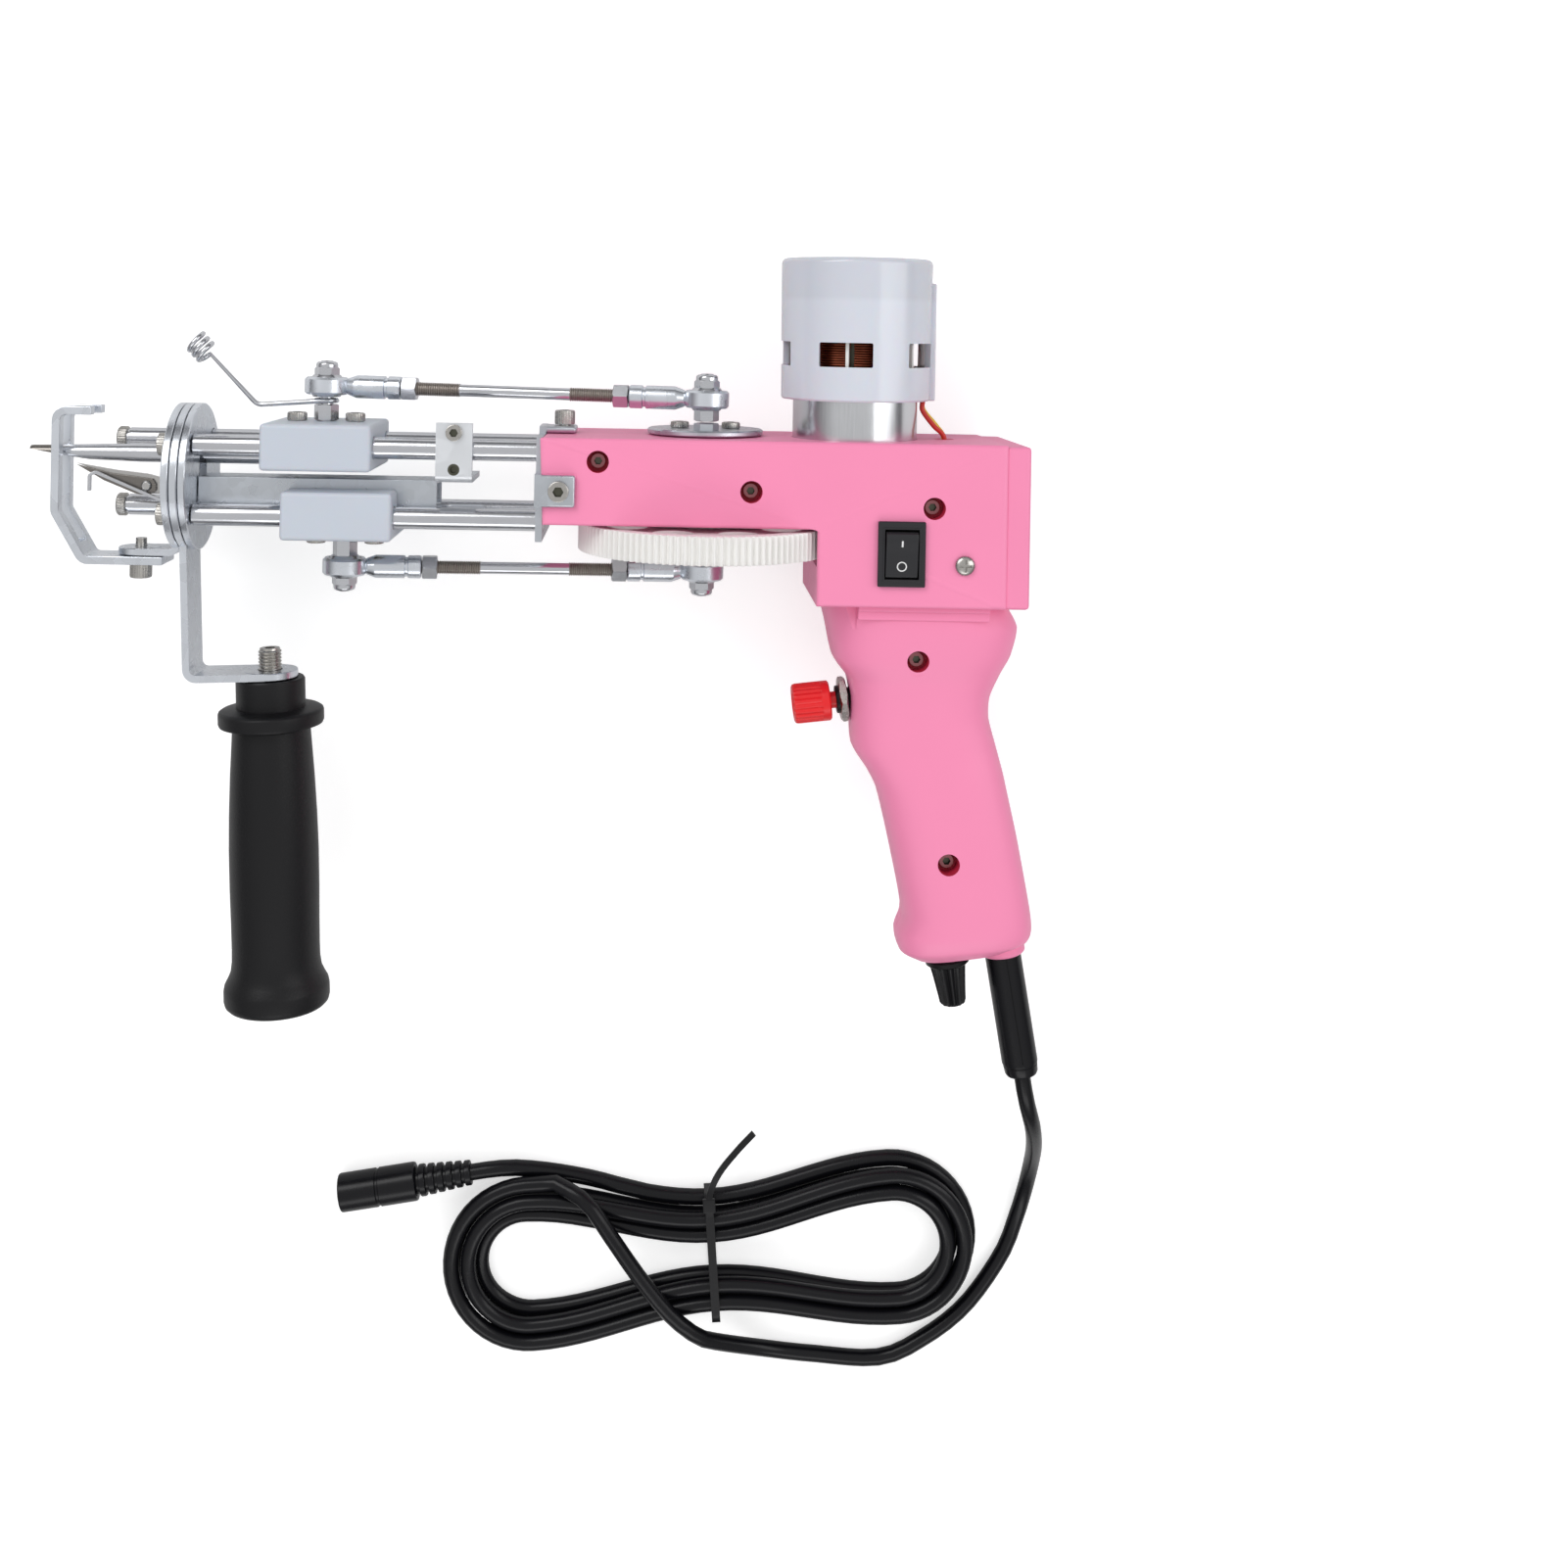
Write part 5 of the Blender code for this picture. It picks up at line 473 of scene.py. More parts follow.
capNylon = moulded("capNylon", "milky_nylon", (0.665, 0.690, 0.765), 0.20, grain=0.000006, spread=0.02,
                   Subsurface_Weight=0.2, Subsurface_Scale=0.004, Coat_Weight=0.25)
capSplit = capNylon.node("ShaderNodeSeparateXYZ", values={"Vector": capNylon.places()}, out=1)
capEndMask = capNylon.node("ShaderNodeMapRange", {"interpolation_type": "SMOOTHSTEP"},
                        {"Value": capSplit, "From Min": shaftCentre.y + 0.0625, "From Max": shaftCentre.y + 0.0650})
capNylon.tint(capEndMask + (capNylon.noise(28, 3) - 0.5) * 0.4, 1.0, 0.93)  # darker over the cap's closed end, in faint clouds
redPlastic = moulded("redPlastic", "red_plastic", (0.80, 0.008, 0.012), 0.34, grain=0.00001, spread=0.05)
leadRed = moulded("leadRed", "lead_red", (0.62, 0.03, 0.02), 0.40)
leadYellow = moulded("leadYellow", "lead_red", (0.85, 0.60, 0.05), 0.40)
zinc = plated("zincSheet", "zinc_plate", (0.70, 0.73, 0.78), 0.27, spread=0.08)
galvanised = plated("galvanisedSheet", "zinc_plate", (0.56, 0.59, 0.63), 0.32, spangle=300, spread=0.10)
paleZinc = plated("paleZincSheet", "zinc_plate", (0.78, 0.80, 0.83), 0.46, spread=0.04)
bright = drawn("brightSteel", "steel", (0.60, 0.61, 0.64), 0.17)
canSteel = drawn("canSteel", "steel", (0.62, 0.63, 0.65), 0.20, axis=1, spread=0.2)
nickel = plated("nickelHardware", "steel", (0.46, 0.445, 0.42), 0.28, spangle=900, spread=0.06)
# steel darkened and reddened for the screws deep in the pink recesses: painted shade and painted pink reflected light
recessShadedScrewSteel = drawn("deepScrewsShaded", "dark_steel", (0.30, 0.12, 0.13), 0.30)
# dark steel for the motor's stator, also used as painted shade in screw sockets and in the hanger's hole
darkSteelAndHoleShade = drawn("darkSteelAndHoleShade", "dark_steel", (0.11, 0.11, 0.085), 0.40)
# darker steel for the moving blade, also painted shade inside the needle's bore and over its tip
scissorSteelAndTipShade = drawn("scissorSteelAndTipShade", "dark_steel", (0.22, 0.205, 0.19), 0.26, spread=0.2)
bladeSteel = drawn("bladeSteel", "steel", (0.52, 0.51, 0.50), 0.22, spread=0.15)
copper = plated("copperWinding", "dark_steel", (0.30, 0.085, 0.045), 0.40, spangle=1200, spread=0.3)
markWhite = moulded("switchMark", "black_plastic", (0.80, 0.80, 0.80), 0.5)


def finished(name, bm, finish, body, *nodes, angle=50, weighted=True, extra=None):
    # extra is (finish, test): faces whose middle passes the test get that finish
    bm.normal_update()
    obj = asObject(name, bm)
    obj.data.transform(home)
    obj.data.materials.clear()
    obj.data.materials.append(finish.material)
    for face in obj.data.polygons:
        face.material_index = 0
    if extra:
        obj.data.materials.append(extra[0].material)
        for face in obj.data.polygons:
            if extra[1](face.center - shaftCentre):
                face.material_index = 1
    obj.data.shade_smooth()
    obj.data.set_sharp_from_angle(angle=math.radians(angle))
    if weighted:
        modifier = obj.modifiers.new("normals", "WEIGHTED_NORMAL")
        modifier.keep_sharp = True
        mesh = plainMesh(obj)
        obj.modifiers.clear()
        obj.data = mesh
    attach(obj, body)
    if nodes:
        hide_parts(*nodes)
    return obj


print("stage: finishes are made")


# places that the pieces share, measured from the shaft
place = {
    "motorX": 0.0544, "topY": 0.0135, "barrelFloorY": -0.0170, "blockFloorY": -0.0438, "barrelFrontX": -0.0572,
    "blockFrontX": 0.0390, "blockBackX": 0.1044, "halfWidth": 0.0300, "wall": 0.0025,
    "trigger": (0.0404, -0.0832), "speed": (0.0910, -0.1727), "outlet": (0.1117, -0.1730),
    "rocker": (0.0681, -0.0248), "tabY": -0.0049,
}
crankRadius = 0.0120
# rod length, drop from the crank's ball to the slide's, height of the slide's ball
needleDrive = {"rod": 0.1387, "drop": 0.0020, "ballY": 0.0291}
bladeDrive = {"rod": 0.1311, "drop": 0.0013, "ballY": -0.0365}
slide = {"length": 0.0395, "half": 0.0225, "edge": 0.0015, "screwSpacing": 0.0212, "head": (0.0036, 0.0032, 0.0020),
         "depth": 0.0050, "needleTop": 0.0162, "needleBottom": -0.0005, "bladeTop": -0.0077, "bladeBottom": -0.0250,
         "rodBore": 0.0042, "studBore": 0.0028, "studDepth": 0.0058}
linkage = {"ball": 0.00635, "ballHalf": 0.0040, "eye": 0.0080, "eyeHalf": 0.00315, "eyeChamfer": 0.0008,
           "play": 0.0003, "stud": 0.0025, "spacer": 0.0045, "shank": 0.0055, "nut": (0.0046, 0.0051), "neck": 0.0031,
           "body": 0.0042, "bodyStart": 0.0105, "groove": 0.0058, "length": 0.0278, "boreDepth": 0.0150,
           "rod": 0.0022, "thread": (0.0025, 0.0365), "threadDepth": 0.00042, "jam": (0.0046, 0.0055),
           "pitch": 0.0008}
handleSpot, handleLean = (-0.1570, -0.0760), math.radians(2.2)
yAxis = axisPlace("y")
# both draw an outline out along X: the first reads it as (-z, y), the second as (y, z)
onEdge = Matrix(((0, 0, 1, 0), (0, 1, 0, 0), (-1, 0, 0, 0), (0, 0, 0, 1)))
onSide = Matrix(((0, 0, 1, 0), (1, 0, 0, 0), (0, 1, 0, 0), (0, 0, 0, 1)))


def ballX(drive):
    return -math.sqrt(drive["rod"]**2 - crankRadius**2 - drive["drop"]**2)


def pointing(direction):
    return Vector((1, 0, 0)).rotation_difference(Vector(direction)).to_matrix().to_4x4()


needleBallX, bladeBallX = ballX(needleDrive), ballX(bladeDrive)
needleTurn = pointing((-needleBallX, -needleDrive["drop"], crankRadius))
bladeTurn = pointing((-bladeBallX, -bladeDrive["drop"], -crankRadius))
seats = {
    "motor": seatAt(place["motorX"], 0),
    "needleSlide": seatAt(needleBallX, 0),
    "bladeSlide": seatAt(bladeBallX, 0),
    "needleRod": seatAt(needleBallX, needleDrive["ballY"]) @ needleTurn,
    "bladeRod": seatAt(bladeBallX, bladeDrive["ballY"]) @ bladeTurn,
    "handle": seatAt(*handleSpot, 0, handleLean),
    "rocker": seatAt(*place["rocker"], place["halfWidth"]),
    "trigger": seatAt(*place["trigger"], 0, math.radians(7)),
    "speed": seatAt(*place["speed"], 0, math.radians(9)),
    "outlet": seatAt(*place["outlet"], 0, math.radians(10)),
    "connector": seatAt(-0.0842, -0.2751, tableZ + 0.00705, math.pi + math.radians(10)),
}
seats["needleCrank"] = seats["needleRod"] @ Matrix.Translation((needleDrive["rod"], 0, 0)) @ needleTurn.inverted()
seats["bladeCrank"] = seats["bladeRod"] @ Matrix.Translation((bladeDrive["rod"], 0, 0)) @ bladeTurn.inverted()

# camera, floor and light
photo = {"camera": (-0.0200, 0.0564, 0.660), "focalPixels": 1848, "pixels": 1601, "turn": 1.0,
         "centreX": 666, "centreY": 323}
lightLevels = {"sky": 0.72, "floorGlow": 0.56, "mirrored": 0.15, "lamps": {  # place, size, power
    "windowLamp": ((-0.55, 0.75, 0.85), (0.9, 0.5), 5.2),
    "sideLamp": ((0.95, 0.25, 0.75), (0.5, 0.9), 3.0),
    "lowLamp": ((0.1, -0.95, 0.8), (1.0, 0.4), 2.5),
}}


def stageSet():
    scene = bpy.context.scene
    camera = bpy.data.cameras.new("camera")
    camera.sensor_width = 36
    camera.lens = 36 * photo["focalPixels"] / photo["pixels"]
    camera.shift_x = 0.5 - photo["centreX"] / photo["pixels"]
    camera.shift_y = photo["centreY"] / photo["pixels"] - 0.5
    view = bpy.data.objects.new("camera", camera)
    view.matrix_world = home @ Matrix.Translation(photo["camera"]) @ turnZ(math.radians(photo["turn"]))
    scene.collection.objects.link(view)
    scene.camera = view
    scene.view_settings.view_transform = "Standard"

    floorMesh = bpy.data.meshes.new("floor")
    floorMesh.from_pydata([(-8, -8, 0), (8, -8, 0), (8, 8, 0), (-8, 8, 0)], [], [(0, 1, 2, 3)])
    floor = bpy.data.objects.new("floor", floorMesh)
    scene.collection.objects.link(floor)
    finish = bpy.data.materials.new("paleFloor")
    finish.use_nodes = True
    floorMesh.materials.append(finish)
    nodes, links = finish.node_tree.nodes, finish.node_tree.links
    shader = nodes["Principled BSDF"]
    shader.inputs["Base Color"].default_value = (0.72, 0.72, 0.72, 1)
    shader.inputs["Roughness"].default_value = 0.7
    # the floor glows for the camera, and a little in what mirrors it, but lights nothing
    seen, glow = nodes.new("ShaderNodeLightPath"), nodes.new("ShaderNodeEmission")
    both, glossy, scaled = nodes.new("ShaderNodeAddShader"), nodes.new("ShaderNodeMath"), nodes.new("ShaderNodeMath")
    glossy.operation, scaled.operation = "MULTIPLY_ADD", "MULTIPLY"
    glossy.inputs[1].default_value = lightLevels["mirrored"]
    scaled.inputs[1].default_value = lightLevels["floorGlow"]
    links.new(seen.outputs["Is Glossy Ray"], glossy.inputs[0])
    links.new(seen.outputs["Is Camera Ray"], glossy.inputs[2])
    links.new(glossy.outputs[0], scaled.inputs[0])
    links.new(scaled.outputs[0], glow.inputs["Strength"])
    links.new(shader.outputs[0], both.inputs[0])
    links.new(glow.outputs[0], both.inputs[1])
    links.new(both.outputs[0], nodes["Material Output"].inputs["Surface"])

    world = bpy.data.worlds.new("studio")
    scene.world = world
    world.use_nodes = True
    nodes, links = world.node_tree.nodes, world.node_tree.links
    sky, path = nodes["Background"], nodes.new("ShaderNodeLightPath")
    spot, split = nodes.new("ShaderNodeTexCoord"), nodes.new("ShaderNodeSeparateXYZ")
    ramp = nodes.new("ShaderNodeValToRGB")
    white, mix = nodes.new("ShaderNodeBackground"), nodes.new("ShaderNodeMixShader")
    sky.inputs["Strength"].default_value = lightLevels["sky"]
    ramp.color_ramp.elements[0].color = (0.10, 0.10, 0.11, 1)
    ramp.color_ramp.elements[1].position = 0.75
    ramp.color_ramp.elements[1].color = (1, 1, 1, 1)
    links.new(spot.outputs["Generated"], split.inputs[0])
    links.new(split.outputs["Z"], ramp.inputs[0])
    links.new(ramp.outputs[0], sky.inputs["Color"])
    links.new(path.outputs["Is Camera Ray"], mix.inputs[0])
    links.new(sky.outputs[0], mix.inputs[1])
    links.new(white.outputs[0], mix.inputs[2])
    links.new(mix.outputs[0], nodes["World Output"].inputs["Surface"])
    white.inputs["Color"].default_value = (1, 1, 1, 1)
    for name, (spotAt, size, power) in lightLevels["lamps"].items():
        lamp = bpy.data.lights.new(name, "AREA")
        lamp.shape = "RECTANGLE"
        lamp.size, lamp.size_y = size
        lamp.energy = power
        obj = bpy.data.objects.new(name, lamp)
        obj.location = spotAt
        obj.rotation_euler = (Vector((0.02, -0.02, 0.04)) - Vector(spotAt)).to_track_quat("-Z", "Y").to_euler()
        scene.collection.objects.link(obj)


stageSet()
print("stage: camera, floor and lamps are set")

# the power cord
cordSizes = {
    "radius": 0.0030, "reliefLength": 0.0450, "hankX": 0.0093, "hankY": -0.3039, "hankTurn": math.radians(4.5),
    "halfLength": 0.1045, "innerFold": 0.0180, "step": 0.00672, "layerRise": 0.0066, "waistDraw": 0.0110,
    "turns": 94 / 24, "stations": 24, "startStation": 3, "tailAngle": math.radians(17), "tieRoom": 0.0015,
    "restGap": 0.00005, "finer": 4,
    # places that the free stretches pass, as (x, y, height over the table)
    "lead": ((0.1222, -0.2300, 0.0442), (0.1255, -0.2400, 0.0380), (0.1286, -0.2520, 0.0265),
             (0.1303, -0.2640, 0.0145), (0.1300, -0.2770, 0.0063), (0.1273, -0.2900, 0.0033),
             (0.1216, -0.3053, 0.00305), (0.1080, -0.3250, 0.00305), (0.0920, -0.3380, 0.00305),
             (0.0748, -0.3459, 0.00305), (0.0486, -0.3449, 0.00305), (0.0304, -0.3424, 0.0045),
             (0.0097, -0.3350, 0.0133), (0.0024, -0.3305, 0.0168), (-0.0073, -0.3222, 0.0178),
             (-0.0184, -0.3091, 0.0178), (-0.0296, -0.2939, 0.0174), (-0.0386, -0.2821, 0.0162),
             (-0.0479, -0.2780, 0.0122)),
    "tail": ((-0.0380, -0.2783, 0.00305), (-0.0540, -0.2754, 0.0039), (-0.0680, -0.2735, 0.0060)),
}
hankRadius = cordSizes["innerFold"] + cordSizes["step"] * cordSizes["turns"] / 2
hankLobe = cordSizes["halfLength"] - cordSizes["radius"] - hankRadius
cordRestZ = tableZ + cordSizes["radius"] + cordSizes["restGap"]


def hankPlace(turn):
    # the middle of the cord after so many turns: it spirals in on top, steps down and spirals out
    s = cordSizes
    station = (s["startStation"] + turn * s["stations"]) % s["stations"]
    radius = hankRadius - s["step"] * min(turn, s["turns"] - turn)
    run = s["stations"] / 4
    share = 0.0
    if station <= run / 2 or station >= s["stations"] - run / 2:
        steps = station if station <= run / 2 else station - s["stations"]
        x = -hankLobe * steps / (run / 2)
        share = (1 + math.cos(math.pi * x / hankLobe)) / 2
        y = radius - s["waistDraw"] * share
    elif station < run * 1.5:
        angle = math.pi / 2 + math.pi * (station - run / 2) / run
        x, y = -hankLobe + radius * math.cos(angle), radius * math.sin(angle)
    elif station <= run * 2.5:
        x = hankLobe * ((station - run * 1.5) / (run / 2) - 1)
        share = (1 + math.cos(math.pi * x / hankLobe)) / 2
        y = s["waistDraw"] * share - radius
    else:
        angle = -math.pi / 2 + math.pi * (station - run * 2.5) / run
        x, y = hankLobe + radius * math.cos(angle), radius * math.sin(angle)
    fall = min(1, max(0, (turn - s["turns"] / 2) * 2 + 0.5))
    return Vector((x, y, cordRestZ + s["layerRise"] * (1 - fall) + s["tieRoom"] * share))


hankSeat = seatAt(cordSizes["hankX"], cordSizes["hankY"], 0, cordSizes["hankTurn"])


def cordPath():
    s = cordSizes
    wide = s["radius"] * 2
    count = round(s["turns"] * s["stations"]) * s["finer"]
    hank = [hankPlace(s["turns"] * i / count) for i in range(count + 1)]
    hank = [hank[0] + Vector((wide, 0, 0)), *hank,
            hank[-1] + Vector((-wide * math.cos(s["tailAngle"]), wide * math.sin(s["tailAngle"]), 0))]
    hank = [hankSeat @ spot for spot in hank]
    start = seats["outlet"] @ Vector((0, -s["reliefLength"] + 0.0005, 0))
    second = seats["outlet"] @ Vector((0, -s["reliefLength"] - wide, 0))
    intoHank = (hank[1] - hank[0]).normalized()
    lead = [second, *[Vector((x, y, z + tableZ)) for x, y, z in s["lead"]], hank[0] - intoHank * wide]
    tailEnd = seats["connector"] @ Vector((0.0005, 0, 0))
    tailBefore = seats["connector"] @ Vector((-wide, 0, 0))
    outOfHank = (hank[-1] - hank[-2]).normalized()
    tail = [hank[-1] + outOfHank * wide, *[Vector((x, y, z + tableZ)) for x, y, z in s["tail"]], tailBefore]
    points = [start, *smoothLine(lead, 0.006), *hank, *smoothLine(tail, 0.006), tailEnd]
    return [home @ Vector(tuple(point)) for point in points]


def powerCord(withPieces):
    points = cordPath()
    cord = roundCurve("power_cord", points, cordSizes["radius"], 6)
    cord.data.splines[0].use_smooth = True
    cord.data.materials.append(cordRubber.material)
    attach(cord, "machine")
    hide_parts("cord_lead", "cord_hank", "cord_tail")


# fasteners
def capHead(radius, height, shank, length):
    edge = radius * 0.10
    body = lathe([(0, -length), (shank, -length), (shank, 0), (radius - edge, 0), (radius, edge, 1),
                  (radius, height - edge * 2, 1), (radius - edge * 0.4, height - edge * 0.6),
                  (radius - edge * 1.6, height), (0, height)],
                 steps=112, grooves=28, depth=radius * 0.05)
    return less(body, hexagon(radius * 0.52, height * 0.35, height + 0.001))


def panHead(radius, height, shank, length):
    dome = [(radius * math.cos(a), height * (0.3 + 0.7 * math.sin(a))) for a in np.linspace(0, math.pi / 2, 8)]
    body = lathe([(0, -length), (shank, -length), (shank, 0), (radius * 0.97, 0), *dome[:-1], (0, height)], steps=40)
    reach, thin = radius * 0.62, radius * 0.13
    cross = [block((-reach, -thin, height * 0.35), (reach, thin, height * 2)),
             block((-thin, -reach, height * 0.35), (thin, reach, height * 2))]
    return less(body, *cross)


def facing(axis, spot):
    # a seat whose own Z points along an axis of the machine
    turn = Vector((0, 0, 1)).rotation_difference(Vector(axis)).to_matrix().to_4x4()
    return Matrix.Translation(Vector(spot)) @ turn


def fastened(name, shape, matrices, finish, body, *nodes, angle=40, socket=darkSteelAndHoleShade):
    reach = max(v.co.xy.length for v in shape.verts)
    top = max(v.co.z for v in shape.verts)
    ways = [m.inverted() for m in matrices]

    # faces inside each head's socket or cross take the socket finish, dark steel unless given: painted shade
    def inShadedSocket(spot):
        local = min((way @ spot for way in ways), key=lambda place: place.length)
        return local.xy.length < reach * 0.62 and 0 < local.z < top * 0.93

    bm = onPoints(shape, matrices, finish)
    return finished(name, bm, finish, body, *nodes, angle=angle, extra=(socket, inShadedSocket))


# housing
grip = {
    "length": 0.1300, "reach": 0.0820, "half": 0.0180, "squareness": 3.2, "wall": 0.0028, "stations": 6,
    "sectionPoints": 30, "bend": 0.65,
    # front down, front forward, back down, back forward, half thickness, as shares
    "rows": ((-0.070, 0.018, -0.070, 0.800, 1.36), (0.008, 0.045, 0.006, 0.857, 1.36),
             (0.074, 0.071, 0.071, 0.910, 1.32), (0.168, 0.105, 0.148, 0.885, 1.22),
             (0.222, 0.167, 0.205, 0.838, 1.12), (0.272, 0.185, 0.265, 0.798, 1.06),
             (0.333, 0.187, 0.326, 0.794, 1.02), (0.417, 0.198, 0.403, 0.828, 1.00),
             (0.478, 0.261, 0.479, 0.862, 1.00), (0.545, 0.315, 0.541, 0.885, 1.00),
             (0.684, 0.371, 0.663, 0.930, 1.00), (0.872, 0.433, 0.847, 0.988, 1.00),
             (0.938, 0.406, 0.908, 1.000, 0.98), (0.981, 0.421, 0.940, 0.985, 0.90),
             (1.004, 0.489, 0.968, 0.902, 0.70)),
}
housing = {
    "edge": 0.0012, "web": 0.0030, "saddle": 0.0120, "bearing": (0.0080, 0.0050), "canRadius": 0.0225,
    "canBottom": -0.0030, "slotMargin": 0.0020, "leadHole": (0.0870, 0.0038), "boss": 0.0050,
    "shaftHole": 0.00525, "motorHole": 0.0096, "triggerHole": (0.0045, 0.0112, 0.0216), "speedHole": 0.0037,
    "rockerHole": (0.0075, 0.0106), "panHole": (0.0015, 0.0190), "blindHole": (0.0018, 0.0083),
    "recess": (0.0039, 0.0075), "screw": (0.0028, 0.0024, 0.0015, 0.0080), "panBite": 0.010,
    "screwPlaces": ((-0.0381, 0.0054, 0.0300), (0.0156, -0.0042, 0.0300), (0.0795, -0.0089, 0.0300),
                    (0.0759, -0.0638, 0.0223), (0.0886, -0.1365, 0.0180)),
    "panScrew": (0.0903, -0.0285, 0.0035, 0.0021), "relief": (0.0478, -0.0440, 0.0062, 0.0150, 0.0203),
    "outletBoss": (0.0082, 0.0075, 0.0065, 0.0050), "outletBore": 0.0033, "steps": (0.0051, 0.0020),
    "stepFaces": (0.0249, 0.0262), "stepWide": 0.006, "stepEnd": 0.1003, "wide": 0.06, "rim": 0.0006,
}
# the sheet in front of the housing: its screws are measured from the barrel's front
bracket = {"sheet": 0.0024, "hole": 0.0024, "rodHole": 0.0042, "topScrew": 0.0060, "sideScrew": 0.0057,
           "seat": 0.0001, "seatReach": 0.0118, "seatHalf": 0.0060, "tabHalf": 0.0057, "tabReach": 0.0115,
           "topReach": 0.0105, "topHalf": 0.0085, "half": 0.0245, "bottom": -0.0236, "inset": 0.0001,
           "fold": 0.0009, "screw": (0.0037, 0.0052, 0.0021, 0.0049), "sideHead": (0.0037, 0.0026, 0.0021, 0.0069)}


def gripHalf(side, inset, joint, fine=True):
    rows = splined(grip["rows"], grip["stations"] if fine else 2, grip["bend"])
    count = grip["sectionPoints"] if fine else 12
    bm = bmesh.new()
    rings = []
    for frontDown, frontShare, backDown, backShare, thick in rows:
        front = Vector((place["blockFrontX"] + frontShare * grip["reach"],
                        place["blockFloorY"] - frontDown * grip["length"]))
        back = Vector((place["blockFrontX"] + backShare * grip["reach"],
                       place["blockFloorY"] - backDown * grip["length"]))
        middle, half = (front + back) / 2, (back - front) / 2
        half = half * (1 - inset / half.length)
        middle = middle + Vector((0, inset * max(0, (frontDown + backDown) / 2) ** 6))
        depth = side * (grip["half"] * thick - inset)
        ring = [(*(middle - half), joint)]
        for i in range(1, count):
            angle = math.pi * (1 - i / count)
            power = 2 / grip["squareness"]
            across = math.copysign(abs(math.cos(angle)) ** power, math.cos(angle))
            ring.append((*(middle + half * across), depth * math.sin(angle) ** power))
        ring.append((*(middle + half), joint))
        rings.append([bm.verts.new(spot) for spot in ring])
    return skinned(bm, rings, caps=True)


def sideBlock(low, high, side, inner, outer, matrix=still):
    a, b = sorted((side * inner, side * outer))
    return block((*low, a), (*high, b), matrix)


def upright(radius, low, high, x=0.0, steps=48, matrix=still):
    return rod(radius, low, high, matrix @ axisPlace("y", (x, 0)), steps)


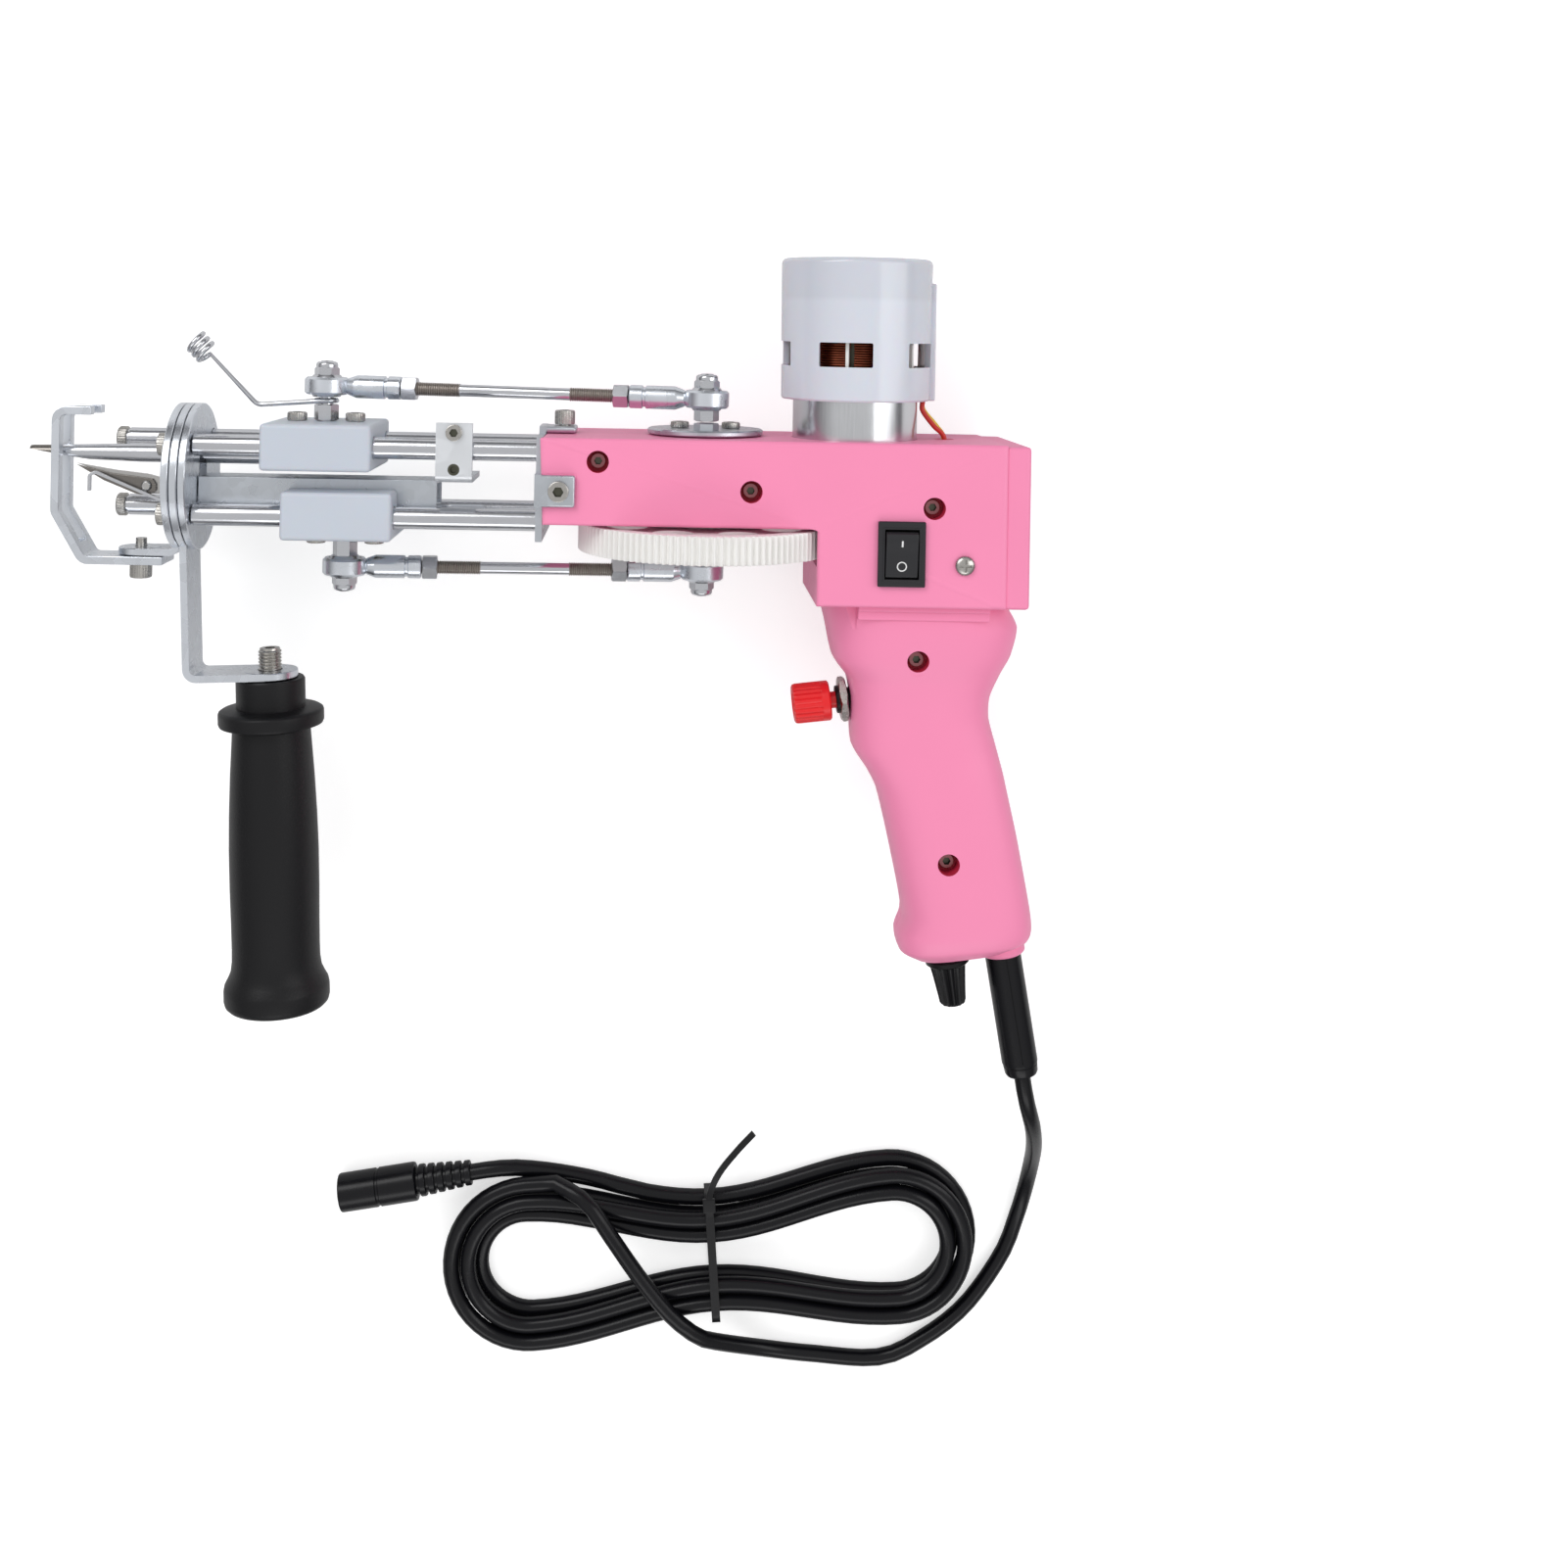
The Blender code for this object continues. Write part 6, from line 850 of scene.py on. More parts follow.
def housingHalf(name, side):
    p, h, b = place, housing, bracket
    inner = p["halfWidth"] - p["wall"]
    topInner, floorInner = p["topY"] - p["wall"], p["barrelFloorY"] + p["wall"]
    bearingRadius, bearingWidth = h["bearing"]

    def span(low, high, near=-past, far=inner):
        return sideBlock(low, high, side, near, far)

    def across(radius, near, far, x, y, steps=40):
        return rod(radius, *sorted((side * near, side * far)), Matrix.Translation((x, y, 0)), steps)

    outline = [(p["barrelFrontX"], p["topY"]), (p["barrelFrontX"], p["barrelFloorY"]),
               (p["blockFrontX"], p["barrelFloorY"]), (p["blockFrontX"], p["blockFloorY"]),
               (p["blockBackX"], p["blockFloorY"]), (p["blockBackX"], p["topY"])]
    low, high = sorted((side * gap / 2, side * p["halfWidth"]))
    half = slab(outline, low, high)
    outer = side * p["halfWidth"]
    rim = [e for e in half.edges if all(abs(v.co.z - outer) < 1e-6 for v in e.verts)]
    bmesh.ops.bevel(half, geom=rim, offset=h["edge"], segments=5, profile=0.5, affect="EDGES")
    behind = (p["blockBackX"] + 0.08, p["topY"])
    handGrip = less(gripHalf(side, 0, side * gap / 2),
                    span((p["blockBackX"], p["blockFloorY"] - gap), behind, -past, h["wide"]))
    half = plus(half, handGrip)
    hollowGrip = less(gripHalf(side, grip["wall"], -side * past, False),
                      span((p["blockBackX"] - p["wall"], p["blockFloorY"] - grip["wall"]), behind,
                           -past * 2, h["wide"]))
    half = less(
        half,
        span((p["barrelFrontX"] + p["wall"], floorInner), (-h["saddle"], topInner)),
        span((-h["saddle"] - past, floorInner + bearingWidth + gap),
             (h["saddle"] + past, topInner - bearingWidth - gap)),
        span((h["saddle"], floorInner), (p["blockBackX"] + past, topInner)),
        span((p["blockFrontX"] + p["wall"], p["blockFloorY"] + p["wall"]),
             (p["blockBackX"] + past, floorInner + past)),
        hollowGrip,
    )
    webTop = h["canBottom"] - gap
    webReach = h["canRadius"] + p["wall"]
    web = span((p["motorX"] - webReach, webTop - h["web"]), (p["motorX"] + webReach, webTop), gap / 2,
               inner + p["wall"] / 2)
    bosses = [across(h["boss"], gap / 2, face - p["wall"] / 2, x, y) for x, y, face in h["screwPlaces"]]
    half = plus(half, web, *bosses)
    reliefX, reliefY, reliefWidth, reliefLength, reliefFloor = h["relief"]
    bossRadius, bossRise, reliefRadius, seatDepth = h["outletBoss"]
    triggerRadius, triggerStart, triggerEnd = h["triggerHole"]
    over = p["topY"] + past
    openings = [
        upright(h["shaftHole"], p["barrelFloorY"] - past, over),
        upright(bearingRadius + gap, floorInner, topInner),
        upright(h["canRadius"] + gap, webTop, over, p["motorX"], 96),
        upright(h["motorHole"], webTop - h["web"] - past, webTop + past, p["motorX"]),
        span((p["blockFrontX"] - past, gearBottomY - h["slotMargin"]),
             (p["blockFrontX"] + p["wall"] + past, p["barrelFloorY"])),
        upright(h["leadHole"][1], topInner - past, over, h["leadHole"][0]),
        rod(triggerRadius, triggerStart, triggerEnd, seats["trigger"] @ axisPlace("x"), 48),
        upright(h["speedHole"], -past, grip["wall"] * 2, matrix=seats["speed"]),
        upright((reliefRadius + bossRadius) / 2, -past, bossRise + past, matrix=seats["outlet"]),
        upright(b["hole"], topInner - past, over, p["barrelFrontX"] + b["topScrew"]),
        across(b["hole"], inner - past, p["halfWidth"] + past, p["barrelFrontX"] + b["sideScrew"], p["tabY"]),
        span((p["barrelFrontX"] - past, p["tabY"] - b["seatHalf"]),
             (p["barrelFrontX"] + b["seatReach"], p["tabY"] + b["seatHalf"]),
             p["halfWidth"] - b["seat"], p["halfWidth"] + past),
        softened(span((reliefX, reliefY - reliefLength), (reliefX + reliefWidth, reliefY), reliefFloor, h["wide"]),
                 0.0008, 3),
    ]
    if side > 0:
        holeRadius, holeDepth = h["recess"]
        openings += [across(holeRadius, face - holeDepth, h["wide"], x, y, 48) for x, y, face in h["screwPlaces"]]
        (x, y), (wide, tall) = p["rocker"], h["rockerHole"]
        openings.append(span((x - wide, y - tall), (x + wide, y + tall), inner - past, p["halfWidth"] + past))
        holeRadius, holeStart = h["panHole"]
        openings.append(across(holeRadius, holeStart, p["halfWidth"] + past, *h["panScrew"][:2], 24))
    else:
        holeRadius, holeDepth = h["blindHole"]
        openings += [across(holeRadius, -past, holeDepth, x, y, 24) for x, y, _ in h["screwPlaces"]]
    for drop, reach in zip(h["steps"], h["stepFaces"]):
        step = span((reliefX + reliefWidth, p["blockFloorY"] - drop), (h["stepEnd"], p["blockFloorY"] + 0.001),
                    reach - h["stepWide"], reach)
        half = plus(half, softened(step, 0.0004, 3))
    half = less(half, *openings)
    ring = lathe([(bossRadius, bossRise), (bossRadius, h["rim"]), (bossRadius - h["rim"], 0), (reliefRadius + gap, 0),
                  (reliefRadius + gap, seatDepth + gap), (h["outletBore"], seatDepth + gap),
                  (h["outletBore"], bossRise)], seats["outlet"] @ yAxis, 64, ring=True)
    ring = less(ring, sideBlock((-0.05, -0.13), (0.05, 0.13), -side, -gap / 2, 0.03, seats["outlet"]))
    half = plus(half, ring)

    # faces inside the screw recesses take the darker pink: painted shade in the recesses
    def deep(spot):
        return side > 0 and any(math.hypot(spot.x - x, spot.y - y) < h["recess"][0] + 0.0001
                                and face - h["recess"][1] - 0.0001 < spot.z < face - h["edge"]
                                for x, y, face in h["screwPlaces"])

    finished(name + "_shell", half, pink, "machine", name, angle=32, extra=(pinkRecessShade, deep))


housingHalf("housing_near", 1)
housingHalf("housing_far", -1)
# the rear cover takes the darker copy of the pink: painted shade
finished("rear_cover_shell", copyOf("rear_cover"), pinkShadedCover, "machine", "rear_cover", angle=32)
headRadius, headHeight, shankRadius, bite = housing["screw"]
# the recessed screws take the dark reddish steel: painted shade and painted pink reflected light
fastened("housing_screws", capHead(headRadius, headHeight, shankRadius, bite),
         [facing((0, 0, 1), (x, y, face - housing["recess"][1])) for x, y, face in housing["screwPlaces"]],
         recessShadedScrewSteel, "machine")
panX, panY, panRadius, panHeight = housing["panScrew"]
fastened("pan_screws", panHead(panRadius, panHeight, shankRadius, housing["panBite"]),
         [facing((0, 0, 1), (panX, panY, place["halfWidth"]))], nickel, "machine", socket=nickel)
print("stage: the housing is made")

# gear, shaft and crank
gear = {"module": 0.0008, "teeth": 112, "holes": 8, "holeRadius": 0.0072, "holeCircle": 0.0300,
        "bore": 0.0043, "tipShare": 0.104, "rootShare": 0.365, "edge": 0.0003, "hub": 0.0125, "rim": 0.0042,
        "recess": 0.0009}
crank = {"discRadius": 0.0210, "discLow": 0.0140, "discHigh": 0.0160, "shaft": 0.0040, "nutRadius": 0.0045,
         "nutHeight": 0.0026, "screwCircle": 0.0093, "head": (0.0034, 0.0024, 0.0020, 0.0010)}


def driveGear():
    g = gear
    pitch = g["module"] * g["teeth"] / 2
    root, tip = pitch - g["module"] * 1.25, pitch + g["module"]
    edge = g["edge"]
    blank = rod(root, gearBottomY, gearTopY, yAxis, 112, edge, g["bore"])
    holes = [rod(g["holeRadius"], gearBottomY - 0.001, gearTopY + 0.001,
                 yAxis @ Matrix.Translation((g["holeCircle"] * math.cos(turn), g["holeCircle"] * math.sin(turn), 0)))
             for turn in (2 * math.pi * (i + 0.5) / g["holes"] for i in range(g["holes"]))]
    recess = [rod(root - g["rim"], low, high, yAxis, 96, bore=g["hub"])
              for low, high in ((gearBottomY - 0.001, gearBottomY + g["recess"]),
                                (gearTopY - g["recess"], gearTopY + 0.001))]
    blank = less(blank, *holes, *recess)
    step = 2 * math.pi / g["teeth"]
    tooth = bmesh.new()
    rings = []
    for height, inset in ((gearBottomY, edge), (gearBottomY + edge, 0), (gearTopY - edge, 0), (gearTopY, edge)):
        flank = [(root - 0.0002, g["rootShare"]), (root + 0.0001, g["rootShare"] * 0.96),
                 (tip - 0.00016 - inset, g["tipShare"] * 1.25), (tip - inset, g["tipShare"] * 0.6)]
        rings.append([tooth.verts.new((radius * math.cos(share * step) - root, radius * math.sin(share * step), height))
                      for radius, share in [(r, -s) for r, s in flank] + flank[::-1]])
    teeth = ringOf(skinned(tooth, rings, caps=True), g["teeth"], root, yAxis, gearNylon)
    finished("drive_gear_toothed", joined(blank, teeth), gearNylon, "drive", "drive_gear", angle=30, weighted=False)


driveGear()
finished("drive_shaft_turned", rod(crank["shaft"], gearBottomY + gap, crank["discHigh"], yAxis, 48, 0.0005),
         bright, "drive", "drive_shaft")
disc = lathe([(crank["shaft"] + gap, crank["discLow"]), (crank["discRadius"] - 0.0004, crank["discLow"]),
              (crank["discRadius"], crank["discLow"] + 0.0004), (crank["discRadius"], crank["discHigh"] - 0.0005),
              (crank["discRadius"] - 0.0005, crank["discHigh"]), (crank["shaft"] + gap, crank["discHigh"])],
             yAxis, 96, ring=True)
crankNut = hexagon(crank["nutRadius"], crank["discHigh"] - gap, crank["discHigh"] + crank["nutHeight"],
                   axisPlace("y", (0, crankRadius)))
finished("crank_disc_plate", joined(disc, crankNut), galvanised, "drive", "crank_disc", angle=40)
fastened("crank_screws", capHead(*crank["head"]),
         [facing((0, 1, 0), (x, crank["discHigh"], 0)) for x in (-crank["screwCircle"], crank["screwCircle"])],
         nickel, "drive")
print("stage: the gear and crank are made")

# motor
motor = {"canRadius": 0.0225, "canLow": -0.0030, "canHigh": 0.0285, "canWall": 0.0020, "capRadius": 0.0268,
         "capTop": 0.0274, "capHeight": 0.0510, "capWall": 0.0020, "lap": 0.0010, "rib": (0.0050, 0.0017, 0.0425),
         "window": (0.0190, 0.0086, 0.0165), "windows": 5, "windowTurn": math.radians(-14), "stator": 0.0215,
         "statorHeight": 0.0300, "bore": 0.0045, "core": 0.0166, "plateBore": 0.0160, "plate": 0.0011,
         "platePitch": 0.0016, "stacks": ((0.0008, 0.0078), (0.0215, 0.0285)), "slots": 9, "coil": 0.0188,
         "coilRows": 14, "coilLow": 0.0088, "coilPitch": 0.0009, "coilHalf": 0.0058, "coilWire": 0.00043,
         "ribs": (0.0006, 0.0060, 0.0225, 0.0012), "leadRadius": 0.0009}


def motorPieces():
    m = motor
    seat = seats["motor"] @ yAxis
    windowSeats = [seats["motor"] @ Matrix.Rotation(m["windowTurn"] + 2 * math.pi * i / m["windows"], 4, "Y")
                   for i in range(m["windows"])]
    inner, floor = m["canRadius"] - m["canWall"], m["canLow"] + m["canWall"]
    finished("motor_can_drawn", lathe([
        (m["canRadius"] - 0.0004, m["canHigh"]), (m["canRadius"], m["canHigh"] - 0.0004),
        (m["canRadius"], m["canLow"] + 0.0015), (m["canRadius"] - 0.0015, m["canLow"]), (m["bore"], m["canLow"]),
        (m["bore"], floor), (inner, floor), (inner, m["canHigh"])],
        seat, 128, ring=True), canSteel, "machine", "motor_can", angle=40)
    low = m["canHigh"] - m["lap"]
    high = low + m["capHeight"]
    edge = m["capWall"]
    arc = [(m["capTop"] - edge + edge * math.sin(a), high - edge + edge * math.cos(a))
           for a in np.linspace(0, math.pi / 2, 8)]
    cap = lathe([(0, high), *arc, (m["capRadius"] + 0.0001, low + 0.0006), (m["capRadius"] - 0.0004, low),
                 (m["canRadius"] + gap, low), (m["canRadius"] + gap, m["canHigh"]),
                 (m["capRadius"] - m["capWall"], m["canHigh"] + m["capWall"]),
                 (m["capTop"] - m["capWall"], high - m["capWall"]), (0, high - m["capWall"])], seat, 128)
    ribHalf, ribDepth, ribLength = m["rib"]
    rib = softened(block((place["motorX"] + m["capRadius"] - m["capWall"], low, -ribHalf),
                         (place["motorX"] + m["capRadius"] + ribDepth, low + ribLength, ribHalf)), 0.0006, 3)
    cap = plus(cap, rib)
    wide, tall, rise = m["window"]
    windows = [softened(block((-wide / 2, low + rise - tall / 2, m["capRadius"] - m["capWall"] * 3),
                              (wide / 2, low + rise + tall / 2, m["capRadius"] + m["capWall"] * 2), matrix), 0.0005)
               for matrix in windowSeats]
    finished("motor_cap_moulded", less(cap, *windows), capNylon, "machine", "motor_cap", angle=32)
    base = m["canHigh"] + gap
    core = rod(m["core"], base, base + m["statorHeight"], seat, 72, bore=m["bore"])
    sheets = [rod(m["stator"], y, y + m["plate"], seat, 90, bore=m["plateBore"])
              for first, last in m["stacks"] for y in np.arange(base + first, base + last, m["platePitch"])]
    finished("motor_core", joined(core, *sheets), darkSteelAndHoleShade, "machine", "motor_stator", angle=40)
    turns = []
    for k in range(m["coilRows"]):
        y = base + m["coilLow"] + k * m["coilPitch"]
        bulge = 0.0012 * math.sin(math.pi * (k + 0.5) / m["coilRows"])
        turns.append(wire([Vector((m["coil"] + bulge - 0.0016 * (z / m["coilHalf"]) ** 2, z, y))
                           for z in np.linspace(-m["coilHalf"], m["coilHalf"], 9)], m["coilWire"], 2))
        bmesh.ops.translate(turns[-1], vec=Vector((-m["coil"], 0, 0)), verts=turns[-1].verts)
    finished("motor_windings", ringOf(joined(*turns), m["slots"], m["coil"], seat, copper), copper, "machine", angle=60)
    half, ribLow, ribHigh, proud = m["ribs"]
    ribs = [softened(block((-half, base + ribLow, m["stator"] - half), (half, base + ribHigh, m["stator"] + proud),
                           matrix), 0.0002) for matrix in windowSeats]
    finished("motor_ribs", joined(*ribs), gearNylon, "machine", angle=35)


motorPieces()
leadTop = motor["canHigh"] - motor["lap"] - gap
leadDrop = (leadTop - place["topY"]) / 2
leadStart = place["motorX"] + (motor["canRadius"] + motor["capRadius"]) / 2
leadEnd, leadFloor = housing["leadHole"][0], place["topY"]
for colour, finish, z, bow, nodes in (("red", leadRed, 0.0008, 0.0, ["motor_lead"]),
                                      ("yellow", leadYellow, -0.0008, 0.0012, [])):
    line = smoothLine([(leadStart, leadTop, z), (leadStart + bow / 2, leadTop - leadDrop * 0.5, z),
                       ((leadStart + leadEnd) / 2 + bow, leadFloor + leadDrop * 0.72, z * 1.5),
                       (leadEnd, leadFloor + leadDrop * 0.1, z), (leadEnd, leadFloor - 0.0070, z)], 0.0006)
    finished(f"motor_lead_{colour}", wire(line, motor["leadRadius"], 4), finish, "machine", *nodes, angle=60)
print("stage: the motor is made")

# front plates, guide rods and brackets
plates = {
    "radius": 0.0266, "thick": 0.0026, "bracketThick": 0.0028, "windowHalf": 0.0055, "windowTop": 0.0080,
    "backX": needleBallX - slide["length"] / 2 - crankRadius - 0.0129,  # clear of the slide at its front end
    "windowBottom": -0.0165, "rodRadius": 0.0039, "rodZ": 0.0150, "upperY": 0.0078, "lowerY": -0.0170,
    "rodPlay": 0.0003, "screwHole": 0.0027, "screw": (0.0041, 0.0034, 0.0024), "edge": 0.0003, "steps": 120,
    "footReach": 0.0283, "footHalf": 0.0100, "bend": 0.0036, "stud": 0.0042, "flush": 0.0002,
    "soleY": -0.0349, "soleBar": 0.0030, "soleHole": 0.0023, "tabHalf": 0.0080, "footScrewX": 0.0220,
    "footScrew": (0.0040, 0.0053, 0.0020), "footScrewRise": 0.0036,
}
posts = {"ringLength": 0.0035, "ringRadius": 0.0043, "chamfer": 0.0006, "length": 0.0265, "knurls": 30,
         "knurl": 0.00022}
plateY = (plates["upperY"] + plates["lowerY"]) / 2
rearPlateX = plates["backX"] - plates["thick"] / 2
bracketX = plates["backX"] - plates["thick"] - gap - plates["bracketThick"] / 2
carrierX = bracketX - plates["bracketThick"] / 2 - gap - plates["thick"] / 2


def roundedPath(points, radius, steps=8):
    path = [Vector(points[0])]
    for before, corner, after in zip(points, points[1:], points[2:]):
        corner = Vector(corner)
        back = (Vector(before) - corner).normalized()
        on = (Vector(after) - corner).normalized()
        half = back.angle(on) / 2
        reach = radius / math.tan(half)
        centre = corner + (back + on).normalized() * (radius / math.sin(half))
        first, last = corner + back * reach - centre, corner + on * reach - centre
        sweep = first.angle_signed(last)
        for i in range(steps + 1):
            turn = -sweep * i / steps
            path.append(centre + Vector((first.x * math.cos(turn) - first.y * math.sin(turn),
                                         first.x * math.sin(turn) + first.y * math.cos(turn))))
    path.append(Vector(points[-1]))
    return path


def stripOutline(points, thickness, bendRadius):
    path = roundedPath(points, bendRadius)
    sides = ([], [])
    for i, point in enumerate(path):
        before, after = path[max(i - 1, 0)], path[min(i + 1, len(path) - 1)]
        ahead = (after - before).normalized()
        across = Vector((-ahead.y, ahead.x)) * thickness / 2
        sides[0].append(tuple(point + across))
        sides[1].append(tuple(point - across))
    return sides[0] + sides[1][::-1]


def frontPlate(middleX, thick):
    # a round plate across the machine with its window and four holes, its rims softened
    s = plates
    low, high = middleX - thick / 2, middleX + thick / 2
    disc = rod(s["radius"], low, high, axisPlace("x", (plateY, 0)), s["steps"], s["edge"])
    low, high = low - 0.001, high + 0.001
    cutters = [block((low, s["windowBottom"], -s["windowHalf"]), (high, s["windowTop"], s["windowHalf"]))]
    for y in (s["upperY"], s["lowerY"]):
        cutters.append(rod(s["screwHole"], low, high, axisPlace("x", (y, s["rodZ"])), 32))
        cutters.append(rod(s["rodRadius"] + s["rodPlay"], low, high, axisPlace("x", (y, -s["rodZ"])), 40))
    return less(disc, *cutters)


def frontPlates():
    s = plates
    finished("rear_plate_sheet", frontPlate(rearPlateX, s["thick"]), zinc, "machine", "rear_plate", angle=30)
    corner = Vector(handleSpot) - s["footReach"] * Vector((math.cos(handleLean), math.sin(handleLean)))
    rimY = plateY - s["radius"]
    neckY = s["windowBottom"] - (s["windowBottom"] - rimY) / 2
    wide = s["footHalf"]
    strip = stripOutline([(bracketX, neckY), (bracketX, rimY), tuple(corner), handleSpot],
                         s["bracketThick"] - s["flush"], s["bend"])
    strip = softened(slab(strip, -wide, wide), s["edge"])
    foot = rod(wide, -s["bracketThick"] / 2, s["bracketThick"] / 2, seats["handle"] @ yAxis, 64, s["edge"])
    bracket = plus(frontPlate(bracketX, s["bracketThick"]), strip, foot)
    bracket = less(bracket, rod(s["stud"] + gap, -0.004, 0.004, seats["handle"] @ yAxis, 40))
    finished("handle_bracket_sheet", bracket, zinc, "machine", "handle_bracket", angle=30)
    tabY = s["soleY"] + (s["soleBar"] + s["thick"]) / 2 + gap
    screwX = s["backX"] - s["footScrewX"]
    tab = stripOutline([(carrierX, neckY), (carrierX, tabY), (screwX, tabY)], s["thick"] - s["flush"], s["thick"])
    tab = softened(slab(tab, -s["tabHalf"], s["tabHalf"]), s["edge"])
    end = rod(s["tabHalf"], tabY - s["thick"] / 2, tabY + s["thick"] / 2, axisPlace("y", (screwX, 0)), 64, s["edge"])
    carrier = plus(frontPlate(carrierX, s["thick"]), tab, end)
    carrier = less(carrier, rod(s["soleHole"], tabY - 0.003, tabY + 0.003, axisPlace("y", (screwX, 0)), 32))
    finished("presser_carrier_sheet", carrier, zinc, "machine", "presser_carrier", angle=30)
    seat = carrierX - s["thick"] / 2 - gap
    fastened("plate_screws", capHead(*s["screw"], s["backX"] - seat),
             [facing((-1, 0, 0), (seat, y, s["rodZ"])) for y in (s["upperY"], s["lowerY"])],
             nickel, "machine", "plate_screw_upper", "plate_screw_lower")
    fastened("presser_screws", capHead(*s["footScrew"], s["soleBar"] + s["thick"] + s["footScrewRise"]),
             [facing((0, -1, 0), (screwX, s["soleY"] - s["soleBar"] / 2 - gap, 0))], nickel, "machine", "presser_screw")


def guideRods():
    s, p = plates, posts
    backX = place["barrelFrontX"] - gap
    front = carrierX - s["thick"] / 2 - p["length"]
    neck = front + p["ringLength"] * 1.3
    r, rim = s["rodRadius"], p["ringRadius"]
    for level, y in (("upper", s["upperY"]), ("lower", s["lowerY"])):
        near = rod(r, s["backX"] + gap, backX, axisPlace("x", (y, s["rodZ"])), 56, 0.0004)
        finished(f"guide_rod_{level}_near_ground", near, bright, "machine", f"guide_rod_{level}_near", angle=40)
        matrix = axisPlace("x", (y, -s["rodZ"]))
        bar = lathe([(0, backX), (r, backX), (r, neck), (r - 0.0006, neck), (r - 0.0006, front + p["ringLength"] * 0.9),
                     (0, front + p["ringLength"] * 0.9)], matrix, 56)
        ring = lathe([(0, front + p["ringLength"]), (rim - 0.0003, front + p["ringLength"]),
                      (rim, front + p["ringLength"] - 0.0003, 1), (rim, front + p["chamfer"], 1),
                      (rim - p["chamfer"], front), (rim - 0.0016, front), (rim - 0.0021, front + 0.0009),
                      (0, front + 0.0009)], matrix, 120, grooves=p["knurls"], depth=p["knurl"])
        finished(f"guide_rod_{level}_far_ground", bar, bright, "machine", f"guide_rod_{level}_far", angle=40)
        finished(f"post_ring_{level}", ring, nickel, "machine", angle=40)


frontPlates()
guideRods()


def rearBracket():
    p, b = place, bracket
    back = p["barrelFrontX"] - gap
    front = back - b["sheet"]
    reach = p["halfWidth"] + gap + b["sheet"]
    top = p["topY"] + gap + b["sheet"]
    low, high = p["tabY"] - b["tabHalf"], p["tabY"] + b["tabHalf"]
    face = [(b["half"], b["bottom"]), (b["half"], low), (reach, low), (reach, high), (b["half"], high),
            (b["half"], p["topY"]), (b["topHalf"], p["topY"]), (b["topHalf"], top)]
    outline = [(-z, y) for z, y in face] + [(z, y) for z, y in reversed(face)]
    sheet = softened(slab(outline, front, back, onEdge), 0.0002, 1)
    inset = b["inset"]
    folds = [block((front + inset, top - b["sheet"], inset - b["topHalf"]),
                   (p["barrelFrontX"] + b["topReach"], top - inset, b["topHalf"] - inset))]
    for side in (1, -1):
        folds.append(sideBlock((front + inset, low + inset), (p["barrelFrontX"] + b["tabReach"], high - inset),
                               side, p["halfWidth"] + gap, reach - inset))
    sheet = plus(sheet, *[softened(fold, b["fold"], 3) for fold in folds])
    topX, sideX = p["barrelFrontX"] + b["topScrew"], p["barrelFrontX"] + b["sideScrew"]
    holes = [rod(b["rodHole"], front - 0.001, back + 0.001, axisPlace("x", (y, z)), 40)
             for y in (plates["upperY"], plates["lowerY"]) for z in (-plates["rodZ"], plates["rodZ"])]
    holes.append(rod(b["hole"], p["topY"], top + past, axisPlace("y", (topX, 0)), 32))
    finished("rear_bracket_sheet", less(sheet, *holes), galvanised, "machine", "rear_bracket", angle=30)
    fastened("bracket_top_screws", capHead(*b["screw"]), [facing((0, 1, 0), (topX, top + gap, 0))],
             nickel, "machine", "bracket_screw")
    fastened("bracket_side_screws", capHead(*b["sideHead"]),
             [facing((0, 0, side), (sideX, p["tabY"], side * (reach - gap))) for side in (1, -1)], nickel, "machine")


rearBracket()
finished("guide_channel_folded", copyOf("guide_channel", 0.0003), galvanised, "machine", "guide_channel", angle=30)
hanger = {"room": 0.0107, "half": 0.0065, "sheet": 0.0020, "foot": 0.0080, "top": 0.0175, "flangeY": -0.0040,
          "hole": (0.0010, 0.0021), "screwY": 0.0141, "screw": (0.0030, 0.0018, 0.0015, 0.0040)}
hangerFace = plates["rodZ"] + plates["rodRadius"] + gap + hanger["sheet"] / 2
hangerMiddle = needleBallX + slide["length"] / 2 + crankRadius + hanger["room"] + hanger["half"]
flangeY = hanger["flangeY"] + gap + hanger["sheet"] / 2
angled = stripOutline([(hanger["foot"], flangeY), (-hangerFace, flangeY), (-hangerFace, hanger["top"])],
                      hanger["sheet"], hanger["sheet"])
angled = slab(angled, hangerMiddle - hanger["half"], hangerMiddle + hanger["half"], onEdge)
holeY, holeRadius = hanger["hole"]
angled = less(softened(angled, 0.0003),
              rod(holeRadius, hangerFace - 0.003, hangerFace + 0.003, Matrix.Translation((hangerMiddle, holeY, 0)), 40))
finished("channel_hanger", angled, paleZinc, "machine", "channel_bracket", angle=30)
fastened("channel_screws", capHead(*hanger["screw"]),
         [facing((0, 0, 1), (hangerMiddle, hanger["screwY"], hangerFace + hanger["sheet"] / 2))], nickel, "machine")
# a dark plug set in the hanger's hole: painted shade where the hole looks dark
holeShadeProfile = [(0, -0.0007), (0.0012, -0.0007), (0.0013, 0.0009), (0.0021, 0.0009), (0.0023, 0.0007), (0.0022, -0.0012),
          (0, -0.0012)]
finished("channel_insert", lathe(holeShadeProfile, Matrix.Translation((hangerMiddle, holeY, hangerFace)), 40), darkSteelAndHoleShade,
         "machine", angle=40)
finished("presser_foot_folded", copyOf("presser_foot", 0.0003, 40), zinc, "machine", "presser_foot", angle=30)
print("stage: the plates, rods and brackets are made")
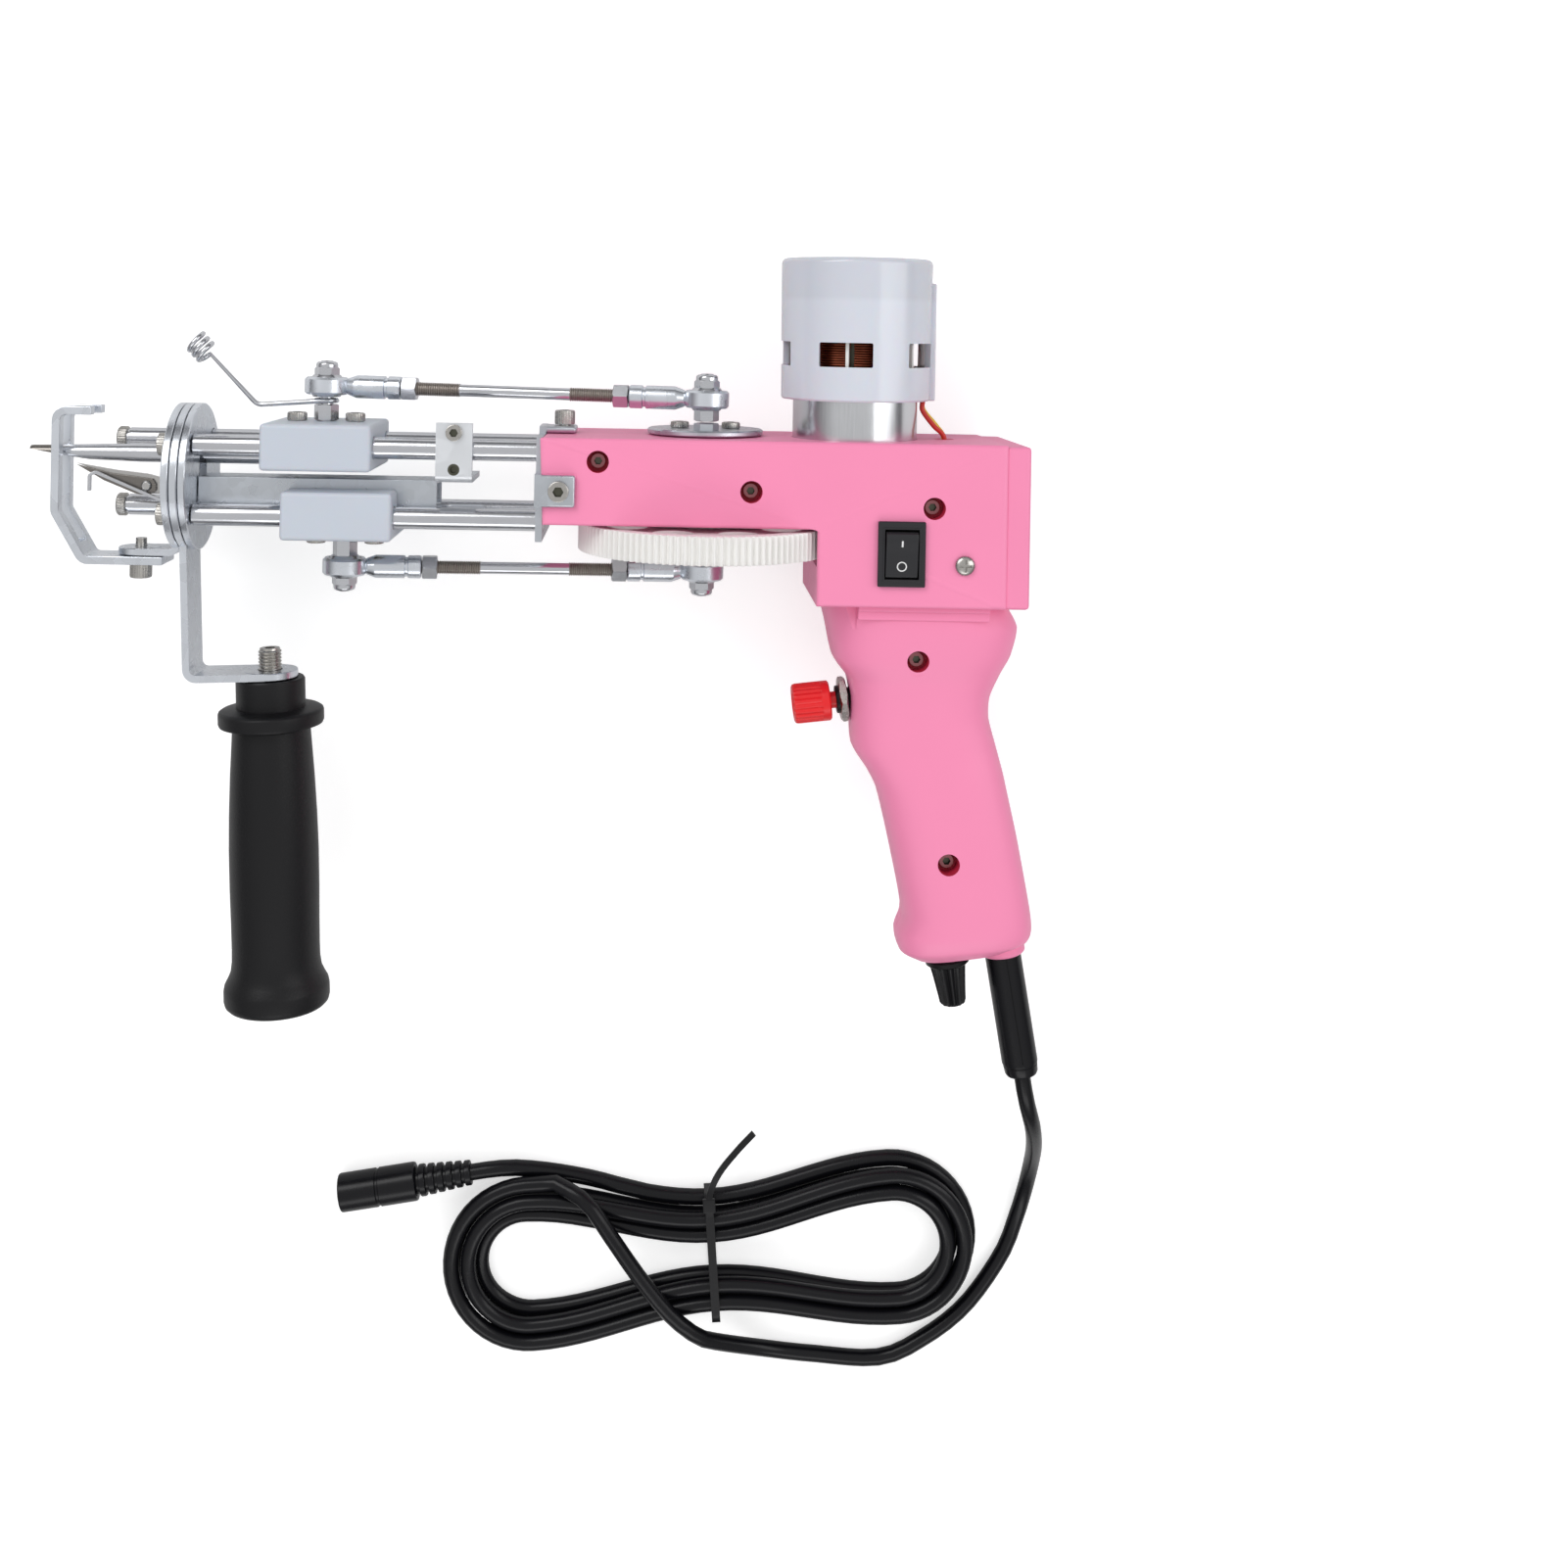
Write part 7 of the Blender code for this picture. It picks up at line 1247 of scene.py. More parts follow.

# slides, needle and yarn guide
# shadedTip is how far from the tip the taper bends, and how far back the painted shade on the needle reaches
needleSizes = {"y": 0.0035, "back": 0.0034, "front": 0.0021, "taper": 0.0400, "wall": 0.0007, "mouth": 0.0270,
               "shadedTip": 0.0110, "reach": 0.0627, "holderHalf": 0.0052, "holderTop": 0.0092, "holderLength": 0.0150,
               "holderReach": 0.0010}
guideSizes = {"wire": 0.0009, "play": 0.0003, "under": 0.00135, "ringStart": math.radians(285),
              "bend": (-0.0244, 0.0219), "eyelet": (-0.0418, 0.0400), "bendRadius": 0.0040, "coil": 0.0038,
              "pitch": 0.0024, "turns": 3, "coilSteps": 32}
bladeSizes = {"barTop": -0.0040 - 0.0016 - 0.0003, "bar": 0.0062, "tongueHalf": 0.0083, "slotInner": 0.0042,
              "slotBottom": -0.0139 - 0.0003}


def slideBlock(low, high, rodY, seat):
    half = slide["length"] / 2
    body = softened(block((-half, low, -slide["half"]), (half, high, slide["half"]), seat), slide["edge"], 5)
    return less(body, *[rod(slide["rodBore"], -half - past, half + past, seat @ axisPlace("x", (rodY, z)), 48)
                        for z in (-plates["rodZ"], plates["rodZ"])])


def slideScrews(side, face, way):
    across = slide["screwSpacing"] / 2
    fastened(f"{side}_slide_screws", capHead(*slide["head"], slide["depth"]),
             [seats[f"{side}Slide"] @ facing((0, way, 0), (x, face, 0)) for x in (-across, across)],
             nickel, f"{side}_carriage")


def needleSide():
    s, n = slide, needleSizes
    seat = seats["needleSlide"]
    front = -s["length"] / 2 - n["holderReach"]
    end = front + n["holderLength"]
    wide = n["holderHalf"]
    along = seat @ axisPlace("x", (n["y"], 0))
    body = slideBlock(s["needleBottom"], s["needleTop"], plates["upperY"], seat)
    body = less(body, rod(s["studBore"], s["needleTop"] - s["studDepth"], s["needleTop"] + past, seat @ yAxis, 32),
                block((front - past, s["needleBottom"] - past, -wide - gap),
                      (end + gap, n["holderTop"] + gap, wide + gap), seat))
    finished("needle_slide_moulded", body, slideNylon, "needle_carriage", "needle_slide", angle=30)
    slideScrews("needle", s["needleTop"], 1)
    bore = n["back"] + gap
    holder = softened(block((front, s["needleBottom"], -wide), (end, n["holderTop"], wide), seat), 0.0004)
    holder = less(holder, rod(bore, front - past, end + past, along, 48),
                  block((front - past, s["needleBottom"] - past, -bore), (end + past, n["y"], bore), seat))
    finished("needle_holder_block", holder, bright, "needle_carriage", "needle_holder", angle=30)
    back = end - n["holderReach"]
    tip = plates["backX"] - n["reach"] - needleBallX
    at = n["front"] + (n["back"] - n["front"]) * n["shadedTip"] / n["taper"]
    shape = lathe([(n["back"], back), (n["back"], tip + n["taper"]), (at, tip + n["shadedTip"]),
                   (n["front"] * 1.08, tip + 0.001), (n["front"], tip), (n["front"] - n["wall"], tip),
                   (at - n["wall"], tip + n["shadedTip"]), (n["back"] - n["wall"], tip + n["taper"]),
                   (n["back"] - n["wall"], back)], along, 64, ring=True)
    mouth = slab([(tip - past, n["y"] - n["back"] * 2), (tip + n["mouth"], n["y"] - n["back"] * 2),
                  (tip + n["mouth"], n["y"] - n["back"]), (tip + n["mouth"] * 0.8, n["y"] - n["back"] * 0.8),
                  (tip - past, n["y"] + n["front"] * 0.6)], -n["back"] * 2, n["back"] * 2, seat)
    tipX = needleBallX + tip

    # the inside of the hollow needle and its front take the darker steel: painted shade of the hollow tip
    def inBoreOrShadedTip(spot):
        share = min(max((spot.x - tipX) / n["taper"], 0), 1)
        wall = n["front"] + (n["back"] - n["front"]) * share - 0.0003
        return math.hypot(spot.y - n["y"], spot.z) < wall or spot.x < tipX + n["shadedTip"]

    finished("needle_ground", less(shape, mouth), bright, "needle_carriage", "needle", angle=30,
             extra=(scissorSteelAndTipShade, inBoreOrShadedTip))


def yarnGuide():
    # from a ring under the stud's spacer out to a bend, and on to a coiled eyelet
    s = guideSizes
    ringY = needleDrive["ballY"] - linkage["ballHalf"] - s["under"]
    ringRadius = linkage["stud"] + s["play"] + s["wire"]
    points = [Vector((ringRadius * math.sin(a), ringY, ringRadius * math.cos(a)))
              for a in np.linspace(s["ringStart"], 0, 28)]
    bend, eyelet = Vector((*s["bend"], ringRadius)), Vector((*s["eyelet"], ringRadius))
    path = roundedPath([points[-1].xy, bend.xy, eyelet.xy], s["bendRadius"], 12)
    points += [Vector((*spot, ringRadius)) for spot in path[1:]]
    ahead = (eyelet - bend).normalized()
    across = Vector((-ahead.y, ahead.x, 0))
    out = ahead.cross(across)
    for i in range(1, s["coilSteps"] * s["turns"] + 1):
        angle = 2 * math.pi * i / s["coilSteps"]
        points.append(eyelet + ahead * (s["pitch"] * i / s["coilSteps"]) + across * (s["coil"] * math.sin(angle))
                      + out * (s["coil"] * (1 - math.cos(angle))))
    finished("yarn_guide_wire", wire([seats["needleSlide"] @ point for point in points], s["wire"], 4), bright,
             "needle_carriage", "yarn_guide", angle=60)


def bladeSide():
    s, b = slide, bladeSizes
    seat = seats["bladeSlide"]
    half, wide = s["length"] / 2, b["tongueHalf"]
    tongueTop = b["barTop"] - b["bar"] - gap
    body = slideBlock(s["bladeBottom"], s["bladeTop"], plates["lowerY"], seat)
    slots = [sideBlock((-half - past, b["slotBottom"]), (half + past, tongueTop + past), side, b["slotInner"], wide,
                       seat) for side in (1, -1)]
    body = less(body, rod(s["studBore"], s["bladeBottom"] - past, s["bladeBottom"] + s["studDepth"], seat @ yAxis, 32),
                block((-half - past, tongueTop, -wide), (half + past, s["bladeTop"] + past, wide), seat), *slots)
    finished("blade_slide_moulded", body, slideNylon, "blade_carriage", "blade_slide", angle=30)
    slideScrews("blade", s["bladeBottom"], -1)
    for node, ending, width, finish, body in (
        ("blade_bar", "milled", 0.0003, bright, "blade_carriage"),
        ("fixed_blade", "ground", 0.00012, bladeSteel, "blade_carriage"),
        ("moving_blade", "ground", 0.00012, scissorSteelAndTipShade, "scissor_blade"),
        ("loop_hook", "folded", 0.00015, bright, "blade_carriage"),
    ):
        finished(f"{node}_{ending}", copyOf(node, width, 40), finish, body, node, angle=30)


needleSide()
yarnGuide()
bladeSide()
print("stage: the slides, needle and scissors are made")

# rod ends, studs and connecting rods
def chamferedNut(radius, start, end, matrix):
    # a hexagon whose corners are turned down to a cone at both faces
    low, high = sorted((start, end))
    flat = radius * math.cos(math.pi / 6)
    drop = (radius - flat) * 0.6
    prism = rod(radius, low, high, matrix, 6)
    cone = lathe([(0, low), (flat * 0.97, low), (radius * 1.001, low + drop), (radius * 1.001, high - drop),
                  (flat * 0.97, high), (0, high)], matrix, 48)
    return shaped(prism, "INTERSECT", cone)


def lockNut(radius, start, end, matrix):
    # a hexagon below, and a round collar with a rolled edge over its insert
    flat, rise = radius * math.cos(math.pi / 6), end - start
    collar = [(flat * (0.72 + 0.28 * math.cos(a)), end - rise * 0.24 * (1 - math.sin(a)))
              for a in np.linspace(0, math.pi / 2, 8)]
    form = lathe([(0, start), (flat * 0.97, start), (radius * 1.001, start + rise * 0.10),
                  (radius * 1.001, start + rise * 0.50), (flat, start + rise * 0.60), *collar, (0, end)], matrix, 48)
    return shaped(rod(radius, min(start, end), max(start, end), matrix, 6), "INTERSECT", form)


def ballStud(name, seat, ballY, way, room, shank, matrix, body, node):
    l = linkage
    near, far = ballY - way * l["ballHalf"], ballY + way * l["ballHalf"]
    end = far + way * l["nut"][1]
    face = math.sqrt(l["ball"]**2 - l["ballHalf"]**2)
    sweep = math.asin(l["ballHalf"] / l["ball"])
    ball = [(l["ball"] * math.cos(a), ballY + way * l["ball"] * math.sin(a)) for a in np.linspace(sweep, -sweep, 17)]
    r = l["stud"]
    profile = [(0, end), (r - 0.0004, end), (r, end - way * 0.0004), (r, far), (face, far), *ball[1:-1],
               (face, near), (r, near), (r, seat - way * shank), (0, seat - way * shank)]
    seatMatrix = matrix @ yAxis
    parts = [lathe(profile, seatMatrix, 56)]
    low, high = sorted((seat, near - way * room if room else near + way * gap))
    parts.append(chamferedNut(l["spacer"], low, high, seatMatrix))
    parts.append(lockNut(l["nut"][0], far - way * gap, end - way * gap, seatMatrix))
    finished(name, joined(*parts), bright, body, node, angle=35)


def rodEnd(name, eyeX, way, matrix, body, node):
    l = linkage
    seatRadius = l["ball"] + l["play"]
    sweep = math.asin(l["eyeHalf"] / seatRadius)
    inner = [(seatRadius * math.cos(a), seatRadius * math.sin(a)) for a in np.linspace(-sweep, sweep, 13)]
    rim, half, chamfer = l["eye"] - l["eyeChamfer"], l["eyeHalf"], l["eyeChamfer"]
    eye = lathe([(rim, half), (l["eye"], half - chamfer), (l["eye"], chamfer - half), (rim, -half), *inner],
                matrix @ axisPlace("y", (eyeX, 0)), 72, ring=True)
    bore = l["thread"][0] + gap
    floor = l["length"] - l["boreDepth"]
    r, length, neck = l["body"], l["length"], l["neck"]
    groove = length - l["groove"]
    inEye = (l["eye"] + seatRadius) / 2
    profile = [(0, floor), (bore, floor), (bore, length), (r - 0.0004, length), (r, length - 0.0004),
               (r, groove + 0.0011), (r - 0.0006, groove + 0.0008), (r - 0.0006, groove), (r, groove - 0.0003),
               (r, l["bodyStart"] + 0.0008), (r - 0.0003, l["bodyStart"]), (neck, l["eye"] + 0.0002),
               (neck * 0.9, l["eye"] - 0.0002), (neck * 0.8, inEye), (0, inEye)]
    socket = lathe([(radius, eyeX + way * reach) for radius, reach in profile], matrix @ axisPlace("x"), 48)
    finished(name, joined(eye, socket), zinc, body, node, angle=35)


def connectingRod(name, length, matrix, body, node):
    l = linkage
    low = l["length"] - l["boreDepth"] + gap
    high = length - low
    radius, run = l["thread"]
    along = matrix @ axisPlace("x")
    plain = rod(l["rod"], low + run - 0.0005, high - run + 0.0005, along, 40)
    spirals = []
    for start, end in ((low, low + run), (high - run, high)):
        crests = threads(radius, l["threadDepth"], start + 0.0002, end - 0.0002, l["pitch"])
        spirals.append(lathe([(0, start), (radius - 0.0004, start), *crests, (radius - 0.0004, end), (0, end)],
                             along, 36))
    nutStart = l["length"] + gap
    nuts = [chamferedNut(l["jam"][0], nutStart, nutStart + l["jam"][1], along),
            chamferedNut(l["jam"][0], length - nutStart - l["jam"][1], length - nutStart, along)]
    finished(name, joined(plain, *nuts), bright, body, node, angle=35)
    finished(name + "_threads", joined(*spirals), threadSteel, body, angle=25, weighted=False)


threadSteel = drawn("threadSteel", "steel", (0.36, 0.325, 0.30), 0.40, spread=0.2)
guideRoom = 0.0027  # between spacer and ball, for the yarn guide's ring
for side, drive, crankFace, slideFace, room, way in (
    ("needle", needleDrive, crank["discHigh"] + crank["nutHeight"] + gap * 2, slide["needleTop"], guideRoom, 1),
    ("blade", bladeDrive, gearBottomY - gap, slide["bladeBottom"], 0, -1),
):
    body, rodSeat = side + "_linkage", seats[side + "Rod"]
    rodEnd(side + "_eye_front", 0, 1, rodSeat, body, side + "_rod_end_front")
    rodEnd(side + "_eye_crank", drive["rod"], -1, rodSeat, body, side + "_rod_end_crank")
    connectingRod(side + "_rod_turned", drive["rod"], rodSeat, body, side + "_rod")
    crankSeat = crankFace - (drive["ballY"] - drive["drop"])
    ballStud(side + "_crank_ball", crankSeat, 0, way, 0, 0, seats[side + "Crank"], body, side + "_crank_stud")
    ballStud(side + "_slide_ball", slideFace + way * gap, drive["ballY"], way, room, linkage["shank"],
             seats[side + "Slide"], side + "_carriage", side + "_slide_stud")
print("stage: the linkages are made")

# handle, switch, trigger, speed knob and cord fittings
handle = {"length": 0.1190, "radius": 0.0158, "studRise": 0.0078, "studSink": 0.004, "thread": (0.0005, 0.00125),
          "socket": (0.0021, 0.003),
          "rows": ((0.000, 0.760), (0.006, 0.790), (0.088, 0.790), (0.093, 1.130), (0.098, 1.190), (0.104, 1.205),
                   (0.132, 1.205), (0.140, 1.180), (0.146, 0.960), (0.152, 0.890), (0.200, 0.912), (0.300, 0.960),
                   (0.420, 1.000), (0.520, 1.018), (0.640, 1.016), (0.740, 1.003), (0.820, 0.998), (0.860, 1.004),
                   (0.890, 1.035), (0.910, 1.100), (0.930, 1.180), (0.945, 1.203), (0.975, 1.205), (0.988, 1.180),
                   (0.996, 1.120), (1.000, 1.020), (1.000, 0.000))}


def sideHandle():
    h = handle
    top = -plates["bracketThick"] / 2 - gap
    seat = seats["handle"] @ yAxis
    profile = [(0, top)] + [(h["radius"] * share, top - h["length"] * down) for down, share in h["rows"]]
    finished("front_handle_moulded", lathe(profile, seat, 96), gripRubber, "machine", "front_handle", angle=40)
    studTop = plates["bracketThick"] / 2 + h["studRise"]
    r, low = plates["stud"], top - h["studSink"]
    depth, pitch = h["thread"]
    crests = threads(r, depth, top + 0.0004, studTop - 0.0006, pitch)
    stud = lathe([(0, low), (r - depth, low), (r - depth, top), *crests, (r - 0.0006, studTop), (0, studTop)], seat, 48)
    socketRadius, socketDepth = h["socket"]
    finished("handle_stud", less(stud, hexagon(socketRadius, studTop - socketDepth, studTop + 0.001, seat)), nickel,
             "machine", angle=25, weighted=False)


sideHandle()
switch = {"width": 0.0166, "height": 0.0228, "thick": 0.0016, "frame": 0.0008, "depth": 0.0150, "rockerWidth": 0.0112,
          "rockerHeight": 0.0166, "lowEnd": 0.0014, "middle": 0.0024, "highEnd": 0.0036, "markLift": 0.00004,
          "markSink": 0.0001, "ring": (0.00135, 0.00175), "bar": (0.0022, 0.0003), "core": (0.0072, 0.0103),
          "lip": (0.0006, 0.00025)}


def powerSwitch():
    s = switch
    seat = seats["rocker"]
    wide, tall = s["width"] / 2, s["height"] / 2
    half, depth = s["rockerHeight"] / 2, s["depth"] / 4
    wellX, wellY = s["rockerWidth"] / 2 + s["frame"] / 2, half + s["frame"] / 2
    coreX, coreY = s["core"]
    lipWidth, lipRise = s["lip"]
    top = gap + s["thick"]
    rim = softened(block((-wide, -tall, gap), (wide, tall, top), seat), 0.0005, 3)
    core = block((-coreX, -coreY, -s["depth"]), (coreX, coreY, gap + s["thick"] / 2), seat)
    lip = softened(block((-wellX - lipWidth, -wellY - lipWidth, gap + s["thick"] / 2),
                         (wellX + lipWidth, wellY + lipWidth, top + lipRise), seat), 0.0002)
    bezel = less(plus(rim, core, lip), block((-wellX, -wellY, -s["depth"] / 2), (wellX, wellY, 0.004), seat))
    finished("rocker_bezel_moulded", bezel, switchBlack, "machine", "rocker_bezel", angle=30)

    def height(y):
        if y > 0:
            return s["middle"] + (s["highEnd"] - s["middle"]) * (y / (half * 0.66))
        return s["middle"] + (s["lowEnd"] - s["middle"]) * (-y / half) + 0.0002 * math.sin(-math.pi * y / half)

    face = [(y, height(y)) for y in (*np.linspace(-half * 0.98, 0, 9), *np.linspace(0, half * 0.66, 5)[1:])]
    outline = [(-half * 0.98, -depth * 0.2), (0, -depth), (half * 0.94, -depth * 0.2),
               (half * 0.94, s["highEnd"] * 0.6), (half * 0.86, s["highEnd"] * 0.9), *face[::-1]]
    rocker = softened(slab(outline, -s["rockerWidth"] / 2, s["rockerWidth"] / 2, seat @ onSide), 0.0003, angle=50)
    finished("rocker_moulded", rocker, switchBlack, "power_rocker", "rocker", angle=25)
    marks = []
    for centre, shape in ((half * 0.46, "bar"), (-half * 0.50, "ring")):
        slope = (height(centre + 0.0004) - height(centre - 0.0004)) / 0.0008
        flat = seat @ Matrix.Translation((0, centre, height(centre))) @ Matrix.Rotation(math.atan(slope), 4, "X")
        low, high = -s["markSink"], s["markLift"]
        if shape == "bar":
            long, thin = s["bar"]
            marks.append(block((-thin, -long / 2, low), (thin, long / 2, high), flat))
        else:
            inner, outer = s["ring"]
            marks.append(rod(outer, low, high, flat, bore=inner))
    finished("rocker_marks", joined(*marks), markWhite, "power_rocker", angle=40)


powerSwitch()
trigger = {"radius": 0.0072, "length": 0.0136, "stem": 0.0030, "travel": 0.0018, "bush": 0.0050, "collar": 0.0015,
           "wallReach": 0.0132, "thread": 0.0042, "nut": (0.0085, 0.0028), "bodyRadius": 0.0058, "bodyLength": 0.0120,
           "flutes": 22, "fluteDepth": 0.00045, "threadDepth": 0.0003, "pitch": 0.0008, "play": 0.0003}


def triggerButton():
    t = trigger
    back = t["length"] / 2
    seat = seats["trigger"] @ axisPlace("x")
    r = t["radius"]
    stemEnd = back + t["travel"] * 2 + t["collar"]
    cap = lathe([(0, -back + 0.0007), (r * 0.62, -back + 0.0007), (r * 0.70, -back), (r - 0.0010, -back),
                 (r - 0.0003, -back + 0.0004, 0.3), (r, -back + 0.0014, 1), (r, back - 0.0034, 1), (r, back - 0.0030),
                 (r, back - 0.0006), (r - 0.0006, back), (t["stem"], back), (t["stem"], stemEnd), (0, stemEnd)],
                seat, 176, grooves=t["flutes"], depth=t["fluteDepth"])
    finished("trigger_cap", cap, redPlastic, "trigger", "trigger_button", angle=30)
    start = back + t["travel"] + gap
    nutBack = t["wallReach"] - gap
    bore = t["stem"] + t["play"]
    bodyStart = t["wallReach"] + t["nut"][1] * 1.6
    crests = threads(t["thread"], t["threadDepth"], start + t["collar"] + 0.0002, bodyStart, t["pitch"])
    bush = lathe([(0, bodyStart + t["travel"]), (bore, bodyStart + t["travel"]), (bore, start),
                  (t["bush"] - 0.0003, start), (t["bush"], start + 0.0003), (t["bush"], start + t["collar"]),
                  (t["thread"] - 0.0003, start + t["collar"]), *crests, (t["bodyRadius"], bodyStart),
                  (t["bodyRadius"], bodyStart + t["bodyLength"]), (0, bodyStart + t["bodyLength"])], seat, 56)
    finished("trigger_bush_turned", bush, blackPlastic, "machine", "trigger_bush", angle=30, weighted=False)
    nutRadius, nutWidth = t["nut"]
    nut = less(chamferedNut(nutRadius, nutBack - nutWidth, nutBack, seat),
               rod(t["thread"] - gap, nutBack - nutWidth - 0.001, nutBack + 0.001, seat, 48))
    finished("trigger_nut", nut, nickel, "machine", angle=30)


triggerButton()
speed = {"radius": 0.0065, "tip": 0.0046, "length": 0.0150, "flange": (0.0079, 0.0022), "flutes": 12, "depth": 0.0012,
         "nut": (0.0058, 0.0014), "bush": 0.0034, "body": (0.0080, 0.0070), "shaft": 0.0020, "play": 0.0003,
         "lift": 0.0004}


def speedKnob():
    s = speed
    seat = seats["speed"] @ yAxis
    bodyLow = grip["wall"] + gap
    bore = s["shaft"] + s["play"]
    nutLow = -gap - s["nut"][1]
    bushLow = nutLow - gap
    bodyRadius, bodyLength = s["body"]
    control = lathe([(0, bodyLow + bodyLength), (bodyRadius, bodyLow + bodyLength), (bodyRadius, bodyLow),
                     (s["bush"], bodyLow), (s["bush"], bushLow), (bore, bushLow), (bore, bodyLow + bodyLength / 2),
                     (0, bodyLow + bodyLength / 2)], seat, 56)
    nut = less(chamferedNut(s["nut"][0], nutLow, -gap, seat), rod(s["bush"] - gap, nutLow - 0.001, 0.002, seat, 40))
    finished("speed_control_turned", joined(control, nut), nickel, "machine", "speed_control", angle=35)
    top = bushLow - s["lift"]
    flangeRadius, flangeWidth = s["flange"]
    flangeLow = top - flangeWidth
    low = flangeLow - s["length"]
    r, tip = s["radius"], s["tip"]
    knob = lathe([(0, bodyLow + bodyLength / 4), (s["shaft"], bodyLow + bodyLength / 4), (s["shaft"], top),
                  (flangeRadius - 0.0003, top), (flangeRadius, top - 0.0003), (flangeRadius, flangeLow + 0.0005),
                  (flangeRadius - 0.0006, flangeLow), (r + 0.0002, flangeLow), (r, flangeLow - 0.0006, 0.9),
                  *[(r + (tip - r) * share, flangeLow - s["length"] * share, 1) for share in (0.3, 0.75)],
                  (tip + 0.0002, low + 0.0010, 0.9), (tip - 0.0004, low + 0.0002, 0.4), (tip - 0.0010, low), (0, low)],
                 seat, 192, grooves=s["flutes"], depth=s["depth"], flat=0.8)
    finished("speed_knob_moulded", knob, blackPlastic, "speed_dial", "speed_knob", angle=40)


speedKnob()
relief = {"radius": 0.0065, "seat": 0.0050, "tip": 0.0058, "groove": -0.0400,
          "seam": {"half": 0.00016, "depth": 0.0005, "proud": 0.0001, "fromTip": 0.0060, "fromSeat": 0.0010}}


def strainRelief():
    s = relief
    seat = seats["outlet"] @ yAxis
    low, r, tip, groove = -cordSizes["reliefLength"], s["radius"], s["tip"], s["groove"]
    profile = [(0, s["seat"]), (r, s["seat"]), (r, groove), (r - 0.0001, groove - 0.0005),
               (r - 0.0005, groove - 0.0007), (r - 0.0005, groove - 0.0012), (r - 0.0003, groove - 0.0014),
               (tip + 0.0002, low + 0.0012), (tip - 0.0003, low + 0.0003), (tip - 0.0010, low), (0, low)]
    cut = s["seam"]
    seams = [sideBlock((-cut["half"], low + cut["fromTip"]), (cut["half"], s["seat"] - cut["fromSeat"]), side,
                       r - cut["depth"], r + cut["proud"], seats["outlet"]) for side in (1, -1)]
    finished("strain_relief_moulded", less(lathe(profile, seat, 64), *seams), cordRubber, "machine", "strain_relief",
             angle=35)


strainRelief()
connector = {"radius": 0.0070, "length": 0.0300, "sleeve": 0.0210, "edge": 0.0008, "ribs": 6, "ribRadius": 0.0058,
             "socket": (0.0028, 0.0100), "mouth": 0.0032, "pin": (0.0011, 0.0007), "pinTip": 0.0018}


def dcConnector():
    c = connector
    seat = seats["connector"] @ axisPlace("x")
    radius, sleeve, edge = c["radius"], c["sleeve"], c["edge"]
    end = sleeve + c["length"]
    bore, depth = c["socket"]
    groove = sleeve + c["length"] * 0.52
    profile = [(0, end - depth), (bore, end - depth), (bore, end - 0.0004), (c["mouth"], end), (radius - edge, end),
               (radius - edge * 0.3, end - edge * 0.3), (radius, end - edge), (radius, groove),
               (radius - 0.0004, groove - 0.0003), (radius - 0.0004, groove - 0.0011), (radius, groove - 0.0014),
               (radius, sleeve + edge), (radius - edge * 0.3, sleeve + edge * 0.3), (radius - edge, sleeve)]
    width = sleeve / c["ribs"]
    for rib in range(c["ribs"]):
        top = sleeve - rib * width
        reach = c["ribRadius"] * (1 - 0.26 * rib / c["ribs"])
        profile += [(reach * 0.80, top - 0.0002), (reach * 0.80, top - width * 0.32),
                    (reach - 0.0002, top - width * 0.36), (reach, top - width * 0.45), (reach, top - width * 0.9),
                    (reach - 0.0002, top - width)]
    thick, thin = c["pin"]
    tip = end - c["pinTip"]
    floor = end - depth - 0.0002
    pin = lathe([(0, floor), (thick, floor), (thick, tip - 0.0007), (thin, tip), (0, tip)], seat, 24)
    plug = lathe([*profile, (c["mouth"], 0.0), (0, 0)], seat, 64)
    return (finished("dc_connector_moulded", plug, cordRubber, "machine", "dc_connector", angle=35),
            finished("connector_pin", pin, nickel, "machine", angle=35))


# the head and the tail are measured from the band's side, and from over or under its top
tie = {"thick": 0.0009, "halfWidth": 0.0016, "head": (0.0024, 0.0045, 0.0008, 0.0012), "tailHalf": (0.0012, 0.0004),
       "tailOver": ((0, -0.0060, 1.4), (0.0004, 0.0020, 1.5)),  # heights in band thicknesses
       "tailFall": ((0.0045, 0.0085, -0.0022), (0.0120, 0.0150, -0.0060), (0.0190, 0.0200, -0.0092))}


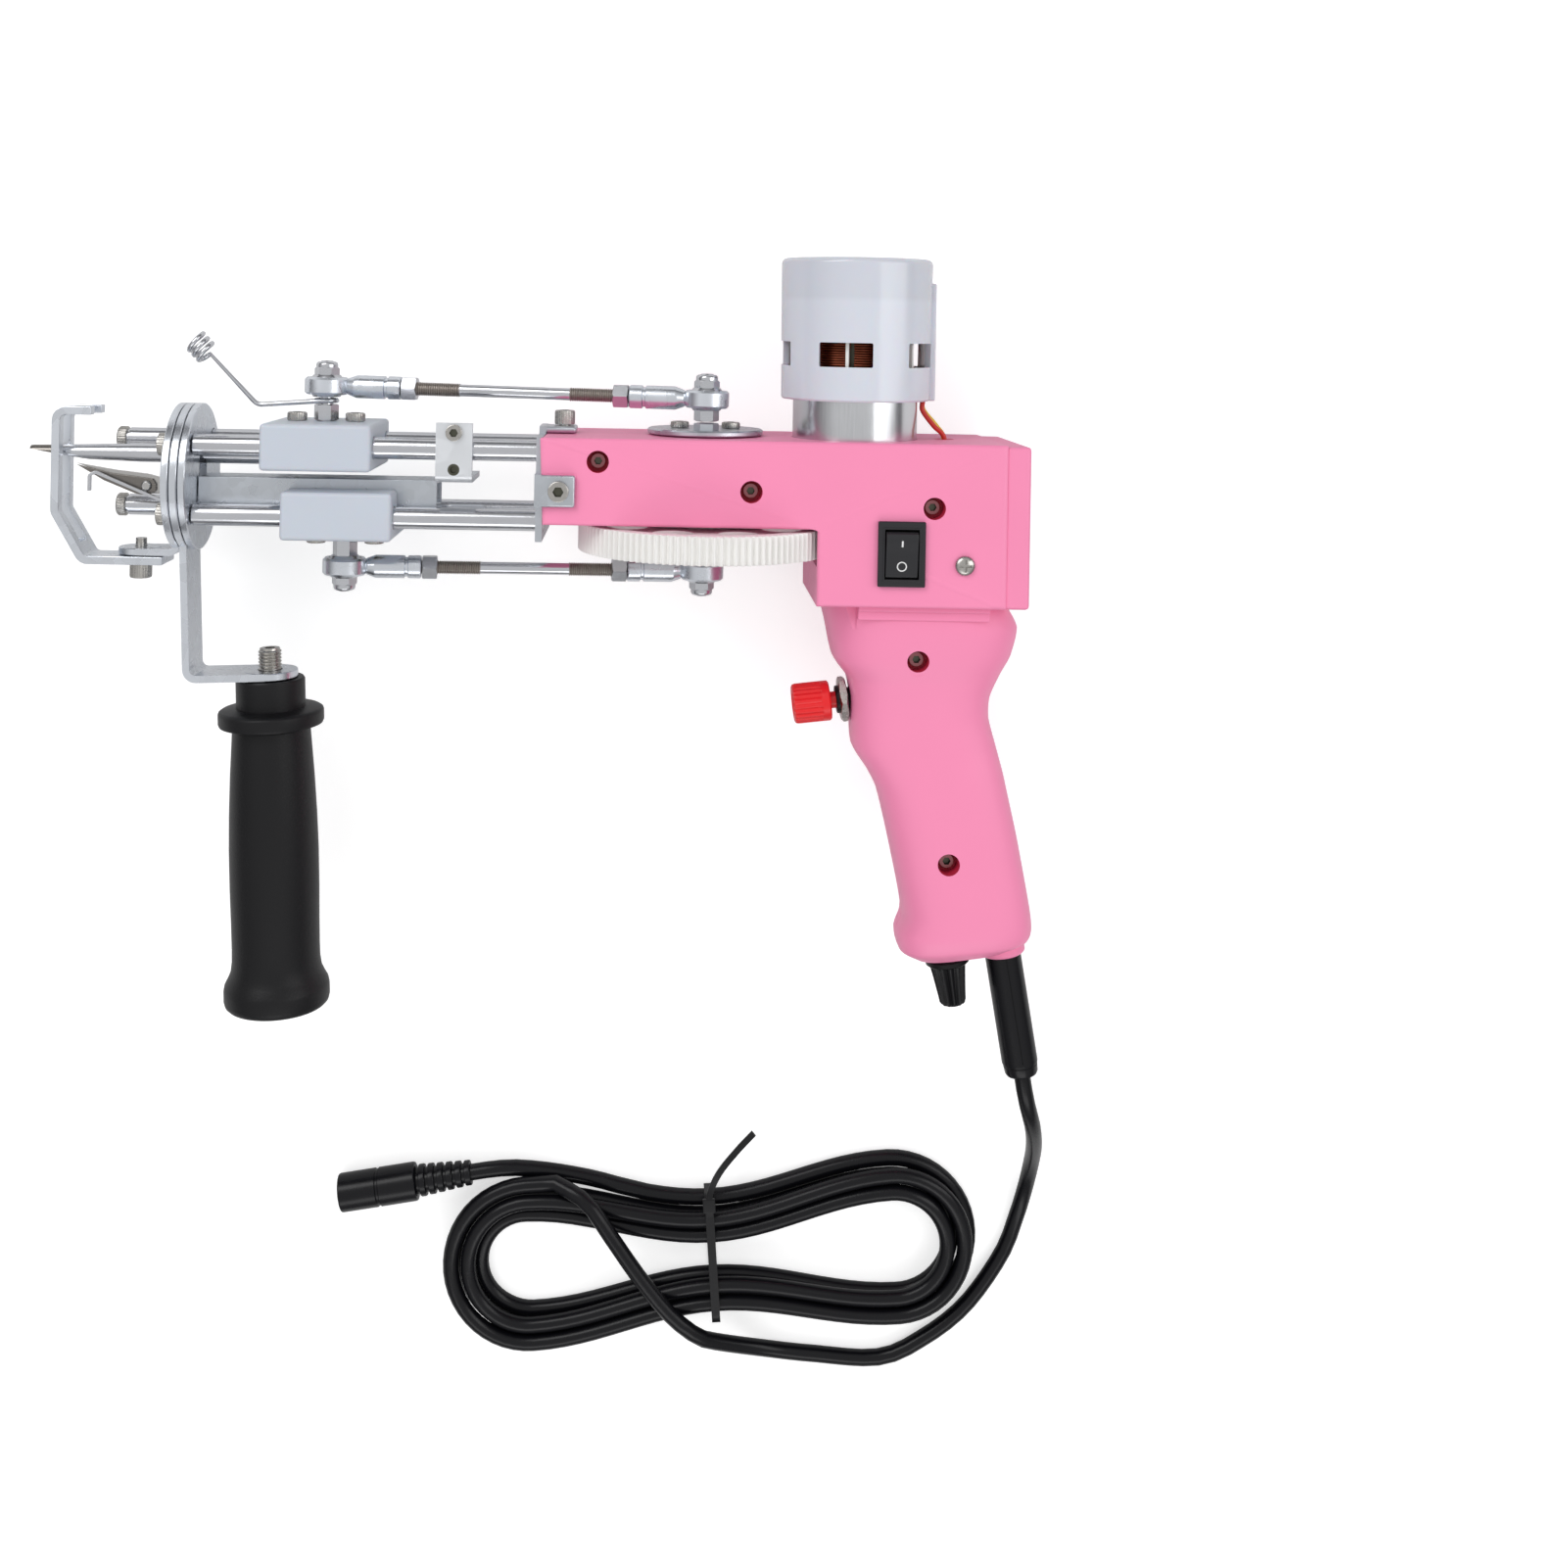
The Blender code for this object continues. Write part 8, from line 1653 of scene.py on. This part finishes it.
def cordTie():
    # a flat band round the hank's waist, its head and its free end
    c = cordSizes
    halfY = hankRadius - c["waistDraw"] + c["radius"] + gap * 2
    thick, wide, corner = tie["thick"], tie["halfWidth"], c["radius"] + gap * 2
    low = tableZ + c["restGap"] + thick
    high = cordRestZ + c["layerRise"] + c["tieRoom"] + c["radius"] + gap * 2

    def loop(half, bottom, top, radius, steps=12):
        points = []
        for x, y, start in ((half - radius, top - radius, 0), (radius - half, top - radius, 0.5),
                            (radius - half, bottom + radius, 1), (half - radius, bottom + radius, 1.5)):
            points += [(x + radius * math.cos(math.pi * (start + 0.5 * i / steps)),
                        y + radius * math.sin(math.pi * (start + 0.5 * i / steps))) for i in range(steps + 1)]
        return points

    outer = loop(halfY + thick, low - thick, high + thick, corner + thick)
    inner = loop(halfY, low, high, corner)
    seat = hankSeat @ onSide
    band = bmesh.new()
    rings = [[band.verts.new(seat @ Vector((y, z, x))) for y, z in line]
             for line, x in ((outer, -wide), (outer, wide), (inner, wide), (inner, -wide))]
    skinned(band, rings, ring=True)
    headHalf, headIn, headOut, headRise = tie["head"]
    head = softened(block((-headHalf, halfY - headIn, high + thick * 0.5),
                          (headHalf, halfY + headOut, high + thick + headRise), hankSeat), 0.0004)
    line = smoothLine([*[(x, halfY + out, high + thick * rise) for x, out, rise in tie["tailOver"]],
                       *[(x, halfY + out, high + rise) for x, out, rise in tie["tailFall"]]], 0.0008)
    tail = bmesh.new()
    rows = []
    tailWide, tailThick = tie["tailHalf"]
    up = Vector((0, 0, tailThick))
    for i, spot in enumerate(line):
        ahead = Vector(tuple(line[min(i + 1, len(line) - 1)] - line[max(i - 1, 0)])).normalized()
        across = ahead.cross(Vector((0, 0, 1))).normalized() * tailWide
        spot = Vector(tuple(spot))
        rows.append([tail.verts.new(hankSeat @ (spot + a + b))
                     for a, b in ((across, up), (-across, up), (-across, -up), (across, -up))])
    skinned(tail, rows, caps=True)
    return finished("cord_tie_strap", joined(band, head, tail), blackPlastic, "machine", "cord_tie", angle=30)


powerCord([*dcConnector(), cordTie()])
print("stage: the handle, switch, trigger, knob and cord fittings are made")

# CAD nodes that stay as they are
for node, finish in {"bearing_lower": nickel, "bearing_upper": nickel, "motor_pinion": bright}.items():
    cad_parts[node].data.materials.clear()
    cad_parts[node].data.materials.append(finish.material)
print("stage: all pieces are made")
